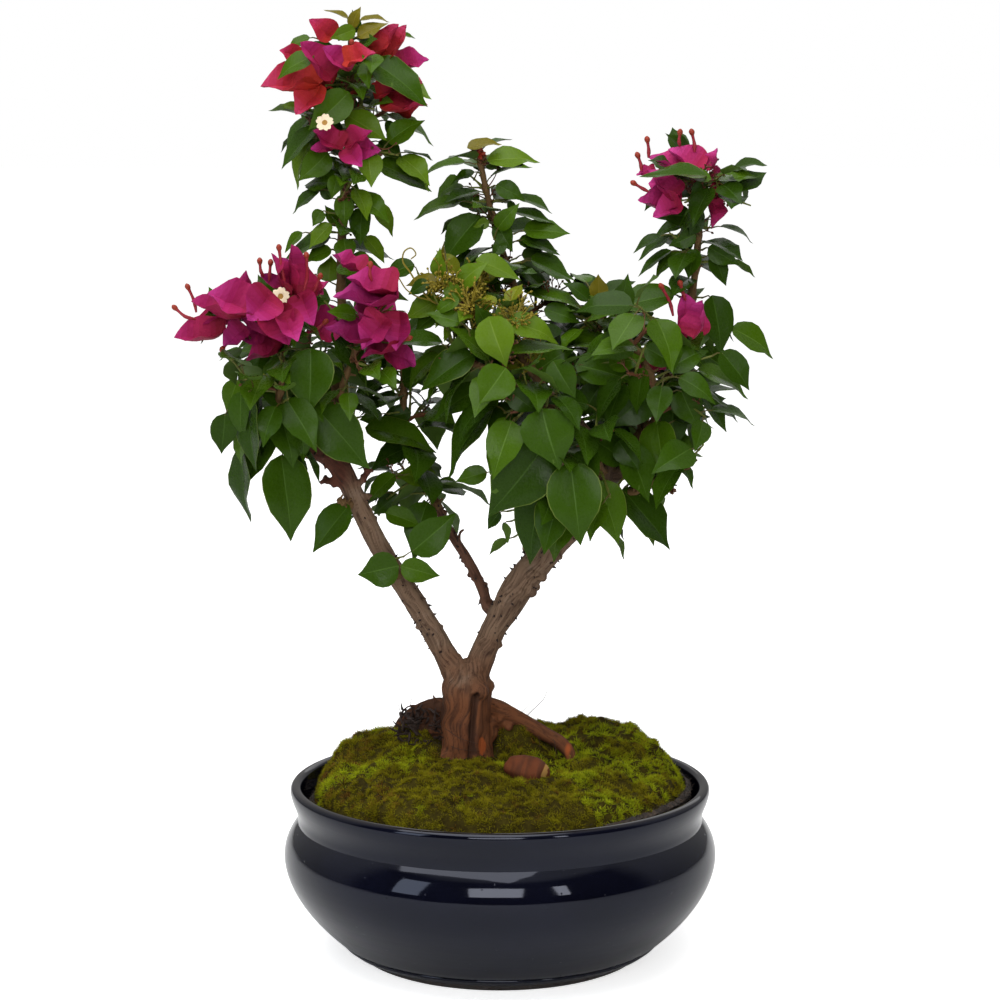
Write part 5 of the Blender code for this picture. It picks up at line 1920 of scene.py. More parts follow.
LEAF_FORM = BladeForm((0.0, 0.07, 0.18, 0.32, 0.47, 0.62, 0.76, 0.89, 1.0),
                      (-1.0, -0.5, -0.035, 0.035, 0.5, 1.0),
                      0.70, 0.80, 0.46, 0.32 * MM)
LARGE_FORM = BladeForm((0.0, 0.05, 0.13, 0.24, 0.37, 0.50, 0.63, 0.76, 0.88, 1.0),
                       (-1.0, -0.96, -0.62, -0.30, -0.025, 0.025, 0.30, 0.62, 0.96, 1.0),
                       0.70, 0.80, 0.46, 0.34 * MM)
BRACT_FORM = BladeForm((0.0, 0.05, 0.12, 0.21, 0.31, 0.42, 0.53, 0.64, 0.75, 0.86, 0.94, 1.0),
                       (-1.0, -0.72, -0.36, -0.03, 0.03, 0.36, 0.72, 1.0),
                       0.60, 0.60, 0.30, 0.16 * MM, 0.0, 1.1 * MM, 0.16)


class Neighbours:
    """What has been placed, so that nothing is grown into it."""

    def __init__(self) -> None:
        """Start with nothing placed."""
        self.lows = np.empty((0, 3))
        self.highs = np.empty((0, 3))
        self.waiting: list[tuple] = []
        self.owners: list[str] = []
        self.trees: list[BVHTree] = []

    def add(self, owner: str, points: list, faces: list) -> None:
        """Keep a piece under its owner's name."""
        self.keep(owner, points, BVHTree.FromPolygons(points, faces))

    def keep(self, owner: str, points: list, tree: BVHTree) -> None:
        """Keep a piece by its points and search tree.

        Args:
            owner: whose piece it is.
            points: its corners.
            tree: its search tree.
        """
        places = np.array([tuple(place) for place in points])
        self.waiting.append((places.min(axis=0), places.max(axis=0)))
        self.owners.append(owner)
        self.trees.append(tree)

    def touches(self, points: list, faces: list, owner: str | None) -> bool:
        """Whether a piece meets anything that belongs to another owner.

        Args:
            points: the piece's corners.
            faces: its faces.
            owner: whose pieces it may meet.

        Returns:
            True where it meets another's.
        """
        if self.waiting:
            self.lows = np.concatenate([self.lows, [low for low, _ in self.waiting]])
            self.highs = np.concatenate([self.highs, [high for _, high in self.waiting]])
            self.waiting = []
        places = np.array([tuple(place) for place in points])
        low, high = places.min(axis=0), places.max(axis=0)
        near = np.flatnonzero(np.all((self.lows <= high) & (self.highs >= low), axis=1))
        near = [index for index in near if self.owners[index] != owner]
        if not near:
            return False
        tree = BVHTree.FromPolygons(points, faces)
        return any(tree.overlap(self.trees[index]) for index in near)


@dataclass
class Sight:
    """Lines of sight that stay free: open sky, and the space in front of what is seen singly."""
    rows: list = field(default_factory=lambda: [(*in_mm(*opening), 1.0) for opening in OPENINGS])

    @staticmethod
    def apparent(place: Vector) -> tuple[float, float]:
        """Where a place appears from the front, across and up, in the plane through the pot's middle."""
        nearer = CAMERA_PLACE.y / (CAMERA_PLACE.y - place.y)
        return place.x * nearer, CAMERA_PLACE.z + (place.z - CAMERA_PLACE.z) * nearer

    def keep(self, blade: Blade) -> None:
        """Keep the view of a blade free.

        Args:
            blade: the blade that is to be seen.
        """
        foot = blade.root + blade.stalk_way * blade.stalk
        for share, size in ((0.30, 0.40), (0.62, 0.32)):
            x, z = self.apparent(foot + blade.way * blade.length * share)
            self.rows.append((x, z, size * blade.width * max(0.4, blade.face.dot(FORWARD)), blade.root.y))

    def blocked(self, blade: Blade) -> bool:
        """Whether a blade would stand in open sky or before what is seen singly.

        Args:
            blade: the blade to test.

        Returns:
            True where it would.
        """
        foot = blade.root + blade.stalk_way * blade.stalk
        for share in (0.3, 0.65, 1.0):
            x, z = self.apparent(foot + blade.way * blade.length * share)
            for middle, high, radius, depth in self.rows:
                if blade.root.y < depth and (x - middle) ** 2 + (z - high) ** 2 < radius * radius:
                    return True
        return False


def leaf_pose(tangent: Vector, angle: float, opening: float, droop: float) -> tuple[Vector, Vector, Vector]:
    """Directions of a leaf's stalk, its blade and level, on a twig that runs along tangent.

    Args:
        tangent: the twig's direction.
        angle: turn about the twig.
        opening: angle between twig and stalk.
        droop: how far the blade hangs below its stalk.

    Returns:
        The three directions.
    """
    outward = outward_of(tangent, angle)
    stalk_way = (tangent * math.cos(opening) + outward * math.sin(opening)).normalized()
    level = Vector((stalk_way.x, stalk_way.y, 0.0))
    level = level.normalized() if level.length > 0.05 else outward.normalized()
    climb = max(math.asin(max(-1.0, min(1.0, stalk_way.z))) - droop, STEEPEST)
    return stalk_way, level * math.cos(climb) + UP * math.sin(climb), level


def face_for(way: Vector, level: Vector, roll: float) -> Vector:
    """Upper face of a blade, turned to the light and outwards, then rolled about the blade."""
    toward = LIGHT + level * 0.55
    return Matrix.Rotation(roll, 3, way) @ (toward - way * toward.dot(way)).normalized()


class Grower:
    """Grows one mass by the rule of its solid, then on into finer twigs."""

    def __init__(self, mass: Mass, neighbours: Neighbours, sheaves: dict, sight: Sight) -> None:
        """Prepare a mass with its own random numbers, one set for its growth and one for its looks.

        Args:
            mass: the mass to grow.
            neighbours: what has been placed so far.
            sheaves: leaves, twigs, bracts and flowers by name.
            sight: the views that stay free.
        """
        self.mass = mass
        self.sight = sight
        self.neighbours = neighbours
        self.sheaves = sheaves
        self.rng = random.Random(mass.seed)
        self.looks = random.Random(mass.seed + 500)
        self.blades = Neighbours()
        self.path: list = []
        self.fine: list = []
        self.spine: list = []
        self.twigs: list = []
        self.clearance = CLEARANCE
        self.sag = 1.0
        self.tint = mass.tints[0]
        self.blooms = 0
        self.leaf_count = 0
        self.missed = 0

    def twig(self, path: list, start: float, end: float) -> bool:
        """A twig along a path, unless it would touch another node.

        Args:
            path: its middle line.
            start: its radius at the foot.
            end: its radius at the tip.

        Returns:
            False where it would touch.
        """
        points, faces = tube_mesh(path, spread([start, end], len(path)), 3)
        if self.neighbours.touches(points, faces, self.mass.name):
            return False
        self.neighbours.add(self.mass.name, points, faces)
        self.blades.add("twig", points, faces)
        return True

    def draw_twig(self, path: list, start: float, end: float, finish: Tissue) -> None:
        """Draw a twig with a swelling at each leaf scar.

        Args:
            path: its middle line.
            start: its radius at the foot.
            end: its radius at the tip.
            finish: its finish.
        """
        radii = []
        for index, radius in enumerate(spread([start, 0.75 * start + 0.25 * end, end], len(path))):
            node = 1.4 if index % 4 == 2 else 1.0
            radii.append(radius * node * self.looks.uniform(0.9, 1.1))
        self.sheaves["twigs"].tube(path, radii, 8 if start > THICK_STEM else 5, finish)
        if start > THICK_STEM:
            self.spurs(path, radii)

    def spurs(self, path: list, radii: list) -> None:
        """Stubs of old stalks round a stem.

        Args:
            path: the stem's middle line.
            radii: its radius at each point.
        """
        along = directions(path)
        for index in range(2, len(path) - 1, 2):
            outward = outward_of(along[index], index * GOLDEN_ANGLE)
            end = path[index] + outward * (radii[index] + self.looks.uniform(0.6, 3.2) * MM) + UP * 0.8 * MM
            self.sheaves["twigs"].tube([path[index], end], in_mm(0.85, 0.5), 5, STEM)

    def has_room(self, blade: Blade, bloom: str | None = None) -> bool:
        """Whether a leaf, or a bract of a bloom, stays in reach and meets nothing but its own twig.

        Args:
            blade: the leaf or bract.
            bloom: the bloom that it belongs to, for a bract.

        Returns:
            True where it has room, and it is then kept.
        """
        if self.sight.blocked(blade):
            return False
        points, faces = blade.coarse(self.clearance)
        if min((points[-1] - place).length for place in self.spine) > self.mass.reach * MM:
            return False
        if self.neighbours.touches(points, faces, self.mass.name):
            return False
        points, faces = blade.coarse(skip=ROOT_ZONE)
        if self.blades.touches(points, faces, bloom):
            return False
        self.blades.add(bloom or "blade", points, faces)
        return True

    def leaf(self, blade: Blade) -> bool:
        """A leaf, where it has room.

        Args:
            blade: where it stands and its shape.

        Returns:
            False where it has no room.
        """
        if not self.has_room(blade):
            return False
        self.neighbours.add(self.mass.name, *blade.coarse())
        self.draw_leaf(blade)
        return True

    def draw_leaf(self, blade: Blade) -> None:
        """Draw a leaf in the tint of its spray, with its stalk.

        Args:
            blade: where it stands and its shape.
        """
        tint = self.tint
        if self.looks.random() < OTHER_TINT:
            tint = self.looks.choice(self.mass.tints)
        form = LARGE_FORM if blade.length > 0.9 * LARGE_LEAF else LEAF_FORM
        self.leaf_count += 1
        faces, parts = form.faces()
        coats = {"blade": tint.blade, "rib": tint.rib, "edge": MARGIN, "under": UNDERSIDE}
        self.sheaves["leaves"].add(form.points(blade, self.mass.seed * 1000 + self.leaf_count), faces,
                                   [coats[part] for part in parts])
        base = blade.root + blade.stalk_way * blade.stalk
        inner = blade.root - blade.stalk_way * 0.8 * MM
        bow = blade.root.lerp(base, 0.55) + blade.stalk_way * 0.04 * blade.stalk + UP * 0.06 * blade.stalk
        path = [inner, bow, base + blade.way * 0.06 * blade.length]
        self.sheaves["leaves"].tube(path, in_mm(0.62, 0.46, 0.36), 4, STALK)

    def leaf_shape(self, length: float) -> tuple:
        """Stalk, length, width, arch and fold of a leaf.

        Args:
            length: its length in metres.

        Returns:
            The five values.
        """
        stalk = LEAF_STALK * (0.55 + 0.45 * length / LEAF_LENGTH)
        width = length * LEAF_WIDTH * self.rng.uniform(0.92, 1.10)
        return stalk, length, width, self.rng.uniform(0.08, 0.24), LEAF_FOLD

    def leaves_along(self, path: list, count: int, first: float, length: float) -> None:
        """Leaves round a twig at the golden angle, smaller and more upright to its tip.

        Args:
            path: the twig.
            count: how many leaves it carries.
            first: share of the twig that stays bare at its foot.
            length: length of a full leaf in millimetres.
        """
        along = directions(path)
        start = self.rng.uniform(0.0, 2.0 * math.pi)
        for index in range(count):
            share = first + (1.0 - first) * (index + 0.6) / count
            root, low = along_at(path, share)
            size = length * MM * (1.0 - LEAF_TAPER * share ** 3) * self.rng.uniform(*SIZE_RANGE)
            wide, narrow = LEAF_OPENING
            opening = math.radians(wide + (narrow - wide) * share + self.rng.uniform(-8.0, 8.0))
            droop = math.radians(self.mass.droop * self.sag * (1.15 - 0.5 * share))
            droop += math.radians(self.rng.uniform(-12.0, 12.0))
            angle = start + index * GOLDEN_ANGLE + self.rng.uniform(-0.3, 0.3)
            roll = self.rng.uniform(-0.6, 0.6)
            shape = self.leaf_shape(size)
            for attempt in TURN_TRIES:
                stalk_way, way, level = leaf_pose(along[low], angle + attempt, opening, droop)
                if self.leaf(Blade(root, way, face_for(way, level, roll), stalk_way, *shape)):
                    break

    def single(self, at: float, turn: float, rise: float, length: float) -> None:
        """One leaf with a stated heading, such as a large one that hangs in front.

        Args:
            at: its place along the stem, from 0 to 1.
            turn: its compass turn in degrees.
            rise: its climb in degrees.
            length: its length in millimetres.
        """
        root, _ = along_at(self.path, at)
        way = heading(turn, rise)
        shape = self.leaf_shape(length * MM)
        face = face_for(way, heading(turn, 0.0), 0.0)
        self.leaf(Blade(root, way, face, heading(turn, 0.4 * rise + 12.0), *shape))

    def bloom(self, tip: Vector, axis: Vector, length: float) -> None:
        """Bracts in threes round the tip of a shoot, all but the first with a flower tube.

        Args:
            tip: the shoot's tip.
            axis: the shoot's direction.
            length: length of a bract in millimetres.
        """
        self.blooms += 1
        name = "bloom " + str(self.blooms)
        spoke = Matrix.Rotation(self.rng.uniform(0.0, 2.0 * math.pi), 3, axis) @ axis.orthogonal()
        spoke.normalize()
        turn = Matrix.Rotation(2.0 * math.pi / BRACTS_IN_BLOOM, 3, axis)
        spokes = [spoke, turn @ spoke, turn @ turn @ spoke]
        colour = self.looks.choice(self.mass.blooms)
        placed = 0
        for index in range(BRACTS_IN_BLOOM):
            outward = (spokes[index] + spokes[(index + 1) % BRACTS_IN_BLOOM]).normalized()
            opening = math.radians(self.rng.uniform(*BRACT_OPENING))
            way = (axis * math.cos(opening) + outward * math.sin(opening)).normalized()
            face = (axis - way * axis.dot(way)).normalized()
            size = length * MM * self.rng.uniform(0.88, 1.08) * INNER_BRACT
            arch = self.rng.uniform(0.05, 0.2)
            blade = Blade(tip + axis * HUB_RISE, way, face, way, BRACT_STALK, size, size * BRACT_WIDTH,
                          arch, BRACT_FOLD)
            if not self.has_room(blade, name):
                continue
            blade.width *= DRAWN_BRACT
            self.draw_bract(blade, colour)
            placed += 1
            if index:
                self.draw_bud(tip, (axis + outward * self.looks.uniform(0.15, 0.5)).normalized(), size * 0.7)
        if not placed:
            return
        hub = [tip - axis * 2.0 * MM, tip + axis * 0.5 * MM, tip + axis * 2.2 * MM]
        self.sheaves["bracts"].tube(hub, in_mm(0.7, 1.1, 0.6), 6, colour.tone(0.0))

    def draw_bract(self, blade: Blade, colour: Bloom) -> None:
        """Draw a papery bract.

        Args:
            blade: where it stands and its shape.
            colour: its bloom's colour.
        """
        faces, parts = BRACT_FORM.faces()
        self.leaf_count += 1
        rows = len(BRACT_FORM.stations) - 1
        shares = [BRACT_FORM.stations[number * rows // len(faces)] for number in range(len(faces))]
        tones = [colour.tone(share * (0.6 if part == "rib" else 1.0)) for share, part in zip(shares, parts)]
        points = BRACT_FORM.points(blade, self.mass.seed * 1000 + self.leaf_count)
        self.sheaves["bracts"].add(points, faces, tones)

    def draw_bud(self, foot: Vector, way: Vector, size: float, share: float | None = None) -> None:
        """Draw a flower tube that ends in a closed, knobbly bud.

        Args:
            foot: where the tube starts.
            way: its direction.
            size: the size that its length is a share of.
            share: that share, or None for a random one.
        """
        long = size * (share or self.looks.uniform(0.42, 0.80))
        sway = way.orthogonal().normalized() * long * self.looks.uniform(-0.14, 0.14)
        tip = foot + way * long + sway * 0.3 + UP * 0.08 * long
        path = smooth_route([foot, foot + way * long * 0.5 + sway, tip], 3)
        self.sheaves["flowers"].tube(path, in_mm(*TUBE_RADII), 6, BUD_TUBE)
        along = (path[-1] - path[-2]).normalized()
        knob = [path[-1] + along * step * MM for step in BUD_STEPS]
        self.sheaves["flowers"].tube(knob, in_mm(*BUD_RADII), 6, BUD_TIP)

    def seen(self) -> None:
        """The leaves and bracts of the mass that are seen singly, each on a stalk from the nearest wood."""
        tables = ((SEEN_LEAVES, LEAF_WIDTH, None), (SEEN_BRACTS, SEEN_BRACT_WIDTH, self.draw_bract))
        for table, ratio, draw in tables:
            for tint, rows in table.get(self.mass.name, {}).items():
                self.tint = tint
                for row in rows:
                    self.seen_blade(row, ratio, draw)

    def seen_blade(self, row: tuple, ratio: float, draw: Callable | None) -> None:
        """Place one blade.

        Args:
            row: its foot, turn, climb and length, and how far its face looks forward.
            ratio: its least width as a share of its length.
            draw: what draws it, where it isn't a leaf.
        """
        *foot, turn, rise, length, forward = row
        broad, forward = max(1.0, abs(forward)), max(-1.0, min(1.0, forward))
        way = heading(turn, rise)
        front = (FORWARD - way * way.dot(FORWARD)).normalized()
        above = way.cross(front)
        above = above if above.z > 0.0 else -above
        face = front * forward + above * math.sqrt(max(0.0, 1.0 - forward * forward))
        for shift in DEPTH_TRIES:
            place = point(foot[0], foot[1] + shift, foot[2])
            nearest = min((spot for path in self.twigs + [self.fine] for spot in path),
                          key=lambda spot: (spot - place).length + 0.5 * max(0.0, spot.z - place.z))
            toward = (place - nearest).normalized()
            stalk = min(LEAF_STALK * (0.4 + 0.4 * length * MM / LEAF_LENGTH), 0.8 * (place - nearest).length)
            bow = (toward + UP * 0.1).normalized()
            width = length * MM * ratio * broad
            fold = LEAF_FOLD if draw is None else SEEN_BRACT_FOLD
            blade = Blade(place - bow * stalk, way, face, bow, stalk, length * MM, width,
                          self.looks.uniform(0.04, 0.16), fold)
            if self.free(blade):
                break
        else:
            self.missed += 1
            return
        self.sight.keep(blade)
        self.neighbours.add(self.mass.name, *blade.coarse())
        if (blade.root - nearest).length > 1.5 * MM:
            middle = nearest.lerp(blade.root, 0.5) + UP * 0.04 * (blade.root - nearest).length
            route = smooth_route([nearest, middle, blade.root], 3)
            self.draw_twig(route, *SEEN_TWIG, GREEN_SHOOT)
        if draw is None:
            self.draw_leaf(blade)
        else:
            draw(blade, self.tint)

    def free(self, blade: Blade) -> bool:
        """Whether a blade that is seen singly meets no other; it is kept where it doesn't.

        Args:
            blade: the blade to test.

        Returns:
            True where it meets none.
        """
        points, faces = blade.coarse(0.0, ROOT_ZONE)
        if self.neighbours.touches(points, faces, self.mass.name):
            return False
        if self.blades.touches(points, faces, "twig"):
            return False
        self.blades.add("blade", points, faces)
        return True

    def shoot(self, plan: Shoot) -> None:
        """A side shoot with its leaves and bloom.

        Args:
            plan: the shoot's plan.
        """
        root, _ = along_at(self.path, plan.at)
        way = heading(plan.turn, plan.rise)
        sag = -UP * 0.12 * plan.long * MM
        route = [root, root + way * plan.long * MM * 0.5 - sag * 0.5, root + way * plan.long * MM]
        side_path = smooth_route(route, 2)
        if not self.twig(side_path, TWIG_TIP * 1.25, TWIG_TIP):
            return
        self.draw_twig(smooth_route(route, 6), TWIG_TIP, TWIG_TIP * 0.7, SHOOT)
        self.tint = self.looks.choice(self.mass.tints)
        self.spine.append(side_path[-1])
        self.twigs.append(side_path)
        self.leaves_along(side_path, plan.leaves, 0.25, self.mass.size)
        if plan.bloom:
            axis = (side_path[-1] - side_path[-2]).normalized()
            self.bloom(side_path[-1], axis, plan.bloom)

    def plant(self, wood: Wood) -> None:
        """The stem of the mass, which stands on its limb.

        Args:
            wood: the limbs.
        """
        mass = self.mass
        start, axis = wood.seat(mass.bough, mass.share, mass.route[0])
        route = [start] + points_of(mass.route)
        self.path = lead_route(route, 2, axis)
        self.fine = [start - axis * 2.5 * MM] + lead_route(route, 7, axis)
        self.spine = list(self.path)
        self.twigs = [self.path]
        points, faces = tube_mesh(self.path, spread([mass.stem * MM, TWIG_TIP], len(self.path)), 3)
        self.neighbours.add(mass.name, points, faces)
        self.blades.add("twig", points, faces)
        self.draw_twig(self.fine, 1.1 * mass.stem * MM, TWIG_TIP * 1.25, STEM)

    def grow(self) -> None:
        """Shoots, blooms and leaves as the solid has them."""
        mass = self.mass
        for single in mass.singles:
            self.tint = self.looks.choice(mass.tints)
            self.single(*single)
        for plan in mass.shoots:
            self.shoot(plan)
        self.tint = mass.tints[0]
        self.leaves_along(self.path, mass.leaves, mass.first, mass.size)

    def refine(self) -> None:
        """Finer twigs and leaves between those of the solid, within the same reach."""
        mass = self.mass
        self.clearance = 0.0
        self.sag = FINE_DROOP
        self.rng = self.looks
        for index in range(mass.fine):
            path = self.twigs[index % len(self.twigs)]
            share = mass.first + (0.97 - mass.first) * ((index * GOLDEN_SHARE) % 1.0)
            root, low = along_at(path, share)
            tangent = directions(path)[low]
            outward = outward_of(tangent, index * GOLDEN_ANGLE + 1.0)
            way = (outward + tangent * self.looks.uniform(0.2, 0.9) + UP * 0.25).normalized()
            long = mass.size * MM * self.looks.uniform(0.35, 0.75)
            route = [root, root + way * long * 0.5 + UP * 0.04 * long, root + way * long]
            twig = smooth_route(route, 2)
            if not self.twig(twig, *FINE_TWIG):
                continue
            self.tint = self.looks.choice(mass.tints)
            before = self.leaf_count
            self.leaves_along(twig, 4, 0.15, mass.size * FINE_SIZE)
            if self.leaf_count > before:
                self.draw_twig(smooth_route(route, 4), *DRAWN_FINE_TWIG, GREEN_SHOOT)
        for index in range(mass.sprigs):
            self.sprig(index)

    def sprig(self, index: int) -> None:
        """A fine forked sprig of flower buds, as at the feet of the blooms.

        Args:
            index: its number in the mass.
        """
        path = self.twigs[index % len(self.twigs)]
        root, low = along_at(path, self.looks.uniform(0.35, 1.0))
        tangent = directions(path)[low]
        outward = outward_of(tangent, index * GOLDEN_ANGLE)
        way = (outward + tangent * self.looks.uniform(0.0, 0.9)).normalized()
        long = self.looks.uniform(4.0, 11.0) * MM
        finish, bud_finish = (SPRAY, SPRAY) if Tint.YOUNG in self.mass.tints else (SHOOT, SEED_TIP)
        bent = root + way * long * 0.6 + UP * 0.1 * long
        stem = smooth_route([root, bent, root + way * long + UP * 0.35 * long], 3)
        self.sheaves["twigs"].tube(stem, spread(in_mm(0.52, 0.32), len(stem)), 4, finish)
        for fork in range(self.looks.randint(2, 4)):
            start = stem[-1 - fork]
            arm = (way + outward_of(way, fork * 2.1 + index) * 0.9).normalized()
            reach = self.looks.uniform(1.5, 4.0) * MM
            end = start + arm * reach + UP * 0.3 * reach
            self.sheaves["twigs"].tube([start, end], in_mm(0.34, 0.26), 3, finish)
            bud = [end - arm * 0.2 * MM, end + arm * 0.7 * MM, end + arm * 1.5 * MM]
            self.sheaves["twigs"].tube(bud, in_mm(0.38, 0.78, 0.15), 5, bud_finish)


MASSES = [
    Mass("low_sprig", "left_bough", 0.555,
         [(-85, -12, 254), (-88, -14, 256)],
         0, 30.0, 16, stem=1.8, fine=0),
    Mass("mid_sprig", "left_bough", 0.29,
         [(-58, -11, 218), (-57, -13, 223)],
         0, 26.0, 17, stem=1.8, tints=(Tint.FOREST, Tint.MIDDLE), fine=0),
    Mass("left_drooping", "left_bough", 1.0,
         [(-114, -26, 292), (-118, -38, 304), (-116, -46, 320), (-112, -48, 333)],
         5, 35.0, 14, first=0.3, droop=85.0, stem=2.2, reach=75.0,
         singles=[
             (0.76, 330, -42, 45), (0.60, 238, -78, 43)],
         shoots=[Shoot(0.75, 185, 10, 22, 4)], fine=9),
    Mass("left_blossom", "left_bough", 0.97,
         [(-109, -20, 304), (-114, -27, 322), (-119, -31, 346)],
         5, 26.0, 12, first=0.4, droop=50.0, stem=2.2, reach=80.0,
         shoots=[
             Shoot(0.98, 187, 8, 28, 0, 33), Shoot(0.95, 166, 45, 22, 0, 32),
             Shoot(0.98, 262, 40, 12, 0, 32), Shoot(0.93, 320, 72, 20, 0, 32),
             Shoot(0.90, 340, 35, 20, 0, 31), Shoot(0.86, 232, -12, 14, 0, 31),
             Shoot(0.90, 95, 42, 20, 1, 30)], fine=5, sprigs=14),
    Mass("inner_blossom", "left_bough", 0.84,
         [(-90, -20, 300), (-84, -28, 320), (-76, -32, 342)],
         4, 26.0, 13, first=0.4, droop=45.0, stem=2.0, reach=70.0,
         shoots=[
             Shoot(0.97, 330, 50, 14, 0, 33), Shoot(0.98, 350, 4, 12, 0, 31),
             Shoot(0.90, 290, -10, 10, 0, 29)],
         blooms=(Bloom.MAGENTA, Bloom.CRIMSON), fine=5, sprigs=12),
    Mass("left_spire", "left_bough", 0.90,
         [(-94, -5, 302), (-88, -4, 322), (-86, 0, 353), (-86, 0, 390), (-83, 0, 423),
          (-80, 0, 460), (-80, 0, 503)],
         27, 30.0, 11, first=0.33, droop=42.0, reach=62.0, stem=2.8,
         shoots=[
             Shoot(0.80, 190, 30, 25, 1, 32), Shoot(0.87, 228, 48, 20, 0, 31),
             Shoot(0.90, 345, 48, 20, 0, 31), Shoot(0.78, 322, 30, 22, 1, 29),
             Shoot(0.84, 15, 32, 25, 1, 31), Shoot(0.68, 262, 32, 16, 0, 28),
             Shoot(0.85, 95, 38, 22, 1, 30)],
         singles=[(1.0, 60, 78, 13)], tints=(Tint.FOREST, Tint.MIDDLE, Tint.FRESH),
         blooms=(Bloom.SCARLET, Bloom.RUBY, Bloom.SCARLET), fine=26, sprigs=34),
    Mass("left_back", "left_bough", 0.84,
         [(-97, 12, 294), (-104, 26, 308), (-108, 34, 326), (-106, 38, 346)],
         10, 36.0, 15, first=0.25, droop=55.0, reach=70.0,
         shoots=[Shoot(0.8, 165, 25, 22, 3), Shoot(0.7, 20, 20, 22, 2)], fine=9),
    Mass("middle_foliage", "middle_branch", 1.0,
         [(-41, 19, 262), (-48, 20, 278), (-53, 20, 300), (-53, 19, 322), (-50, 18, 338)],
         13, 33.0, 18, first=0.06, droop=48.0, reach=62.0,
         shoots=[Shoot(0.25, 190, 12, 18, 2), Shoot(0.6, 330, 15, 18, 2)],
         tints=(Tint.FOREST, Tint.MIDDLE), fine=8, sprigs=6),
    Mass("right_spire", "right_limb", 1.0,
         [(92, 5, 322), (98, 6, 340), (105, 8, 368), (108, 8, 398), (110, 8, 424)],
         20, 32.0, 25, first=0.18, droop=42.0, reach=62.0,
         singles=[(0.46, 352, -8, 44)],
         shoots=[
             Shoot(0.94, 190, 40, 17, 0, 27), Shoot(0.97, 90, 60, 8, 0, 25),
             Shoot(0.93, 330, 30, 14, 0, 26), Shoot(0.97, 250, 55, 15, 0, 27),
             Shoot(0.30, 235, 30, 14, 0, 26)],
         tints=(Tint.DEEP, Tint.FOREST), fine=10, sprigs=40),
    Mass("rosette", "rear_bough", 0.85,
         [(37, 24, 306), (46, 21, 326), (54, 18, 344), (59, 16, 360)],
         11, 32.0, 26, first=0.35, droop=35.0, reach=62.0,
         tints=(Tint.MIDDLE, Tint.FOREST), fine=7, sprigs=4),
    Mass("centre_spire", "rear_bough", 1.0,
         [(24, 28, 312), (17, 30, 339), (8, 30, 368), (0, 30, 392), (-7, 30, 419), (-12, 30, 443)],
         22, 32.0, 19, first=0.22, droop=42.0, reach=60.0,
         shoots=[Shoot(0.45, 340, 30, 22, 2), Shoot(0.5, 170, 25, 20, 2)],
         tints=(Tint.FOREST, Tint.MIDDLE, Tint.DEEP), fine=12, sprigs=42),
    Mass("crown_low_front", "right_bough", 0.80,
         [(45, -24, 256), (40, -34, 265), (31, -38, 272), (22, -38, 276)],
         4, 36.0, 29, first=0.3, droop=60.0, reach=80.0,
         singles=[
             (1.0, 208, -52, 46), (0.88, 238, -72, 41), (0.62, 298, -66, 45), (0.30, 322, -54, 42)],
         fine=5),
    Mass("crown_front", "right_bough", 0.90,
         [(53, -28, 276), (42, -38, 294), (30, -44, 305), (16, -46, 312)],
         6, 36.0, 21, first=0.3, droop=60.0, reach=80.0,
         singles=[(0.78, 282, -68, 38), (1.0, 195, -35, 38)],
         shoots=[Shoot(0.9, 200, -5, 18, 2), Shoot(0.5, 325, 25, 20, 3)], fine=8, sprigs=3),
    Mass("crown_low_right", "right_bough", 0.80,
         [(64, -19, 259), (77, -24, 264), (90, -24, 272)],
         9, 37.0, 24, first=0.25, droop=70.0, reach=75.0,
         singles=[(0.40, 296, -56, 46)],
         shoots=[Shoot(0.9, 350, 20, 18, 2)], fine=8, sprigs=6),
    Mass("yellow_sprays", "crown_bough", 1.0,
         [(19, -24, 324), (10, -25, 338), (-4, -24, 350), (-20, -22, 362)],
         3, 20.0, 20, first=0.3, droop=10.0, reach=60.0,
         shoots=[
             Shoot(0.95, 190, 40, 22, 2), Shoot(0.85, 240, 30, 18, 1), Shoot(0.9, 100, 50, 20, 2),
             Shoot(0.7, 300, 35, 18, 1)],
         tints=(Tint.FRESH, Tint.YOUNG, Tint.OLIVE), fine=5, sprigs=190),
    Mass("crown_left", "crown_bough", 0.75,
         [(24, -32, 312), (8, -38, 322), (-8, -38, 330), (-22, -32, 334)],
         11, 36.0, 22, first=0.3, droop=52.0, reach=75.0,
         shoots=[Shoot(0.8, 165, 20, 22, 2), Shoot(0.6, 250, 45, 18, 2)],
         tints=(Tint.FOREST, Tint.MIDDLE), fine=10, sprigs=6),
    Mass("crown_right", "right_limb", 0.62,
         [(84, -16, 302), (82, -26, 320), (72, -30, 340), (60, -26, 352)],
         14, 37.0, 23, first=0.15, droop=50.0, reach=80.0,
         shoots=[
             Shoot(0.35, 345, 15, 26, 3), Shoot(0.55, 230, 20, 24, 2), Shoot(0.8, 320, 40, 22, 2)],
         fine=8, sprigs=8),
    Mass("crown_back", "rear_bough", 0.55,
         [(36, 38, 276), (34, 50, 290), (26, 60, 308), (14, 64, 328)],
         14, 38.0, 27, first=0.2, droop=52.0, reach=80.0,
         shoots=[Shoot(0.5, 20, 20, 26, 2), Shoot(0.75, 170, 20, 26, 3), Shoot(0.9, 90, 40, 20, 2)],
         fine=14),
    Mass("crown_back_right", "right_limb", 0.45,
         [(78, 12, 292), (82, 28, 302), (80, 44, 318), (72, 52, 336)],
         14, 37.0, 28, first=0.2, droop=50.0, reach=80.0,
         shoots=[Shoot(0.5, 10, 20, 26, 2), Shoot(0.8, 110, 25, 22, 3)], fine=12),
]


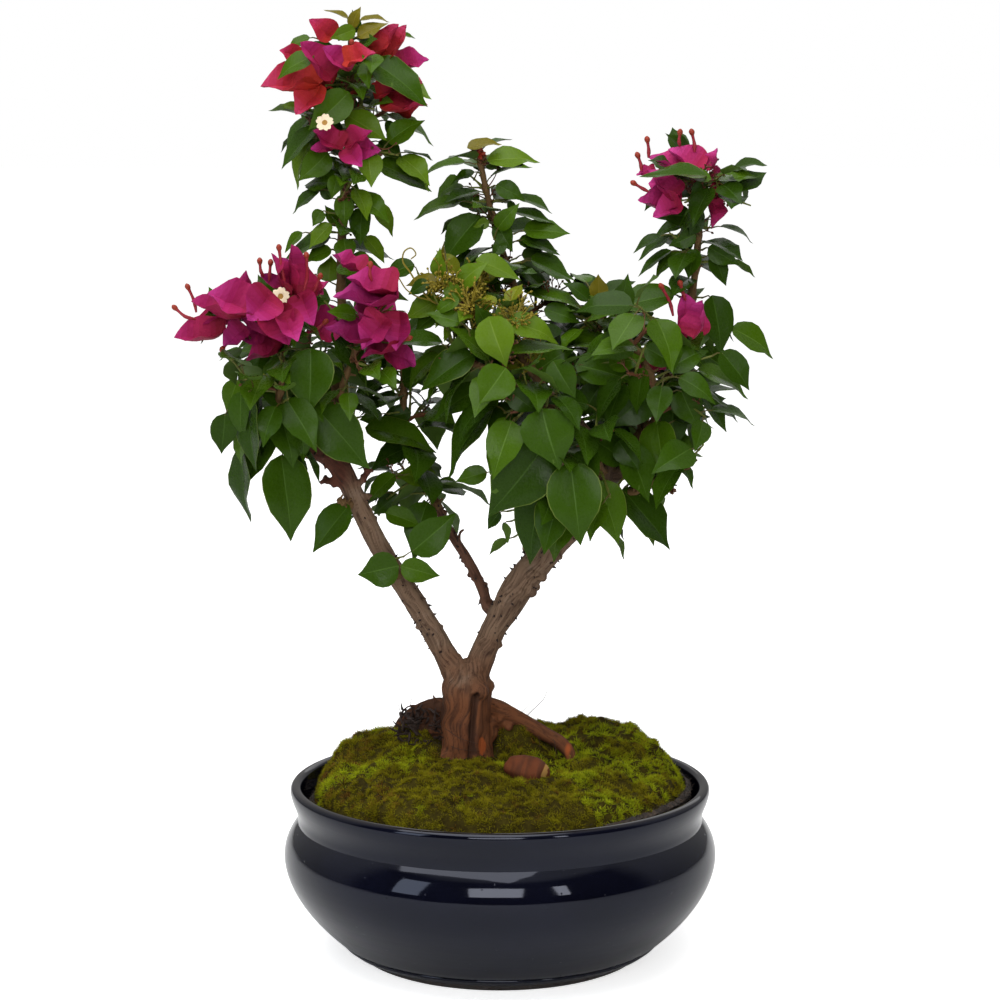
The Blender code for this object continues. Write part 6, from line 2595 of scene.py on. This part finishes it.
class Side(Enum):
    """The pieces that the leaves are joined into, with the masses of each."""
    LEFT = ("low_sprig", "mid_sprig", "left_drooping", "left_blossom", "inner_blossom", "left_spire",
            "left_back", "middle_foliage")
    MIDDLE = ("centre_spire", "yellow_sprays", "crown_left", "crown_front", "crown_low_front", "rosette",
              "crown_back")
    RIGHT = ("right_spire", "crown_low_right", "crown_right", "crown_back_right")

    @classmethod
    def of(cls, mass: str) -> "Side":
        """The side that a mass belongs to."""
        return next(side for side in cls if mass in side.value)


@dataclass
class Foliage:
    """Every mass, grown in order so that none grows into another."""
    wood: Wood

    def standing(self) -> Neighbours:
        """Neighbours that start with pot, moss and wood.

        Returns:
            The neighbours.
        """
        neighbours = Neighbours()
        for node in ["pot", "moss_bed", "root_stub", "trunk"] + [name for name, *_ in BOUGHS]:
            places = [corner.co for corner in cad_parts[node].data.vertices]
            neighbours.keep(node, places, self.wood.tree(node))
        return neighbours

    def flower(self, sheaf: Sheaf, centre: Vector, way: Vector) -> None:
        """Draw an open star of five notched petals round a brown throat, on its tube.

        Args:
            sheaf: what it is added to.
            centre: middle of its throat.
            way: the way it looks.
        """
        side = way.orthogonal().normalized()
        across = way.cross(side)
        count, rings = FLOWER_CORNERS, []
        for rise, wide, narrow, notch in FLOWER_RINGS:
            for corner in range(count):
                angle = 2.0 * math.pi * corner / count
                petal = (0.5 + 0.5 * math.cos(5.0 * angle)) ** 0.5
                split = math.exp(-(math.sin(2.5 * angle) / 0.3) ** 2)
                radius = (narrow + (wide - narrow) * petal - notch * split) * MM
                spoke = side * math.cos(angle) + across * math.sin(angle)
                rings.append(centre + way * rise * MM + spoke * radius)
        rings += [centre - way * 0.7 * MM, centre + way * 0.15 * MM]
        faces, finishes = [], []
        for corner in range(count):
            after = (corner + 1) % count
            for low in (0, count):
                faces.append([low + corner, low + count + corner, low + count + after, low + after])
                finishes.append(PETAL)
            faces += [[3 * count + 1, corner, after], [3 * count, 2 * count + after, 2 * count + corner]]
            finishes += [THROAT, PETAL]
        sheaf.add(rings, faces, finishes)
        foot = centre - way * 11.0 * MM + side * 1.2 * MM
        tube = smooth_route([foot, centre - way * 5.0 * MM, centre - way * 0.3 * MM], 3)
        sheaf.tube(tube, in_mm(*OPEN_TUBE_RADII), 8, BUD_TUBE)

    def cluster(self, sheaf: Sheaf, place: Vector, size: float, finish: Tissue) -> None:
        """Draw a knot of small closed buds of one size round a place.

        Args:
            sheaf: what it is added to.
            place: the knot's middle.
            size: size of a bud in metres.
            finish: the buds' finish.
        """
        for index in range(BUDS_IN_KNOT):
            rise = 1.0 - 1.6 * (index + 0.5) / BUDS_IN_KNOT
            level = math.sqrt(1.0 - rise * rise)
            turn = index * GOLDEN_ANGLE
            way = Vector((level * math.cos(turn), level * math.sin(turn), rise))
            bud = [place + way * size * step for step in KNOT_STEPS]
            sheaf.tube(bud, [size * value for value in KNOT_RADII], 6, finish)

    def build(self) -> None:
        """Grow and dress all foliage and blossom."""
        neighbours = self.standing()
        kinds = {"twigs": Sheaf(), "bracts": Sheaf(), "flowers": Sheaf()}
        leaves = {side: Sheaf() for side in Side}
        sight = Sight()
        growers = [Grower(mass, neighbours, {**kinds, "leaves": leaves[Side.of(mass.name)]}, sight)
                   for mass in MASSES]
        for grower in growers:
            grower.plant(self.wood)
        for grower in growers:
            grower.seen()
        LOG.info("%d blades seen singly, %d without room", sum(grower.leaf_count for grower in growers),
                 sum(grower.missed for grower in growers))
        for grower in growers:
            grower.grow()
        solid_leaves = sum(grower.leaf_count for grower in growers)
        for grower in growers:
            grower.refine()
        LOG.info("%d blades as the solids, %d in all", solid_leaves,
                 sum(grower.leaf_count for grower in growers))
        for place, way in OPEN_FLOWERS:
            self.flower(kinds["flowers"], point(*place), heading(*way))
        for x, y, z, turn, rise, length in SEEN_BUDS:
            growers[0].draw_bud(point(x, y, z), heading(turn, rise), length * MM / 0.8, 0.8)
        for route, radius in TENDRILS:
            tendril = smooth_route(points_of(route), 5)
            kinds["twigs"].tube(tendril, spread([radius * MM, radius * 0.6 * MM], len(tendril)), 5, SPRAY)
        for place, size, finish in CLUSTERS:
            self.cluster(kinds["flowers"], point(*place), size * MM, finish)
        for side, sheaf in leaves.items():
            hand_over(sheaf.build("leaves_" + side.name.lower()), "leaf", *side.value)
        hand_over(kinds["twigs"].build("twigs"), "bark")
        hand_over(kinds["bracts"].build("bracts"), "bract")
        hand_over(kinds["flowers"].build("flowers"), "flower")


# Curled tendrils: route in millimetres and radius
TENDRILS = [
    ([(-30, -24, 362), (-37, -25, 365), (-43.7, -25, 373), (-48, -25, 380), (-51.7, -25, 385.4),
      (-51.1, -25, 390.7), (-47.4, -25, 392.8), (-44.8, -25, 389.6), (-47.4, -25, 387)], 0.6),
    ([(-37, -25, 365), (-44, -27, 367), (-50, -27, 371), (-54, -26, 377), (-57, -25, 380)], 0.5),
]

# Knots of buds: place in millimetres, size of a bud and finish
CLUSTERS = [
    ((-12, 30, 441), 3.6, BUD_TIP), ((-9.5, 30, 437), 2.8, SEED_TIP), ((89, -20, 266), 3.4, SEED_TIP),
    ((92, -22, 262), 2.6, SEED_TIP), ((-44, -22, 372), 2.2, SPRAY), ((-36, -24, 370), 2.4, SPRAY),
]

# Place in millimetres, then turn and climb of the way each open flower looks
OPEN_FLOWERS = [
    ((-114.3, -60, 369.5), (265, 12)),
    ((-92.4, -30, 459), (262, 20)),
    ((-104, 34, 372), (110, 40)),
]


# Leaves that are seen singly, by mass and tint: the blade's foot in millimetres, its turn and climb in
# degrees, its length, and how far its upper face looks forward. Below 0 it shows its underside, and
# beyond 1 or -1 it is wider by as much
SEEN_LEAVES = {
    "left_spire": {
        Tint.OLIVE: [(-81, -2, 514, 185, 25, 14, 0.3), (-79, -6, 509, 325, 70, 12, 0.9),
            (-75, -2, 513, 355, 10, 16, 0.3), (-76, -8, 504, 355, 30, 18, 0.7)],
        Tint.FRESH: [(-77, -12, 508, 200, -20, 14, 1), (-87, -10, 431, 245, -65, 13, 1.1),
            (-68, -2, 415, 0, -50, 20, 0.7), (-91, -6, 405, 195, -45, 18, 0.8),
            (-73, -2, 398, 350, -50, 18, 0.7)],
        Tint.MIDDLE: [(-102, 2, 504, 180, -20, 14, 0.6), (-54, 4, 506, 0, -10, 9, 0.4),
            (-98, -26, 494, 185, -25, 23, 0.7), (-80, -20, 475, 200, -45, 29, 1),
            (-82, -10, 463, 340, -30, 26, 0.9), (-61, 4, 463, 0, -25, 30, 0.3),
            (-92, -10, 443, 205, -45, 22, 1.1), (-66, -4, 437, 0, -20, 33, 0.6),
            (-84, -10, 421, 290, -70, 18, 1), (-96, -4, 412, 220, -50, 10, 1.2),
            (-107, 0, 400, 180, -45, 15, 0.6), (-84, -9, 397, 290, -65, 14, 1.4),
            (-80, 0, 384, 355, -10, 16, 0.9), (-89, 4, 403, 180, 70, 13, 0.8),
            (-89, -1, 331, 0, -40, 26, -0.8)],
        Tint.FOREST: [(-68, -16, 491, 345, -30, 38, 0.7), (-102, 4, 462, 180, -45, 26, 0.4),
            (-98, -6, 457, 195, -45, 30, 0.5), (-97, 0, 423, 180, -30, 20, 0.5),
            (-74, -6, 414, 250, -70, 22, 0.9), (-91, -4, 391, 185, -20, 16, 0.8),
            (-91, 2, 418, 180, 55, 11, 1.1), (-80, 6, 416, 0, 80, 11, 1), (-93, 2, 373, 90, 75, 15, 1.4)],
        Tint.DEEP: [(-61, 2, 460, 0, -70, 13, 0.7), (-65, -4, 449, 345, -30, 17, 0.8)],
    },
    "crown_left": {
        Tint.FOREST: [(-46, -10, 383, 180, -15, 19, 0.8), (-3, -24, 310, 180, -50, 49, 0.4),
            (-10, -34, 319, 185, -25, 32, 0.6)],
        Tint.MIDDLE: [(-13, -36, 344, 190, -10, 18, -0.8), (-22, -36, 367, 185, -30, 16, 0.8)],
        Tint.DEEP: [(-14, -38, 338, 195, -30, 35, 0.7), (-15, -30, 338, 345, -35, 15, 1.2),
            (10, -32, 310, 190, -45, 30, 0.7), (-38, -28, 375, 180, -30, 13, 0.9)],
    },
    "left_back": {
        Tint.FOREST: [(-144, 36, 333, 180, -15, 14, 0.4)],
        Tint.DEEP: [(-123, 34, 331, 180, -30, 24, 0.6)],
        Tint.MIDDLE: [(-146, 31, 317, 180, -70, 21, 0.9)],
    },
    "left_drooping": {
        Tint.FOREST: [(-115, -40, 336, 180, -40, 19, 0.5), (-117, -41, 310, 320, -75, 34, 0.9)],
        Tint.DEEP: [(-133, -50, 320, 270, -85, 44, 0.6), (-128, -34, 315, 180, -80, 37, 0.5),
            (-138, -32, 286, 180, -90, 41, 0.5), (-117, -34, 283, 315, -80, 47, 0.9)],
        Tint.MIDDLE: [(-124, -41, 323, 335, -50, 21, 0.9)],
    },
    "left_blossom": {
        Tint.FOREST: [(-100, -44, 341, 275, -75, 35, 1.2)],
    },
    "inner_blossom": {
        Tint.DEEP: [(-89, -26, 350, 350, -55, 34, 0.6)],
        Tint.FOREST: [(-99, -28, 308, 350, -45, 44, 1)],
    },
    "middle_foliage": {
        Tint.FOREST: [(-75, 12, 333, 0, -25, 24, 0.5), (-57, 19, 310, 180, -20, 24, 0.4),
            (-65, 12, 300, 185, -15, 13, 1.1), (-50, 19, 324, 0, 40, 17, 0.5)],
        Tint.MIDDLE: [(-71, 19, 316, 0, 10, 18, -0.6), (-74, 6, 293, 355, -10, 41, 0.5),
            (-58, 13, 266, 190, -40, 22, 0.7), (-44, 17, 260, 180, -35, 25, -0.4),
            (-63, 5, 246, 355, -15, 21, 0.8), (-54, 19, 322, 0, 70, 13, 0.6)],
        Tint.DEEP: [(-49, 18, 300, 185, -10, 18, 0.9), (-49, 22, 281, 185, -20, 27, 0.7),
            (-57, 19, 254, 190, -40, 18, 1)],
        Tint.FRESH: [(-35, 15, 263, 180, 10, 25, 0.7)],
    },
    "centre_spire": {
        Tint.FOREST: [(10, 30, 394, 0, -10, 23, 0.6), (-14, 26, 432, 185, -20, 15, 0.5),
            (-20, 32, 424, 180, -20, 16, 0.4), (-2, 22, 425, 345, -25, 18, 0.9),
            (9, 30, 418, 0, -15, 22, 0.4), (8, 28, 410, 0, -10, 23, 0.4), (-11, 20, 408, 195, -45, 33, 0.9),
            (-2, 20, 404, 330, -55, 18, 1), (12, 30, 395, 0, -15, 23, 0.5), (17, 24, 384, 0, -25, 28, 0.5),
            (2, 18, 395, 210, -55, 12, 1)],
        Tint.MIDDLE: [(17, 26, 385, 0, -25, 28, 0.6), (-8, 34, 434, 0, 0, 11, -0.5),
            (-21, 26, 416, 185, -10, 28, 0.4), (13, 26, 400, 0, 0, 26, 0.7), (12, 34, 386, 0, 0, 15, -0.9)],
        Tint.OLIVE: [(-18, 26, 445, 0, 15, 19, 0.5), (-19, 30, 437, 180, -5, 25, 0.3)],
        Tint.FRESH: [(-7, 26, 438, 0, 5, 29, 0.6), (-6, 20, 405, 190, -15, 9, 1.1)],
        Tint.DEEP: [(-12, 26, 387, 185, -25, 19, 0.7), (5, 26, 416, 345, -70, 9, 0.8)],
    },
    "rosette": {
        Tint.MIDDLE: [(13, 16, 367, 0, -10, 37, 0.3), (33, 5, 338, 0, 10, 40, 0.3),
            (43, 6, 319, 355, 30, 17, 1.1)],
        Tint.DEEP: [(24, 6, 358, 355, -15, 21, 0.8), (49, 16, 362, 180, 40, 18, 0.7),
            (57, 16, 365, 0, 30, 19, 0.7)],
        Tint.OLIVE: [(54, 10, 363, 275, 85, 14, 1.2)],
        Tint.FOREST: [(19, 1, 324, 355, 35, 26, 0.8)],
    },
    "right_spire": {
        Tint.FOREST: [(94, -10, 367, 180, -10, 37, 0.6), (110, -18, 431, 185, 5, 36, 0.3),
            (101, 8, 405, 180, -15, 20, 0.5), (92, 10, 397, 180, -30, 21, 0.4),
            (106, 2, 399, 185, -25, 16, 1), (120, 8, 403, 0, -15, 20, 0.2), (113, 2, 392, 345, -30, 19, 1),
            (106, 0, 391, 215, -70, 17, 0.9)],
        Tint.DEEP: [(115, 0, 366, 340, -75, 33, 0.9), (111, -2, 426, 195, -40, 11, 1.3),
            (109, 0, 408, 195, -50, 12, 1.1), (115, 4, 388, 350, -60, 19, 0.9)],
        Tint.MIDDLE: [(126, 3, 348, 0, -25, 29, 0.7), (114, -2, 344, 180, -35, 14, -0.6),
            (113, -14, 429, 180, 10, 21, 0.5), (115, 2, 425, 0, 20, 26, 0.5),
            (124, 12, 423, 0, 20, 10, -0.4), (93, 4, 390, 180, -30, 23, 0.3),
            (98, 0, 389, 185, -35, 20, 0.5), (126, 10, 384, 0, -25, 16, -0.4),
            (107, 8, 371, 185, -10, 7, -1.1)],
    },
    "yellow_sprays": {
        Tint.FRESH: [(-6, -48, 358, 315, -65, 28, 1.2), (4, -39, 355, 355, -15, 29, 0.7),
            (-13, -14, 386, 0, -20, 27, 0.6), (-32, -20, 366, 185, -30, 23, 0.8)],
        Tint.FOREST: [(-33, -20, 358, 185, -35, 17, 0.8)],
    },
    "crown_front": {
        Tint.MIDDLE: [(3, -58, 332, 215, -50, 24, 1.4), (12, -58, 332, 355, -25, 26, -0.3)],
        Tint.FOREST: [(28, -50, 335, 335, -60, 23, 1.1), (22, -62, 311, 305, -70, 33, 1.4)],
        Tint.DEEP: [(5, -50, 319, 350, -40, 19, 1.1)],
    },
    "crown_right": {
        Tint.FOREST: [(40, -32, 331, 355, -10, 33, 0.8), (97, -23, 317, 330, -65, 23, 1.2),
            (108, -20, 315, 0, -50, 26, 0.6), (76, -37, 330, 230, -75, 25, 0.7),
            (77, -36, 341, 355, -30, 21, 1)],
        Tint.DEEP: [(93, -13, 308, 290, -85, 27, 0.9), (84, -26, 318, 195, -35, 34, 1),
            (54, -20, 319, 190, -55, 20, 1.3), (118, -29, 338, 350, -50, 26, 0.9)],
        Tint.MIDDLE: [(106, -23, 328, 0, -20, 32, 0.4), (58, -36, 331, 355, 20, 20, 0.9)],
    },
    "crown_low_front": {
        Tint.DEEP: [(24, -50, 291, 195, -55, 49, 1.1), (23, -32, 265, 180, -75, 43, 0.8),
            (-7, -29, 273, 180, -15, 18, 0.9), (0, -18, 250, 180, -50, 12, 0.9)],
        Tint.FOREST: [(37, -57, 282, 300, -75, 44, 1.1)],
        Tint.MIDDLE: [(52, -35, 269, 345, -65, 36, 0.9), (4, -14, 234, 180, -30, 13, -0.7),
            (2, -14, 244, 0, -75, 12, -0.6)],
    },
    "crown_low_right": {
        Tint.DEEP: [(66, -24, 263, 0, -50, 43, 0.7), (63, -36, 291, 330, -50, 19, 1.2)],
        Tint.FOREST: [(67, -32, 289, 335, -60, 34, 0.9), (91, -22, 288, 205, -65, 16, 1.3),
            (94, -24, 281, 0, -50, 20, 0.5)],
        Tint.MIDDLE: [(50, -26, 288, 335, -40, 17, 1.1)],
    },
    "crown_back_right": {
        Tint.FOREST: [(110, 32, 333, 0, -30, 27, 0.8)],
        Tint.MIDDLE: [(92, 22, 348, 180, -10, 23, 0.6)],
        Tint.DEEP: [(58, 22, 347, 0, 15, 30, 0.4)],
    },
    "low_sprig": {
        Tint.FOREST: [(-82, -14, 253, 190, -50, 33, 0.8)],
    },
    "mid_sprig": {
        Tint.FOREST: [(-55, -17, 220, 185, -10, 23, 1.4), (-48, -19, 228, 355, 40, 32, 1)],
        Tint.MIDDLE: [(-54, -17, 220, 355, -15, 22, 1)],
    },
}

# Bracts that are seen singly, in the same way
SEEN_BRACTS = {
    "left_spire": {
        Bloom.SCARLET: [(-94, -14, 481, 185, 5, 33, 0.6), (-95, -22, 479, 205, -45, 21, 0.9),
            (-82, -30, 491, 335, 20, 17, 0.7), (-69, -12, 493, 350, 60, 23, 0.6),
            (-63, -6, 493, 0, 55, 22, 0.7)],
        Bloom.RUBY: [(-106, -8, 493, 185, 25, 12, 0.9), (-89, -10, 503, 190, 45, 16, 0.9),
            (-67, -20, 473, 345, 30, 17, 0.7), (-64, -16, 467, 355, 15, 25, 0.5)],
        Bloom.CRIMSON: [(-88, -24, 483, 210, 50, 25, 0.7), (-83, -22, 446, 195, 35, 18, 0.7),
            (-83, -24, 447, 355, 35, 17, 0.7)],
        Bloom.MAGENTA: [(-78, -30, 487, 195, 40, 19, 0.7), (-56, 2, 490, 0, 15, 18, 0.7),
            (-81, -28, 446, 325, -50, 13, 1.1), (-81, -24, 447, 350, -5, 17, 1),
            (-88, -18, 446, 185, 0, 13, 0.6)],
    },
    "left_blossom": {
        Bloom.MAGENTA: [(-125, -57, 362, 185, 25, 29, 0.7), (-118, -67, 372, 205, -45, 19, 1.3),
            (-112, -69, 362, 320, -55, 17, 0.9), (-105, -31, 367, 180, 70, 24, 0.6),
            (-105, -57, 371, 325, -60, 18, 1)],
        Bloom.CRIMSON: [(-132, -49, 359, 180, 20, 31, 0.4), (-145, -39, 351, 180, 0, 28, 0.6),
            (-118, -63, 364, 325, -60, 21, 1.1), (-105, -49, 367, 180, 90, 29, 0.4),
            (-110, -53, 369, 180, 80, 24, 0.3), (-100, -41, 368, 0, 55, 12, 0.7),
            (-114, -44, 343, 185, -10, 22, 0.4)],
        Bloom.PLUM: [(-134, -45, 353, 195, -40, 16, 0.9), (-125, -41, 350, 185, -15, 14, 1),
            (-117, -31, 371, 180, 35, 13, 0.9)],
    },
    "inner_blossom": {
        Bloom.PLUM: [(-53, -54, 368, 185, 10, 34, 0.4), (-67, -48, 345, 185, 25, 26, 0.4)],
        Bloom.MAGENTA: [(-54, -48, 372, 185, 20, 27, 0.5), (-60, -54, 359, 205, -45, 21, 0.9),
            (-53, -48, 361, 235, -75, 21, 0.9), (-72, -36, 381, 180, 35, 19, 0.4)],
        Bloom.CRIMSON: [(-50, -46, 361, 185, -5, 30, 0.5), (-51, -40, 344, 185, -10, 24, 0.3),
            (-101, -28, 374, 355, -35, 9, 0.9)],
    },
    "right_spire": {
        Bloom.MAGENTA: [(98, -4, 416, 185, 10, 24, 0.7), (97, -8, 417, 190, -20, 17, 0.8),
            (94, -12, 418, 190, 55, 21, 0.6), (84, -4, 433, 185, -5, 11, 0.5),
            (102, -12, 344, 245, 85, 24, 0.9), (103, -14, 345, 315, 75, 21, 0.5)],
        Bloom.PINK: [(101, -2, 434, 185, 25, 22, 0.5), (110, 0, 434, 185, 35, 22, 0.6),
            (109, 4, 435, 180, 70, 11, 0.8), (113, 4, 433, 0, 80, 13, 0.4),
            (101, -16, 345, 215, 70, 22, 0.6)],
        Bloom.CRIMSON: [(113, 2, 423, 350, -10, 12, 0.9), (114, -2, 422, 335, -75, 19, 0.6)],
    },
}

# Flower buds: foot in millimetres, turn and climb in degrees, length
SEEN_BUDS = [
    (-161, -39, 356, 180, 25, 11), (-160, -45, 360, 180, 70, 12), (-125, -35, 378, 180, 75, 7),
    (-122, -37, 376, 0, 85, 8), (-111, -57, 370, 180, 80, 22), (-103, -53, 371, 0, 85, 17),
    (-144, -38, 345, 180, -60, 5), (-98, -45, 371, 0, 65, 7),
    (-67, -54, 377, 180, 85, 7), (-56, -42, 344, 0, 10, 7),
    (76, -4, 433, 180, 75, 7), (80, 0, 440, 180, 85, 8), (97, 2, 446, 180, 90, 6),
    (105, 2, 443, 180, 80, 9), (80, -6, 422, 180, 25, 8), (93, -17, 356, 180, 65, 15),
    (100, -12, 364, 180, 70, 8),
    (-80, -24, 490, 0, 80, 9), (-71, -10, 475, 180, -10, 6),
]

# Open sky, seen from the front: middle across and up, and radius, in millimetres
OPENINGS = [
    (134, 266, 23), (124, 220, 33), (77, 197, 28), (-11, 237, 9), (-24, 468, 17), (-44, 400, 7),
    (-143, 423, 27), (-160, 388, 12), (-165, 295, 11), (-162, 248, 16), (57, 402, 17), (54, 436, 25),
    (47, 431, 18), (160, 369, 22), (164, 306, 21), (11, 470, 17), (-127, 243, 4), (-94, 209, 8),
    (-82, 254, 4), (-24, 284, 4), (55, 222, 13), (43, 217, 8), (-161, 317, 12), (-156, 333, 7),
    (-115, 460, 7), (-62, 423, 8), (-50, 452, 5), (-18, 411, 4), (120, 443, 8), (136, 406, 9),
    (143, 423, 7), (134, 380, 6), (46, 384, 6), (33, 372, 7), (121, 289, 10), (107, 270, 8),
    (104, 251, 11), (92, 242, 7), (-16, 279, 6), (-25, 299, 4), (-57, 274, 4), (111, 445, 7),
    (149, 412, 6), (92, 363, 6), (101, 354, 8), (116, 363, 5), (88, 451, 5), (119, 415, 7),
]


# Studio

# Lamps: name, place, aim, width and height in metres, power in watts and colour
LAMPS = [
    ("top", (-0.3, -0.5, 2.2), (0.0, 0.0, 0.25), (2.2, 1.8), 46.0, WHITE),
    ("window_left", (-2.05, -1.75, 1.25), (0.0, 0.0, 0.08), (0.75, 1.5), 13.0, (0.80, 0.88, 1.0)),
    ("window", (-0.10, -2.6, 1.30), (0.0, 0.0, 0.08), (1.35, 0.95), 28.0, WHITE),
    ("back", (0.6, 2.4, 1.7), (0.0, 0.0, 0.25), (2.0, 1.4), 7.0, WHITE),
    ("window_right", (1.45, -2.2, 1.25), (0.0, 0.0, 0.08), (0.32, 0.95), 7.0, WHITE),
]


@dataclass
class Studio:
    """Pale floor, soft light and the camera."""
    pitch: float = 8.09
    lens: float = 99.47
    floor_size: float = 40.0

    def floor(self) -> None:
        """A plain pale floor that runs out of sight."""
        half = self.floor_size / 2.0
        data = bpy.data.meshes.new("floor")
        corners = [(-half, -half, 0.0), (half, -half, 0.0), (half, half, 0.0), (-half, half, 0.0)]
        data.from_pydata(corners, [], [(0, 1, 2, 3)])
        shader = Shader("pale_floor")
        seen = shader.node("ShaderNodeLightPath", output="Is Camera Ray")
        shader.set(base_color=(0.80, 0.80, 0.80), roughness=0.85, specular_ior_level=0.1,
                   emission_color=seen, emission_strength=0.70)
        data.materials.append(shader.material)
        made = bpy.data.objects.new("floor", data)
        bpy.context.scene.collection.objects.link(made)

    def sky(self) -> None:
        """White to the camera, and a soft grey sky with a dim room behind the camera to all else."""
        world = bpy.data.worlds.new("studio")
        world.use_nodes = True
        bpy.context.scene.world = world
        graph = Graph(world.node_tree)
        way = graph.node("ShaderNodeTexCoord", output="Generated")
        parts = graph.node("ShaderNodeSeparateXYZ", sockets={0: way}, output="X")
        rise, depth = parts.of("Z"), parts.of("Y")
        room = graph.step(rise, -0.03, 0.01) * (1 - graph.step(rise, 0.70, 0.80))
        room = room * graph.step(0 - depth, -0.05, 0.25)
        light = graph.node("ShaderNodeLightPath", output="Is Camera Ray")
        sky = graph.step(rise, -0.2, 0.9) * 0.40 + 0.20
        dim = sky * (1 - room * 0.93)
        power = light + (1 - light) * dim
        shade = next(node for node in world.node_tree.nodes if node.type == "BACKGROUND")
        shade.inputs["Color"].default_value = (*WHITE, 1.0)
        graph.feed(shade.inputs["Strength"], power)

    def lamp(self, name: str, place: tuple, aim: tuple, size: tuple, power: float, colour: tuple) -> None:
        """A soft rectangular lamp that the camera doesn't see.

        Args:
            name: its name.
            place: where it hangs.
            aim: what it looks at.
            size: its width and height.
            power: its power in watts.
            colour: its colour.
        """
        data = bpy.data.lights.new(name, "AREA")
        data.shape = "RECTANGLE"
        data.size, data.size_y = size
        data.energy = power
        data.color = colour
        made = bpy.data.objects.new(name, data)
        made.location = place
        made.rotation_euler = (Vector(aim) - Vector(place)).to_track_quat("-Z", "Y").to_euler()
        made.visible_camera = False
        bpy.context.scene.collection.objects.link(made)

    def camera(self) -> None:
        """The camera at the photograph's angle."""
        data = bpy.data.cameras.new("camera")
        data.lens = self.lens
        data.clip_start, data.clip_end = 0.05, 60.0
        made = bpy.data.objects.new("camera", data)
        made.location = CAMERA_PLACE
        made.rotation_euler = (math.radians(90.0 - self.pitch), 0.0, 0.0)
        bpy.context.scene.collection.objects.link(made)
        bpy.context.scene.camera = made

    def build(self) -> None:
        """Set up the studio."""
        self.floor()
        self.sky()
        self.camera()
        for lamp in LAMPS:
            self.lamp(*lamp)
        bpy.context.scene.view_settings.view_transform = "Standard"


def main() -> None:
    """Build every sub-assembly in order."""
    logging.basicConfig(level=logging.INFO, format="%(message)s")
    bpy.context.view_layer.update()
    Studio().build()
    strewer = Strewer()
    Pot().build()
    MossBed().build(strewer)
    wood = Wood()
    wood.build(strewer)
    Foliage(wood).build()


if __name__ == "__main__":
    main()
